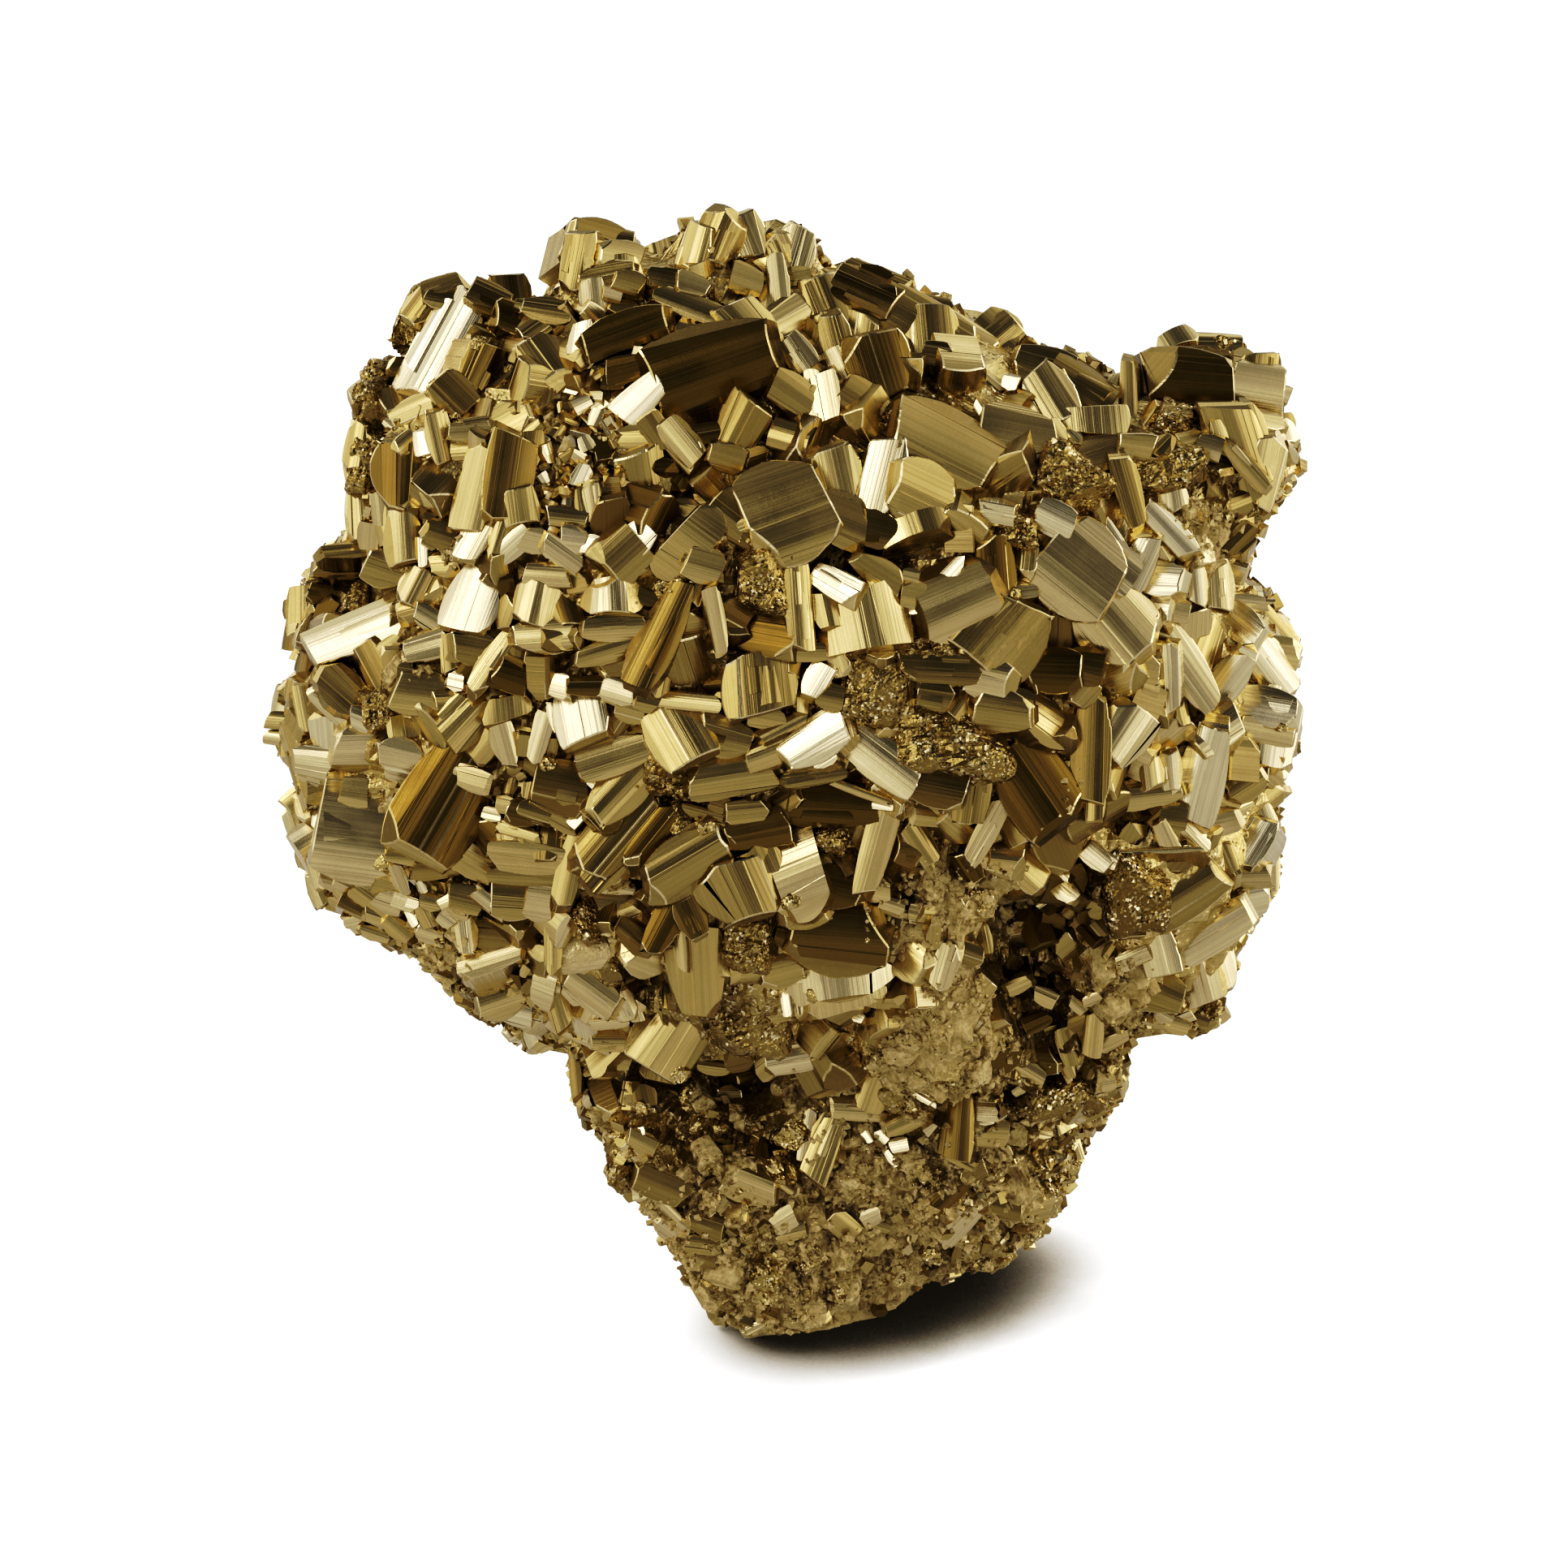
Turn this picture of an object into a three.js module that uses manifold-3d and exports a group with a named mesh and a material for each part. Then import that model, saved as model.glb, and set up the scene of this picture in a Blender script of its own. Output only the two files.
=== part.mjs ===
// A massive pyrite specimen: one intergrown mass of curved, striated cubes.
// Millimetres, +Z up. The origin is on the flat underside of the foot, and the
// side that faces -Y is the front.
import * as THREE from "three";
import { mergeVertices } from "three/addons/utils/BufferGeometryUtils.js";
import Module from "manifold-3d";

// ---- driving dimensions -------------------------------------------------
const FLOOR_Z = 0;            // the foot is flat here
const CORE_SIDES = 20;        // facets round the mass
const CORE_SQUARENESS = 2.4;  // 2 is an ellipse, more is squarer
const WAVE_3 = 0.025;         // three-lobed waviness of the mass, share of its radius
const WAVE_5 = 0.02;          // five-lobed waviness
const GRAIN = 0.035;          // lumpiness of the mass between the crystals, share of its radius
const BARREL = 0.12;          // how far a crystal's outer face falls away at its edge, share of its half width
const BARREL_FLAT = 0.45;     // the share of the half width that stays flat
const BOWED_FROM = 10;        // crystals narrower than twice this have a flat outer face
const SLIVER = 0.1;          // edges and slivers thinner than this are merged away
const COLOUR = 0xb59a55;      // pale brass
const ROUGHNESS = 0.3;
const METALNESS = 0.95;

// The mass behind the crystals, from the foot up. Each level is
// [height, left, right, front, back, slant of the foot].
const LEVELS = [
  [-8,-30,27,-28,34,0.55],
  [0,-33,32,-30,37,0.54],
  [6,-36,40,-32,40,0.5],
  [12,-40,49,-33,43,0.44],
  [22,-46,60,-36,47,0.36],
  [33,-54,65,-40,51,0.26],
  [45,-61,68,-44,55,0.18],
  [60,-70,76,-48,60,0.1],
  [72,-77,80,-52,64,0.05],
  [79,-92,92,-52,67,0],
  [86,-101,103,-54,70,0],
  [95,-110,109,-60,75,0],
  [105,-124,111,-67,79,0],
  [114,-134,113,-72,82,0],
  [125,-145,115,-77,85,0],
  [140,-150,116,-81,88,0],
  [155,-148,118,-84,90,0],
  [175,-149,120,-86,91,0],
  [192,-147,119,-86,88,0],
  [207,-142,113,-85,83,0],
  [218,-135,109,-83,77,0],
  [231,-132,113,-80,69,0],
  [244.6,-131,117,-75,60,0],
  [255,-129,115,-69,50,0],
  [262,-124,100,-63,43,0],
  [269,-117,72,-56,36,0],
  [277,-108,50,-48,29,0],
  [285,-99,34,-40,23,0],
  [292,-86,18,-32,18,0],
  [299,-72,2,-26,13,0],
  [305,-58,-7,-19,9,0],
  [309,-46,-16,-12,5,0]
];

// The crystals. Each is [x, y, z of the middle of its outer face, direction of
// its striations (3), direction that the face looks (3), half length along the
// striations, half width across them, depth].
const CRYSTALS = [
  [-107.4,-19.0,279.4,-0.463,-0.368,-0.807,-0.28,-0.803,0.526,12.8,7.2,23.8],
  [-104.4,-4.3,293.5,-0.984,0.123,0.13,0.0,-0.724,0.689,3.2,3.3,12.1],
  [-93.7,-6.1,291.2,0.152,-0.672,-0.725,0.1,-0.719,0.687,5.6,6.5,17.1],
  [-83.2,-29.0,289.3,-0.779,-0.411,-0.472,0.05,-0.793,0.608,8.1,4.7,19.9],
  [-95.1,-36.9,279.1,-0.439,-0.348,-0.828,0.3,-0.926,0.23,5.2,4.2,15.0],
  [-114.5,-5.6,283.6,-0.458,-0.301,-0.836,-0.2,-0.882,0.427,7.9,3.9,12.2],
  [-123.2,-8.5,267.6,-0.828,-0.024,-0.561,-0.2,-0.921,0.335,4.4,4.9,11.2],
  [-127.1,-24.6,265.1,-0.962,0.144,-0.233,-0.2,-0.95,0.239,3.7,6.4,11.1],
  [-64.8,-7.5,303.8,-0.918,-0.219,0.331,0.35,-0.841,0.413,7.6,7.1,22.0],
  [-57.3,-39.7,288.6,-0.937,-0.136,-0.323,0.0,-0.921,0.389,8.3,5.0,17.8],
  [-35.1,-50.7,282.4,-0.945,-0.118,-0.305,0.0,-0.933,0.361,12.1,10.1,30.4],
  [-53.8,-52.2,274.9,-0.707,-0.021,-0.707,-0.3,-0.896,0.326,5.9,3.9,13.7],
  [-28.0,-59.4,268.8,-0.452,-0.22,-0.865,0.1,-0.976,0.195,6.4,5.0,16.0],
  [-31.3,-20.4,308.9,0.372,-0.42,-0.828,0.0,-0.892,0.452,7.1,7.7,21.5],
  [-15.6,-22.5,305.5,-0.274,-0.491,-0.827,-0.05,-0.851,0.523,6.9,6.5,19.3],
  [-24.4,-38.0,290.7,-0.668,0.336,0.664,0.15,-0.813,0.562,5.9,4.6,16.5],
  [6.8,-15.3,297.1,-0.904,0.243,0.352,0.1,-0.68,0.726,8.2,4.4,19.7],
  [23.8,-31.5,287.8,0.079,-0.602,-0.795,0.08,-0.791,0.607,6.6,8.1,21.2],
  [40.3,-12.5,282.2,-0.75,0.306,0.587,0.2,-0.74,0.642,5.7,6.1,18.2],
  [7.9,-46.6,282.3,0.296,-0.313,-0.902,0.05,-0.939,0.342,6.3,6.5,19.9],
  [-14.0,-52.8,275.5,-0.824,0.058,0.564,0.1,-0.964,0.245,5.7,4.2,13.9],
  [25.2,-63.9,266.9,-0.894,0.06,0.444,0.2,-0.833,0.516,10.6,8.2,26.9],
  [15.5,-55.5,270.9,-0.894,0.153,0.42,0.05,-0.9,0.434,5.8,5.4,15.0],
  [43.1,-55.0,268.6,-0.985,0.018,0.173,0.1,-0.756,0.647,7.4,4.9,17.8],
  [51.3,-41.4,273.3,0.486,-0.535,-0.691,-0.1,-0.819,0.564,6.0,5.5,17.0],
  [63.6,-17.3,273.0,-0.901,0.249,0.357,0.1,-0.68,0.726,8.8,4.3,17.4],
  [90.7,-16.6,266.8,-0.995,-0.057,0.077,0.08,-0.937,0.341,10.1,10.3,28.2],
  [92.3,10.4,274.5,0.426,-0.753,-0.503,-0.1,-0.591,0.8,3.5,7.0,14.4],
  [103.0,7.8,273.2,-0.966,0.069,0.249,0.1,-0.789,0.606,5.0,2.1,9.6],
  [108.8,-6.2,264.7,-0.972,-0.119,0.203,0.2,-0.873,0.445,7.2,8.1,17.5],
  [111.8,-39.8,251.0,-0.185,-0.251,-0.95,0.35,-0.92,0.175,10.2,5.2,22.5],
  [80.7,-54.9,257.1,-0.978,-0.136,-0.159,0.0,-0.761,0.649,10.6,4.7,16.1],
  [55.9,-63.9,257.7,-0.829,0.268,0.491,0.0,-0.878,0.479,9.3,6.5,21.3],
  [-147.7,6.0,199.4,0.0,-0.389,-0.921,-0.15,-0.911,0.385,5.5,5.0,14.7],
  [-128.4,-41.6,209.5,-0.915,0.072,-0.397,-0.3,-0.78,0.55,12.2,5.1,16.8],
  [-97.0,-68.3,226.5,-0.353,-0.406,-0.843,-0.22,-0.839,0.497,6.5,5.8,17.8],
  [-131.2,-51.0,195.9,0.735,-0.217,-0.642,0.25,-0.793,0.555,5.5,4.2,13.9],
  [-110.5,-67.8,201.1,-0.991,-0.012,0.131,0.05,-0.954,0.294,5.3,5.1,15.9],
  [-150.5,-12.1,183.2,-0.978,0.072,0.197,0.0,-0.94,0.342,3.1,3.1,9.3],
  [-98.3,-74.0,196.2,-0.677,-0.283,-0.679,0.05,-0.939,0.342,5.4,4.4,17.5],
  [-104.5,-72.9,173.6,-0.502,-0.312,-0.807,0.0,-0.933,0.361,12.1,8.5,24.5],
  [-69.2,-83.3,200.1,0.198,-0.544,-0.815,-0.25,-0.832,0.495,5.2,5.8,16.4],
  [-96.4,-61.0,254.2,-0.248,-0.257,-0.934,-0.3,-0.896,0.326,8.4,4.0,19.5],
  [-86.7,-63.3,257.5,-0.148,-0.359,-0.921,0.15,-0.929,0.338,8.4,5.2,20.3],
  [-115.0,-51.2,238.1,0.058,-0.339,-0.939,0.05,-0.939,0.342,5.5,4.0,13.8],
  [-27.3,-75.9,251.2,-0.789,0.202,0.58,0.05,-0.92,0.388,5.9,5.6,18.3],
  [-40.7,-78.6,244.1,0.806,-0.223,-0.548,-0.1,-0.964,0.245,3.8,8.9,16.0],
  [-23.2,-82.8,238.4,-0.987,0.144,0.071,-0.1,-0.896,0.433,8.8,7.8,20.4],
  [-48.5,-86.5,223.4,-0.428,-0.354,-0.832,-0.1,-0.896,0.433,10.8,4.1,17.3],
  [-23.2,-89.6,211.9,0.096,-0.432,-0.897,0.0,-0.901,0.434,6.4,7.9,19.6],
  [-43.7,-88.1,197.8,0.487,-0.457,-0.744,0.0,-0.852,0.523,7.0,7.0,20.9],
  [-46.1,-85.2,186.9,-0.982,0.158,0.101,-0.1,-0.896,0.433,7.0,6.5,17.5],
  [-30.5,-88.4,185.9,-0.988,-0.097,-0.122,0.05,-0.939,0.342,8.4,4.7,16.5],
  [-60.2,-83.2,189.5,-0.954,-0.103,-0.282,0.0,-0.94,0.342,7.6,4.2,15.1],
  [-16.4,-77.3,253.8,-0.941,-0.177,-0.289,0.0,-0.852,0.523,9.3,11.1,26.9],
  [7.2,-69.4,260.0,-0.241,-0.42,-0.875,-0.22,-0.854,0.471,7.7,5.4,20.5],
  [-2.7,-76.9,250.5,-0.927,0.066,0.37,0.05,-0.954,0.294,5.5,5.4,17.0],
  [18.9,-73.8,255.5,-0.856,-0.187,0.482,0.35,-0.896,0.273,6.6,7.6,21.2],
  [3.5,-86.0,227.1,0.202,-0.407,-0.891,0.1,-0.896,0.433,6.1,9.4,20.9],
  [27.1,-82.3,231.7,-0.919,-0.153,-0.363,0.0,-0.921,0.389,7.8,7.8,23.1],
  [37.9,-83.8,221.0,-0.643,-0.25,-0.724,0.1,-0.964,0.245,8.3,9.6,24.4],
  [37.1,-76.4,236.7,0.077,-0.341,-0.937,0.0,-0.94,0.342,6.7,4.1,15.0],
  [40.7,-71.7,247.8,-0.99,0.044,-0.138,-0.1,-0.896,0.433,5.4,5.4,15.2],
  [58.3,-73.8,236.6,-0.776,0.228,0.588,0.0,-0.933,0.361,8.5,9.6,24.8],
  [68.5,-73.2,221.6,-0.654,0.211,0.727,0.1,-0.928,0.359,7.1,7.6,21.2],
  [116.4,-3.0,196.6,-0.668,0.197,0.718,0.2,-0.882,0.427,7.3,2.8,12.9],
  [111.7,-26.5,196.1,-0.973,-0.078,0.217,0.15,-0.929,0.338,6.1,5.4,16.9],
  [119.1,-5.2,188.6,-0.952,-0.159,0.26,0.2,-0.97,0.14,2.3,2.3,7.3],
  [86.6,-62.4,206.5,-0.572,0.145,0.807,0.1,-0.964,0.245,10.6,4.2,17.3],
  [109.9,-39.7,187.5,-0.962,0.256,0.093,-0.15,-0.783,0.604,6.1,4.4,19.7],
  [110.2,-42.7,181.3,-0.968,-0.093,0.232,0.15,-0.958,0.242,5.7,2.8,18.6],
  [94.9,-60.1,189.5,-0.784,-0.461,-0.416,0.1,-0.756,0.647,6.7,5.7,25.1],
  [91.8,-64.6,177.3,-0.221,-0.07,-0.973,-0.1,-0.99,0.094,9.5,5.0,22.4],
  [71.3,-78.4,193.3,-0.553,-0.366,-0.749,0.3,-0.926,0.23,5.6,5.8,20.6],
  [61.4,-81.8,190.1,-0.04,-0.338,-0.94,-0.1,-0.935,0.34,10.4,3.8,14.8],
  [52.1,-81.6,211.9,-0.999,0.016,0.037,0.0,-0.921,0.389,5.2,4.6,15.4],
  [38.6,-87.6,202.7,-0.989,0.069,0.128,-0.05,-0.988,0.147,5.7,4.5,15.3],
  [21.1,-82.5,220.3,-0.991,0.136,0.006,-0.1,-0.756,0.647,9.9,4.1,18.2],
  [6.6,-88.4,209.3,-0.991,0.045,0.123,0.0,-0.94,0.342,7.9,7.9,20.7],
  [26.2,-89.8,195.8,-0.996,0.087,0.038,-0.05,-0.823,0.566,12.6,6.6,17.8],
  [-9.4,-90.2,196.0,-0.846,-0.062,-0.529,-0.26,-0.819,0.511,7.6,4.8,17.7],
  [6.6,-91.5,192.5,-0.777,0.381,0.501,-0.12,-0.871,0.477,9.9,4.5,17.6],
  [22.2,-90.7,184.5,-0.984,0.061,0.168,0.0,-0.94,0.342,5.8,5.2,16.9],
  [47.2,-87.1,182.5,-0.555,0.3,0.776,0.0,-0.933,0.361,9.3,7.3,21.7],
  [-148.2,-20.9,154.5,-0.786,-0.182,-0.591,0.0,-0.956,0.295,3.9,3.2,9.8],
  [-149.9,-19.4,146.3,0.271,-0.18,-0.945,-0.15,-0.978,0.143,4.0,2.1,8.6],
  [-144.6,-25.3,145.7,-0.474,-0.267,-0.839,0.3,-0.945,0.131,3.2,2.5,9.6],
  [-128.5,-57.3,161.0,-0.991,0.016,0.13,0.03,-0.939,0.342,8.4,13.3,24.5],
  [-86.3,-80.7,148.9,-0.996,-0.02,0.092,0.05,-0.939,0.342,5.3,4.6,15.3],
  [-92.9,-56.7,112.0,-0.947,-0.168,-0.275,0.1,-0.964,0.245,5.1,5.5,17.8],
  [-141.9,-36.0,134.7,0.379,-0.228,-0.897,0.0,-0.969,0.246,4.0,3.0,10.7],
  [-145.4,-35.2,135.5,0.257,-0.263,-0.93,-0.1,-0.964,0.245,3.4,2.2,8.7],
  [-141.3,-26.5,128.0,-0.949,0.108,0.297,0.0,-0.94,0.342,2.8,2.6,8.3],
  [-74.3,-80.9,179.8,-0.981,0.067,0.184,0.0,-0.94,0.342,5.3,5.8,16.5],
  [-57.5,-84.5,182.2,-0.684,-0.303,-0.664,0.02,-0.917,0.398,9.4,5.0,17.9],
  [-59.7,-85.8,169.4,-0.642,-0.289,-0.71,0.02,-0.932,0.361,10.0,6.2,18.8],
  [-40.6,-88.1,162.1,-0.857,-0.216,-0.468,0.08,-0.953,0.294,9.7,5.7,19.5],
  [-14.4,-87.0,161.6,-0.921,-0.004,-0.39,-0.2,-0.854,0.481,5.1,11.3,20.2],
  [-28.1,-86.5,153.4,0.418,-0.247,-0.874,0.05,-0.954,0.294,6.0,8.8,18.5],
  [-39.6,-81.1,128.3,0.046,-0.104,-0.993,0.04,-0.994,0.106,9.1,5.7,18.7],
  [-70.4,-78.9,132.4,-0.987,0.04,-0.155,-0.06,-0.99,0.126,6.4,3.9,14.9],
  [-67.4,-72.9,120.0,-0.802,0.135,0.582,-0.06,-0.987,0.147,6.1,4.2,15.0],
  [-46.3,-68.8,105.4,-0.547,-0.122,-0.828,0.03,-0.991,0.127,8.6,7.4,23.0],
  [-25.5,-81.0,136.2,-0.984,0.06,0.165,0.0,-0.94,0.342,6.0,6.0,16.1],
  [-25.6,-74.9,111.6,-0.996,0.022,0.086,0.0,-0.969,0.246,9.6,7.5,19.3],
  [-4.6,-90.5,178.5,-0.997,0.024,0.067,0.0,-0.94,0.342,8.7,4.8,16.4],
  [-3.1,-83.7,153.7,-0.972,0.08,0.219,0.0,-0.94,0.342,5.4,4.3,14.0],
  [31.2,-88.1,180.7,-0.145,-0.219,-0.965,-0.04,-0.973,0.227,5.7,3.9,15.8],
  [-3.0,-83.6,140.0,-0.998,0.023,0.059,0.0,-0.933,0.361,9.9,8.2,23.7],
  [-1.3,-80.6,126.8,0.137,-0.244,-0.96,0.0,-0.969,0.246,3.9,9.5,18.4],
  [107.6,-48.7,153.3,-0.53,-0.312,-0.788,-0.18,-0.867,0.465,6.1,5.4,16.4],
  [111.2,-44.5,157.9,0.329,-0.246,-0.912,0.1,-0.951,0.293,4.6,2.6,12.6],
  [108.1,-29.0,127.3,-0.98,-0.109,-0.169,0.1,-0.993,0.063,6.7,4.4,15.1],
  [75.9,-69.2,147.4,-0.996,-0.029,-0.08,0.0,-0.94,0.342,7.4,9.3,19.2],
  [90.0,-59.9,143.2,-0.852,-0.205,-0.481,0.02,-0.932,0.361,7.7,5.4,20.3],
  [95.7,-42.7,124.0,-0.84,-0.01,-0.542,-0.12,-0.971,0.205,9.3,4.3,18.7],
  [82.2,-54.3,124.0,0.232,-0.213,-0.949,-0.14,-0.973,0.184,5.6,4.1,17.2],
  [96.7,-37.1,107.6,0.253,-0.107,-0.961,0.06,-0.99,0.126,6.0,6.7,18.8],
  [82.2,-49.2,110.9,-0.928,0.127,0.349,0.0,-0.94,0.342,5.8,4.8,14.9],
  [-12.4,-67.6,99.4,-0.985,-0.025,-0.17,0.0,-0.989,0.147,7.6,3.8,15.6],
  [-50.0,-43.8,51.9,-0.92,0.09,0.382,0.05,-0.939,0.342,6.2,4.0,14.8],
  [-25.8,-49.3,53.9,-0.931,0.09,0.355,-0.04,-0.988,0.147,5.4,4.2,13.5],
  [29.0,-52.0,72.6,-0.096,-0.322,-0.942,-0.2,-0.921,0.335,6.8,3.8,15.6],
  [31.0,-34.3,38.4,-0.684,-0.11,-0.721,-0.04,-0.982,0.187,7.1,4.1,14.8],
  [55.8,-47.5,78.9,-0.961,-0.112,-0.252,0.02,-0.94,0.342,7.9,3.9,11.3],
  [17.9,80.2,86.3,-0.975,0.113,0.191,0.048,0.948,-0.314,17.0,16.4,39.7],
  [-145.0,41.6,138.4,-0.061,0.696,0.715,-0.692,0.487,-0.533,16.1,12.8,32.0],
  [-8.3,90.8,200.2,-0.316,-0.11,0.942,-0.218,0.975,0.041,15.1,15.8,37.6],
  [42.8,88.6,155.7,-0.531,-0.411,-0.741,-0.276,0.911,-0.308,15.6,13.2,39.8],
  [97.6,59.4,217.0,-0.62,0.176,0.765,0.667,0.631,0.395,13.5,12.9,35.1],
  [-55.0,71.0,243.1,-0.996,0.069,-0.057,0.02,0.792,0.61,18.9,14.8,40.0],
  [80.4,75.7,115.9,0.951,-0.308,-0.013,0.308,0.946,0.1,16.0,17.5,39.1],
  [-111.0,47.9,235.5,0.1,0.855,-0.51,-0.924,0.271,0.272,20.9,14.8,35.6],
  [-26.7,37.6,273.6,0.797,-0.569,0.203,0.296,0.661,0.69,14.4,13.7,34.7],
  [62.7,76.2,205.9,-0.488,0.706,-0.514,0.451,0.708,0.544,17.4,14.2,36.2],
  [101.9,39.0,243.4,-0.759,-0.206,0.618,0.47,0.482,0.739,16.0,11.9,35.7],
  [68.3,39.3,47.2,0.268,0.741,0.616,0.53,0.42,-0.736,11.0,10.5,24.8],
  [-95.9,79.0,198.0,-0.268,-0.417,0.869,-0.427,0.859,0.281,18.4,13.5,37.2],
  [-110.3,48.0,97.2,0.388,-0.88,-0.274,-0.121,0.246,-0.962,12.6,9.6,27.9],
  [-20.8,95.3,145.2,0.975,-0.127,0.18,0.139,0.989,-0.058,15.3,16.3,36.2],
  [-70.6,26.7,284.0,0.888,0.284,-0.363,-0.124,0.906,0.405,12.4,10.2,31.5],
  [-83.5,79.6,111.0,-0.061,-0.139,-0.988,-0.732,0.679,-0.05,14.3,13.4,33.2],
  [-54.4,86.4,124.5,0.923,0.226,0.31,-0.064,0.888,-0.455,20.1,14.9,35.4],
  [-57.6,92.4,165.1,-0.487,-0.341,0.804,0.023,0.916,0.402,12.3,11.7,32.9],
  [-52.0,82.6,208.2,-0.858,-0.458,0.232,-0.047,0.52,0.853,19.7,14.8,40.6],
  [-59.0,25.9,49.4,0.101,0.297,0.949,-0.405,0.884,-0.234,10.5,10.4,26.3],
  [-23.3,79.7,234.1,-0.705,-0.639,0.306,-0.015,0.445,0.895,15.7,16.1,41.8],
  [2.9,61.3,50.3,-0.962,-0.059,-0.265,0.008,0.97,-0.242,10.2,8.7,21.9],
  [-111.7,62.4,213.9,0.033,-0.236,0.971,-0.2,0.951,0.238,15.3,13.7,32.0],
  [49.9,61.3,239.2,0.04,-0.383,0.923,0.031,0.923,0.382,18.1,15.7,33.2],
  [-133.0,64.3,137.1,-0.348,-0.466,0.813,-0.814,0.581,-0.016,19.7,12.6,40.6],
  [-88.4,88.0,169.7,0.531,0.73,-0.429,-0.847,0.451,-0.281,14.0,12.5,32.5],
  [-79.0,70.7,223.2,0.036,0.679,-0.733,-0.637,0.581,0.506,12.0,10.8,33.3],
  [-89.7,45.7,81.4,0.747,0.652,0.129,-0.368,0.568,-0.736,10.4,9.1,27.1],
  [40.0,85.8,130.8,0.683,-0.7,-0.208,0.648,0.713,-0.269,13.9,12.2,28.7],
  [-15.7,77.7,89.4,0.979,0.01,-0.205,-0.079,0.939,-0.334,11.8,9.2,25.8],
  [115.7,42.0,147.9,-0.431,0.88,0.202,0.896,0.389,0.216,10.8,10.4,33.0],
  [111.6,41.0,170.4,0.017,-0.957,-0.288,0.795,-0.162,0.585,9.0,9.2,21.6],
  [17.9,71.0,233.9,-0.12,-0.094,0.988,0.325,0.937,0.129,13.2,9.5,27.7],
  [89.3,34.9,74.2,-0.327,0.832,-0.448,0.553,-0.216,-0.805,10.0,8.9,24.9],
  [-5.5,50.5,259.6,-0.388,-0.695,0.606,-0.056,0.674,0.737,10.5,12.0,25.9],
  [-108.8,27.2,261.2,-0.329,-0.593,0.735,-0.263,0.805,0.532,11.8,9.3,26.5],
  [0.5,78.3,223.3,-0.962,-0.025,0.273,0.167,0.737,0.655,9.1,10.8,27.3],
  [68.3,63.6,83.8,-0.624,-0.307,-0.719,0.053,0.901,-0.431,9.5,9.7,22.2],
  [92.9,69.6,182.5,0.714,-0.698,-0.053,0.698,0.704,0.13,12.7,9.0,29.5],
  [-145.2,39.1,164.7,0.36,0.175,0.916,-0.767,0.614,0.184,10.5,11.7,30.2],
  [55.1,74.8,89.8,0.352,0.697,0.625,-0.103,0.693,-0.714,9.7,9.8,25.9],
  [84.1,70.4,142.9,-0.219,0.626,0.749,0.488,0.735,-0.471,8.5,8.4,28.6],
  [25.6,78.7,213.2,-0.84,-0.393,0.374,0.216,0.389,0.895,14.7,10.2,30.5],
  [-20.9,84.2,113.0,0.096,0.226,0.969,0.327,0.913,-0.245,9.6,8.7,26.1],
  [23.3,60.4,247.5,0.684,-0.187,0.705,-0.561,0.483,0.672,10.6,9.9,22.5],
  [-65.5,43.3,68.6,-0.567,-0.746,-0.351,-0.62,0.666,-0.414,13.7,11.2,33.5],
  [-29.1,91.8,183.5,0.535,0.091,-0.84,-0.345,0.931,-0.119,12.1,9.4,26.9],
  [83.9,48.9,79.4,-0.293,-0.155,-0.943,0.906,0.271,-0.326,9.3,8.3,22.0],
  [68.3,86.8,177.9,0.006,-0.156,0.988,0.257,0.955,0.149,8.7,9.0,25.3],
  [-130.1,28.1,228.0,0.069,-0.78,-0.622,-0.947,-0.247,0.205,10.1,10.7,28.0],
  [77.4,51.1,245.2,0.205,-0.947,0.249,0.664,0.321,0.675,10.8,8.3,20.8],
  [100.6,63.5,157.2,-0.942,0.317,0.111,0.302,0.944,-0.136,12.3,11.4,30.3],
  [107.8,32.8,92.3,-0.536,-0.215,-0.817,0.843,-0.073,-0.533,11.4,11.6,26.8],
  [-47.2,29.6,280.9,0.213,-0.773,0.598,0.083,0.624,0.777,13.1,11.4,26.1],
  [3.5,96.3,156.9,0.836,-0.127,-0.534,-0.095,0.925,-0.369,11.4,9.8,28.1],
  [-86.8,88.3,140.8,0.675,0.71,-0.2,-0.725,0.689,-0.0,13.1,11.8,29.0],
  [-109.8,9.6,275.5,0.67,-0.197,0.716,-0.667,0.262,0.697,11.9,10.4,30.3],
  [-130.5,59.7,191.8,0.478,-0.054,-0.877,-0.48,0.82,-0.312,8.8,10.0,21.9],
  [104.5,48.9,121.0,-0.326,0.825,0.461,0.826,0.486,-0.285,14.3,11.5,26.2],
  [22.7,86.6,116.8,-0.296,0.565,0.77,0.062,0.816,-0.575,10.3,11.2,25.2],
  [-132.8,47.8,116.2,-0.476,0.791,0.384,0.126,0.493,-0.861,10.1,8.8,25.9],
  [49.9,67.9,76.2,0.219,0.199,0.955,-0.321,0.939,-0.122,10.7,10.6,28.0],
  [-128.9,43.7,217.1,-0.116,-0.836,-0.537,-0.99,0.144,-0.01,10.7,9.6,23.3],
  [-89.7,32.3,271.0,0.852,0.523,-0.01,-0.412,0.683,0.603,13.9,9.7,27.9],
  [1.7,80.1,103.4,-0.36,0.571,0.737,-0.014,0.787,-0.617,10.8,9.7,21.6],
  [-139.7,8.7,117.6,-0.666,0.385,0.64,-0.744,-0.401,-0.534,8.3,9.7,22.7],
  [-34.1,73.3,86.8,-0.693,0.503,0.516,-0.067,0.668,-0.741,8.7,8.7,25.9],
  [-115.0,71.7,167.3,0.641,0.565,-0.52,-0.726,0.666,-0.171,15.4,13.1,29.6],
  [-56.7,46.2,264.4,-0.524,0.619,-0.585,-0.301,0.508,0.807,12.6,9.3,27.5],
  [-3.8,34.8,276.9,-0.206,-0.621,0.757,0.007,0.772,0.635,12.5,10.0,25.5],
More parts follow.
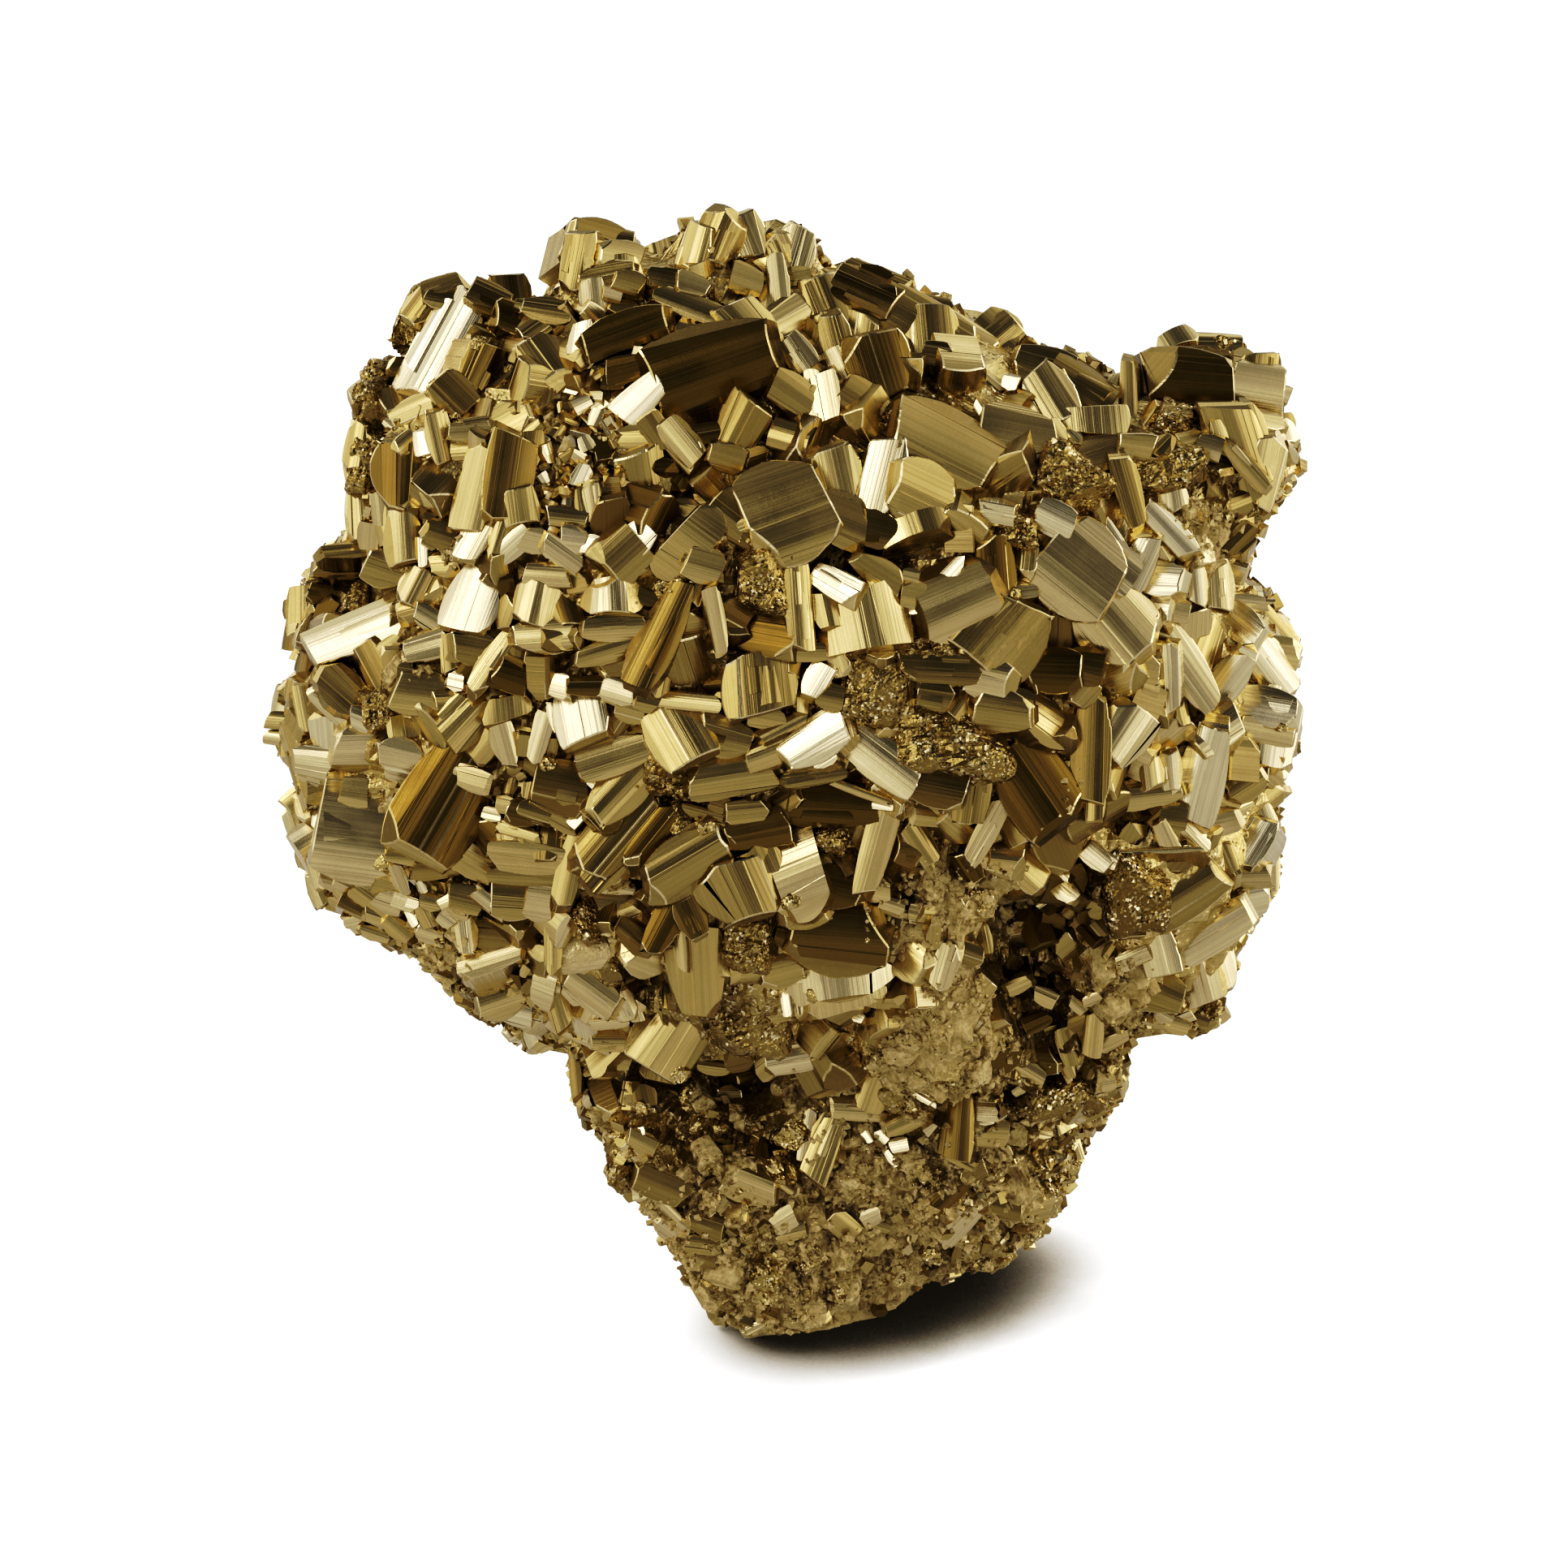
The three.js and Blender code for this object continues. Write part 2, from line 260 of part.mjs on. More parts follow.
  [33.9,40.4,266.7,0.083,0.967,0.243,0.203,-0.255,0.946,13.4,10.8,30.0],
  [-27.9,58.4,250.9,-0.963,-0.17,-0.209,-0.266,0.731,0.629,11.1,9.5,23.5],
  [92.0,3.8,266.1,0.609,-0.759,-0.231,0.277,-0.07,0.958,9.5,8.4,18.1]
];

const wasm = await Module();
wasm.setup();

// A closed indexed mesh as a solid.
function solid(positions, triangles) {
  return new wasm.Manifold(new wasm.Mesh({
    numProp: 3,
    vertProperties: new Float32Array(positions),
    triVerts: new Uint32Array(triangles),
  }));
}

// The mass: a loft through the levels, closed at the foot and at the crown.
function mass() {
  const positions = [];
  const triangles = [];
  const point = ([z, x0, x1, y0, y1, slant], angle, ring, side) => {
    const c = Math.cos(angle);
    const s = Math.sin(angle);
    const r = (Math.abs(c) ** CORE_SQUARENESS + Math.abs(s) ** CORE_SQUARENESS) ** (-1 / CORE_SQUARENESS);
    const grain = Math.sin(ring * 12.9898 + side * 78.233) * 43758.5453;
    const wave = 1 + WAVE_3 * Math.sin(3 * angle + z / 17) + WAVE_5 * Math.sin(5 * angle - z / 11)
      + GRAIN * (2 * (grain - Math.floor(grain)) - 1);
    const middle = (x0 + x1) / 2;
    const x = middle + ((x1 - x0) / 2) * c * r * wave;
    const y = (y0 + y1) / 2 + ((y1 - y0) / 2) * s * r * wave + slant * (x - middle);
    return new THREE.Vector3(x, y, z);
  };
  LEVELS.forEach((level, ring) => {
    for (let i = 0; i < CORE_SIDES; i++) {
      positions.push(...point(level, (2 * Math.PI * i) / CORE_SIDES, ring, i).toArray());
    }
  });
  const ringCentre = (ring) => {
    const centre = new THREE.Vector3();
    for (let i = 0; i < CORE_SIDES; i++) {
      centre.add(new THREE.Vector3().fromArray(positions, 3 * (ring * CORE_SIDES + i)));
    }
    return centre.divideScalar(CORE_SIDES);
  };
  for (let ring = 0; ring + 1 < LEVELS.length; ring++) {
    for (let i = 0; i < CORE_SIDES; i++) {
      const a = ring * CORE_SIDES + i;
      const b = ring * CORE_SIDES + ((i + 1) % CORE_SIDES);
      triangles.push(a, b, b + CORE_SIDES, a, b + CORE_SIDES, a + CORE_SIDES);
    }
  }
  const top = (LEVELS.length - 1) * CORE_SIDES;
  const foot = positions.length / 3;
  positions.push(...ringCentre(0).toArray(), ...ringCentre(LEVELS.length - 1).toArray());
  for (let i = 0; i < CORE_SIDES; i++) {
    const j = (i + 1) % CORE_SIDES;
    triangles.push(foot, j, i, foot + 1, top + i, top + j);
  }
  return solid(positions, triangles);
}

// One crystal: a block whose outer face is bowed across its striations.
function crystal([x, y, z, ux, uy, uz, nx, ny, nz, halfLength, halfWidth, depth]) {
  const n = new THREE.Vector3(nx, ny, nz).normalize();
  const u = new THREE.Vector3(ux, uy, uz);
  u.addScaledVector(n, -u.dot(n)).normalize();
  const v = new THREE.Vector3().crossVectors(n, u);
  const fall = BARREL * halfWidth;
  const outline = halfWidth < BOWED_FROM
    ? [[-halfWidth, -depth], [halfWidth, -depth], [halfWidth, -fall / 3], [-halfWidth, -fall / 3]]
    : [
      [-halfWidth, -depth], [halfWidth, -depth], [halfWidth, -fall],
      [BARREL_FLAT * halfWidth, 0], [-BARREL_FLAT * halfWidth, 0], [-halfWidth, -fall],
    ];
  const positions = [];
  const triangles = [];
  const count = outline.length;
  for (const along of [-halfLength, halfLength]) {
    for (const [across, out] of outline) {
      const p = new THREE.Vector3(x, y, z)
        .addScaledVector(u, along).addScaledVector(v, across).addScaledVector(n, out);
      positions.push(p.x, p.y, p.z);
    }
  }
  for (let i = 0; i < count; i++) {
    const j = (i + 1) % count;
    triangles.push(i, j + count, i + count, i, j, j + count);
  }
  for (let i = 1; i + 1 < count; i++) {
    triangles.push(0, i + 1, i, count, count + i, count + i + 1);
  }
  return solid(positions, triangles);
}

// Everything below the flat of the foot.
function belowFloor() {
  const box = new THREE.BoxGeometry(600, 600, 100).translate(0, 0, FLOOR_Z - 50);
  const index = new Map();
  const positions = [];
  const map = [];
  const p = box.getAttribute("position");
  for (let i = 0; i < p.count; i++) {
    const key = `${p.getX(i)},${p.getY(i)},${p.getZ(i)}`;
    if (!index.has(key)) {
      index.set(key, positions.length / 3);
      positions.push(p.getX(i), p.getY(i), p.getZ(i));
    }
    map.push(index.get(key));
  }
  return solid(positions, Array.from(box.getIndex().array, (i) => map[i]));
}

// Join in pairs, so that no join carries the whole mass until the last ones.
function joinAll(list) {
  let parts = list;
  while (parts.length > 1) {
    const next = [];
    for (let i = 0; i < parts.length; i += 2) {
      next.push(i + 1 < parts.length ? parts[i].add(parts[i + 1]) : parts[i]);
    }
    parts = next;
  }
  return parts[0];
}

const joined = joinAll([mass(), ...CRYSTALS.map(crystal)]).subtract(belowFloor()).simplify(SLIVER);
// The mass has no closed hollow in it: corners that meet are merged, and only
// the one outer skin is kept.
function outerSkin(shape) {
  for (let turn = 0; turn < 8; turn++) {
    const skin = shape.decompose().sort((a, b) => b.volume() - a.volume())[0];
    const mesh = skin.getMesh();
    const stride = mesh.numProp;
    const vertices = new Float32Array((mesh.vertProperties.length / stride) * 3);
    for (let i = 0; i < vertices.length / 3; i++) {
      for (let k = 0; k < 3; k++) vertices[3 * i + k] = mesh.vertProperties[stride * i + k];
    }
    const raw = new THREE.BufferGeometry();
    raw.setAttribute("position", new THREE.BufferAttribute(vertices, 3));
    raw.setIndex(new THREE.BufferAttribute(new Uint32Array(mesh.triVerts), 1));
    const merged = mergeVertices(raw.toNonIndexed(), 1e-3);
    shape = solid(merged.getAttribute("position").array, merged.getIndex().array);
    if (shape.decompose().length === 1) return merged;
  }
  throw new Error("the mass is not one solid");
}

const geometry = outerSkin(joined);
geometry.computeVertexNormals();

const cluster = new THREE.Mesh(
  geometry,
  new THREE.MeshStandardMaterial({ color: COLOUR, roughness: ROUGHNESS, metalness: METALNESS }),
);
cluster.name = "pyrite_cluster";

const specimen = new THREE.Group();
specimen.add(cluster);

export default specimen;
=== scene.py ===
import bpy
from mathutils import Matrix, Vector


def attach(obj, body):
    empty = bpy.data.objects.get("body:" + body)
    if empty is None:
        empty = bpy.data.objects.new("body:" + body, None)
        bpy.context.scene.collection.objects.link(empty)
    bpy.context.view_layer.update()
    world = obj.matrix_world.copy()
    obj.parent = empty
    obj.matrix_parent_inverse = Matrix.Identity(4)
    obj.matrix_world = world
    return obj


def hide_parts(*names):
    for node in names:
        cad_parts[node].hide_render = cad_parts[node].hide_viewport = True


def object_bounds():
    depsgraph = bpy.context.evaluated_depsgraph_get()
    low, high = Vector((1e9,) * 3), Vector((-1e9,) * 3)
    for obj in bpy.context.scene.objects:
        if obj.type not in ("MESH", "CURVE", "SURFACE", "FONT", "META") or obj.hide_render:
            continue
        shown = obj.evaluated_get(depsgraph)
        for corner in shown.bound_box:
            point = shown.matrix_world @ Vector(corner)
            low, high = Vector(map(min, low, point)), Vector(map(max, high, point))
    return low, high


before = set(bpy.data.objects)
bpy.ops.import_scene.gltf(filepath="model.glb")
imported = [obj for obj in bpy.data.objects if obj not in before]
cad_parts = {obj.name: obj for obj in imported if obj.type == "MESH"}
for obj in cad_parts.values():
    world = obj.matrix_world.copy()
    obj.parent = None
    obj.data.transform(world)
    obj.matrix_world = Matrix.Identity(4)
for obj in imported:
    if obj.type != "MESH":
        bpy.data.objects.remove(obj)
CAD_BOX = [list(map(float, corner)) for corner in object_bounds()]

import math

import bmesh
import bpy
import numpy as np
from mathutils import Vector
from mathutils.bvhtree import BVHTree
from mathutils.kdtree import KDTree

MM = 0.001
NODE = "pyrite_cluster"

# ------------------------------------------------------------------ the view
PX_PER_MM = 4.39            # at the middle of the specimen, in a 1932 px frame
FRAME_PX = 1932.0
DISTANCE = 1600.0           # mm from the camera to the middle of the specimen
ELEVATION = math.radians(20)
OFF_X = (1040 - 966) / PX_PER_MM
OFF_Y = (966 - 1590) / PX_PER_MM
SE, CE = math.sin(ELEVATION), math.cos(ELEVATION)


def to_row(v):
    v = np.asarray(v, float)
    x, y, z = v[..., 0], v[..., 1], v[..., 2]
    return np.stack([x, y * SE - z * CE, y * CE + z * SE], -1)


def to_view(v):
    v = np.asarray(v, float)
    x, y, z = v[..., 0], v[..., 1], v[..., 2]
    return np.stack([x, y * SE + z * CE, -y * CE + z * SE], -1)


EYE = to_row([-OFF_X, -OFF_Y, DISTANCE])


def to_frame(p):
    """Where points (mm) fall in the 1932 px frame."""
    c = to_view(p) + np.array([OFF_X, OFF_Y, 0.0])
    k = DISTANCE / (DISTANCE - c[..., 2])
    return np.stack([966 + c[..., 0] * k * PX_PER_MM, 966 - c[..., 1] * k * PX_PER_MM], -1)


camera_data = bpy.data.cameras.new("camera")
camera = bpy.data.objects.new("camera", camera_data)
bpy.context.scene.collection.objects.link(camera)
camera.location = Vector(EYE) * MM
camera.rotation_euler = (math.radians(90) - ELEVATION, 0.0, 0.0)
camera_data.sensor_fit = "HORIZONTAL"
camera_data.sensor_width = 36.0
camera_data.lens = 36.0 * DISTANCE / (FRAME_PX / PX_PER_MM)
camera_data.clip_start = 0.05
camera_data.clip_end = 50.0
bpy.context.scene.camera = camera

# ------------------------------------------------------- measured crystals
# The mass behind the crystals, from the foot up:
# height, left, right, front, back, slant of the foot (mm).
LEVELS = np.array([
    [-8,-30,27,-28,34,0.55],
    [0,-33,32,-30,37,0.54],
    [6,-36,40,-32,40,0.5],
    [12,-40,49,-33,43,0.44],
    [22,-46,60,-36,47,0.36],
    [33,-54,65,-40,51,0.26],
    [45,-61,68,-44,55,0.18],
    [60,-70,76,-48,60,0.1],
    [72,-77,80,-52,64,0.05],
    [79,-92,92,-52,67,0],
    [86,-101,103,-54,70,0],
    [95,-110,109,-60,75,0],
    [105,-124,111,-67,79,0],
    [114,-134,113,-72,82,0],
    [125,-145,115,-77,85,0],
    [140,-150,116,-81,88,0],
    [155,-148,118,-84,90,0],
    [175,-149,120,-86,91,0],
    [192,-147,119,-86,88,0],
    [207,-142,113,-85,83,0],
    [218,-135,109,-83,77,0],
    [231,-132,113,-80,69,0],
    [244.6,-131,117,-75,60,0],
    [255,-129,115,-69,50,0],
    [262,-124,100,-63,43,0],
    [269,-117,72,-56,36,0],
    [277,-108,50,-48,29,0],
    [285,-99,34,-40,23,0],
    [292,-86,18,-32,18,0],
    [299,-72,2,-26,13,0],
    [305,-58,-7,-19,9,0],
    [309,-46,-16,-12,5,0],
])
SQUARENESS = 2.4

# One crystal a line: middle of its outer face, direction of its striations,
# direction that the face looks, half length, half width, depth (mm), and
# letters: the first is how light or dark its faces are painted, from W, a painted
# highlight, to K, painted shade, partly tarnish, then
# R broken and granular, S stepped, C strongly curved, P pitted, B brown,
# O orange stained, m matrix-coated.
FRONT_COUNT = 473
CRYSTALS = """
-107.4 -19 279.4 -.463 -.368 -.807 -.28 -.803 .526 12.8 7.2 23.8 WC
-104.4 -4.3 293.5 -.984 .123 .13 0 -.724 .689 3.2 3.3 12.1 D
-93.7 -6.1 291.2 .152 -.672 -.725 .1 -.719 .687 5.6 6.5 17.1 D
-83.2 -29 289.3 -.779 -.411 -.472 .05 -.793 .608 8.1 4.7 19.9 M
-96.4 -27.4 282.4 -.946 .301 .119 -.2 -.833 .516 2.4 2.7 8.5 LR
-95.1 -36.9 279.1 -.439 -.348 -.828 .3 -.926 .23 5.2 4.2 15 D
-101.7 -41 273.2 -.705 .175 .687 .1 -.935 .34 4.4 4.1 13.8 DB
-105 -49.8 263.8 .204 -.295 -.933 .2 -.921 .335 5.1 2.8 11.9 M
-109.9 -48 262.4 .161 -.519 -.84 -.28 -.84 .465 3.2 2.3 10.4 W
-97.1 -51 266.3 -.998 -.029 -.06 0 -.901 .434 4.7 2.6 11.7 M
-114.5 -5.6 283.6 -.458 -.301 -.836 -.2 -.882 .427 7.9 3.9 12.2 MR
-123.2 -8.5 267.6 -.828 -.024 -.561 -.2 -.921 .335 4.4 4.9 11.2 MR
-127.1 -24.6 265.1 -.962 .144 -.233 -.2 -.95 .239 3.7 6.4 11.1 LR
-126.2 -35.8 252.6 -.973 .228 .046 -.2 -.921 .335 3.5 7.3 12.3 MR
-64.8 -7.5 303.8 -.918 -.219 .331 .35 -.841 .413 7.6 7.1 22 D
-59.7 -23 300.7 .058 -.434 -.899 0 -.901 .434 3.6 4.8 13.5 M
-56.9 -26.9 298.5 -.959 -.028 .282 .1 -.964 .245 3.3 3 12 D
-66.4 -27.1 295.3 .093 -.254 -.963 -.1 -.964 .245 3.4 3 10.8 L
-61.1 -27.6 295.9 -.953 -.132 .273 .2 -.95 .239 2 1.9 9 L
-57.3 -39.7 288.6 -.937 -.136 -.323 0 -.921 .389 8.3 5 17.8 K
-57.6 -45.8 281 -.967 -.087 -.239 0 -.94 .342 4.1 3.2 13.3 K
-53.1 -44.4 282.8 -.196 -.4 -.895 -.15 -.89 .43 3.2 3 10.9 L
-69.5 -37.2 287 -.112 -.498 -.86 -.3 -.808 .507 3.7 2.7 10.6 W
-35.1 -50.7 282.4 -.945 -.118 -.305 0 -.933 .361 12.1 10.1 30.4 KCS
-53.8 -52.2 274.9 -.707 -.021 -.707 -.3 -.896 .326 5.9 3.9 13.7 W
-43.3 -60.3 265.8 -.618 .336 .711 -.3 -.937 .181 5 3.1 12.1 L
-49.1 -57.9 267.9 -.549 .151 .822 .1 -.964 .245 3.8 2.8 10.8 M
-28 -59.4 268.8 -.452 -.22 -.865 .1 -.976 .195 6.4 5 16 MB
-36.7 -58.5 267.5 -.985 -.06 -.164 0 -.94 .342 4.7 2.6 11.8 D
-31.5 -63.9 262.6 -.95 -.051 .308 .1 -.984 .145 3.8 3.2 12.2 MB
-40.1 -33 294.7 -.93 .234 .284 .05 -.684 .728 8.4 2.9 14.2 M
-45.8 -27.1 300.3 -.983 .111 .145 0 -.794 .608 4.8 2.3 11.5 D
-40.1 -29.1 299.1 -.947 .048 .318 .1 -.896 .433 3.3 2.5 11.6 M
-31.3 -20.4 308.9 .372 -.42 -.828 0 -.892 .452 7.1 7.7 21.5 LS
-15.6 -22.5 305.5 -.274 -.491 -.827 -.05 -.851 .523 6.9 6.5 19.3 L
-18.7 -27.2 299.7 .103 -.263 -.959 -.2 -.95 .239 5.1 2.3 10.4 L
-26.5 -28.6 300 -.941 -.012 .338 .1 -.964 .245 3.3 3.2 12.1 M
-24.4 -38 290.7 -.668 .336 .664 .15 -.813 .562 5.9 4.6 16.5 M
6.8 -15.3 297.1 -.904 .243 .352 .1 -.68 .726 8.2 4.4 19.7 M
2.9 -25.2 295.9 -.996 .054 .071 0 -.794 .608 7.4 2.8 16.4 D
23.8 -31.5 287.8 .079 -.602 -.795 .08 -.791 .607 6.6 8.1 21.2 M
40.3 -12.5 282.2 -.75 .306 .587 .2 -.74 .642 5.7 6.1 18.2 M
25.5 -7.8 288.5 -.989 .024 .149 .1 -.637 .764 8.6 3.1 14.3 M
7.9 -46.6 282.3 .296 -.313 -.902 .05 -.939 .342 6.3 6.5 19.9 DB
-3.9 -38.1 288.6 .243 -.332 -.912 0 -.94 .342 4.3 3.2 12.1 M
-13.5 -43.1 284.6 .554 -.311 -.772 -.2 -.95 .239 3.8 3.1 10.9 L
22.6 -38.2 283.2 -.986 .056 .154 0 -.94 .342 3.2 2.8 11.8 D
-7.1 -52.6 275.4 .17 -.547 -.82 -.28 -.825 .492 4.9 3.7 12.6 W
-14 -52.8 275.5 -.824 .058 .564 .1 -.964 .245 5.7 4.2 13.9 M
3.3 -53.1 274.9 -.84 .05 .54 .1 -.964 .245 4.9 3.9 13.7 M
25.2 -63.9 266.9 -.894 .06 .444 .2 -.833 .516 10.6 8.2 26.9 MS
15.5 -55.5 270.9 -.894 .153 .42 .05 -.9 .434 5.8 5.4 15 MR
43.1 -55 268.6 -.985 .018 .173 .1 -.756 .647 7.4 4.9 17.8 M
36.2 -54.9 267.5 .485 -.539 -.688 -.35 -.841 .413 7.5 .8 8.3 W
51.3 -41.4 273.3 .486 -.535 -.691 -.1 -.819 .564 6 5.5 17 L
41.5 -39.1 275.9 -.918 .382 .105 -.28 -.814 .509 1.8 1.9 8.9 W
63.6 -17.3 273 -.901 .249 .357 .1 -.68 .726 8.8 4.3 17.4 D
63.3 -45.6 267.6 .099 -.387 -.917 0 -.921 .389 3.1 7.4 13.2 M
90.7 -16.6 266.8 -.995 -.057 .077 .08 -.937 .341 10.1 10.3 28.2 KC
77.3 -28 267.9 .036 -.299 -.954 -.15 -.945 .291 11.6 2.8 14.1 MB
92.3 10.4 274.5 .426 -.753 -.503 -.1 -.591 .8 3.5 7 14.4 L
103 7.8 273.2 -.966 .069 .249 .1 -.789 .606 5 2.1 9.6 MR
108.8 -6.2 264.7 -.972 -.119 .203 .2 -.873 .445 7.2 8.1 17.5 LC
111.8 -39.8 251 -.185 -.251 -.95 .35 -.92 .175 10.2 5.2 22.5 L
83.8 -35.4 265 -.919 .135 .37 0 -.94 .342 4 3.8 11.4 MR
92.8 -44.4 259.6 -.955 .136 .263 -.1 -.984 .145 2.8 2.8 11.9 L
102.3 -44.5 254.6 -.669 .175 .723 -.1 -.984 .145 6 1.8 10.1 L
80.7 -54.9 257.1 -.978 -.136 -.159 0 -.761 .649 10.6 4.7 16.1 MR
55.9 -63.9 257.7 -.829 .268 .491 0 -.878 .479 9.3 6.5 21.3 LR
71.4 -61.3 253.2 .275 -.303 -.913 .1 -.935 .34 7.5 2.8 13 D
73.4 -53.2 262 -.976 -.047 .212 .1 -.964 .245 3.4 3.4 12.3 M
-147.7 6 199.4 0 -.389 -.921 -.15 -.911 .385 5.5 5 14.7 LC
-139 -12.9 209.9 -.994 .039 .107 0 -.94 .342 3.8 2.4 11.5 D
-128.4 -41.6 209.5 -.915 .072 -.397 -.3 -.78 .55 12.2 5.1 16.8 W
-129 -30.9 214.9 -.965 .211 .158 -.1 -.847 .521 3.9 3.8 11.3 MR
-131.8 -20.2 220.4 -.996 -.035 -.084 0 -.921 .389 9.5 3.5 14.5 DC
-129.1 -25.8 226.7 -.996 -.064 -.067 0 -.724 .689 7.5 1.8 13.4 D
-139.6 4.9 215.4 -.98 .189 -.069 -.2 -.882 .427 2.4 2.2 9.6 L
-121.2 -42 225.9 -.948 .153 .28 -.1 -.976 .195 4 4 13.8 M
-112.1 -53.3 225.1 -.447 -.306 -.84 0 -.94 .342 4.2 3.5 13.4 M
-97 -68.3 226.5 -.353 -.406 -.843 -.22 -.839 .497 6.5 5.8 17.8 W
-80 -77 228.5 -.231 -.402 -.886 -.1 -.896 .433 4.5 5.1 15.3 LC
-108.5 -58.9 218.1 -.857 .208 .471 -.1 -.964 .245 3.1 2.5 10.5 L
-108.6 -63.6 212.4 -.966 -.057 -.253 -.1 -.819 .564 4.9 3.2 12.1 L
-102.3 -68.3 212.3 .114 -.329 -.937 .1 -.935 .34 3.7 2.2 10.4 M
-95.3 -72.8 214.4 -.984 .043 .17 0 -.969 .246 4.7 3.4 12.2 M
-90.7 -75.1 213.5 -.559 -.361 -.747 -.15 -.841 .519 7.8 2.4 12.8 L
-86.8 -78.6 209.4 -.959 .097 .265 0 -.94 .342 3.7 3.6 12.4 D
-77.5 -79.6 221.1 -.995 .068 -.076 -.1 -.789 .606 6.4 3.4 16.9 L
-101.2 -71.2 205.1 -.918 .382 .105 -.28 -.814 .509 1.8 1.9 8.5 W
-131.2 -51 195.9 .735 -.217 -.642 .25 -.793 .555 5.5 4.2 13.9 D
-134.1 -49.7 189.2 -.785 .105 .611 -.1 -.994 .043 6.1 2 11.3 L
-126.3 -57.6 189.7 -.928 .145 .342 -.1 -.984 .145 2.8 2.8 11.4 L
-122.3 -59.6 193.8 -.988 -.053 -.147 0 -.94 .342 4 4 12 DR
-110.5 -67.8 201.1 -.991 -.012 .131 .05 -.954 .294 5.3 5.1 15.9 MP
-118.1 -58.8 204 .146 -.159 -.976 -.1 -.984 .145 4.3 2.1 9.6 L
-143.2 -37.6 186.1 .187 -.26 -.948 -.1 -.964 .245 4.6 2.2 10.3 M
-150.7 -24.6 178.1 -.992 .118 .033 -.1 -.935 .34 3 1.9 10.1 M
-151.1 -24.1 172.7 -.975 .218 .05 -.2 -.95 .239 3.5 1.6 9.9 L
-150.5 -12.1 183.2 -.978 .072 .197 0 -.94 .342 3.1 3.1 9.3 M
-140.3 -46.3 173.6 -.984 .147 .096 -.12 -.962 .244 4.5 4.1 13.8 LC
-98.3 -74 196.2 -.677 -.283 -.679 .05 -.939 .342 5.4 4.4 17.5 M
-87.7 -76.9 200 .09 -.245 -.965 0 -.969 .246 2.3 5.1 11.5 M
-89 -75.7 190.1 .257 -.117 -.959 -.1 -.99 .094 4.9 2.9 11.9 L
-79.5 -77.9 192.5 -.284 -.178 -.942 -.2 -.95 .239 5.5 2.1 10.3 L
-116.3 -64.9 181.4 -.977 .116 .177 -.1 -.99 .094 4.1 4 13.7 L
-104.5 -72.9 173.6 -.502 -.312 -.807 0 -.933 .361 12.1 8.5 24.5 KS
-69.2 -83.3 200.1 .198 -.544 -.815 -.25 -.832 .495 5.2 5.8 16.4 W
-74.5 -82.1 207.8 -.931 .351 .101 -.28 -.863 .421 2.9 2.8 11.4 W
-65.6 -83.7 208.3 -1 0 0 0 -.94 .342 5.7 2.3 11.5 K
-59.3 -85.3 207.8 -.931 .307 .198 -.2 -.882 .427 3.5 3.1 12.1 L
-55.9 -84.6 202.1 -.954 -.023 .299 .1 -.964 .245 3 2.8 10.7 M
-51.7 -85.5 205.2 -.974 .056 .219 0 -.969 .246 2.8 2.8 10.7 M
-60.8 -81.8 232 .057 -.44 -.896 -.12 -.894 .432 3.6 6.4 14.7 LC
-59.6 -83.8 224 -.998 -.062 -.031 .05 -.954 .294 6.2 2.9 13.1 M
-62.4 -84.4 217.7 -.96 -.082 -.267 0 -.956 .295 6.6 2.6 11.8 M
-55.9 -76.3 243.8 -.694 -.179 -.697 -.3 -.808 .507 4.7 3.4 12.3 W
-65.3 -73.7 242.8 -.925 .371 .084 -.28 -.814 .509 2 2.1 9.1 W
-70.5 -72.7 243.1 -.99 .113 .085 -.1 -.984 .145 2.6 3.2 11.3 L
-73.2 -73.4 239.7 -.808 .087 .583 0 -.989 .147 4.5 2.6 11.3 L
-77.5 -74.2 235.2 -.991 .133 .027 -.1 -.847 .521 4.4 2.6 10.6 L
-80.1 -70 242.5 -.973 .127 .193 -.1 -.984 .145 2.8 2.8 10.7 L
-71.8 -69.2 248.5 -.994 .026 .102 0 -.969 .246 3.9 2.3 10.4 M
-83.8 -66.2 250.4 .13 -.231 -.964 .1 -.964 .245 4 3.8 12.7 M
-85.8 -68.3 240.9 -.734 -.056 -.677 -.15 -.958 .242 3.9 2.4 11.2 L
-65.6 -67.9 252.4 .113 -.26 -.959 -.15 -.958 .242 3.6 1.8 9.4 L
-68.3 -67.4 251.8 .132 -.339 -.931 0 -.94 .342 3.1 1.4 8.7 D
-95.9 -64 242.1 -.463 -.363 -.809 -.25 -.822 .512 4.9 3.2 14.4 W
-88.5 -67.4 241.4 -.303 -.322 -.897 .3 -.926 .23 4.8 2.6 11.7 MB
-96.4 -61 254.2 -.248 -.257 -.934 -.3 -.896 .326 8.4 4 19.5 LS
-86.7 -63.3 257.5 -.148 -.359 -.921 .15 -.929 .338 8.4 5.2 20.3 K
-115 -51.2 238.1 .058 -.339 -.939 .05 -.939 .342 5.5 4 13.8 M
-110.3 -53.8 234.7 .066 -.452 -.89 -.25 -.871 .423 3.2 1.5 8.7 W
-127.9 -31.4 238 .08 -.348 -.934 -.1 -.935 .34 5.3 3.2 12.1 M
-121.7 -44.2 243.1 .092 -.155 -.984 -.1 -.984 .145 3.4 1.9 9 L
-105.1 -58.7 241.5 -.944 .018 .328 .1 -.935 .34 3.3 3 12 M
-107.2 -56.2 250.1 -.949 .208 .235 -.15 -.958 .242 2.8 2.6 11.3 L
-27.3 -75.9 251.2 -.789 .202 .58 .05 -.92 .388 5.9 5.6 18.3 D
-40.7 -78.6 244.1 .806 -.223 -.548 -.1 -.964 .245 3.8 8.9 16 M
-37 -81.5 239.7 -.956 -.025 .292 .1 -.964 .245 3.9 3.8 13.7 M
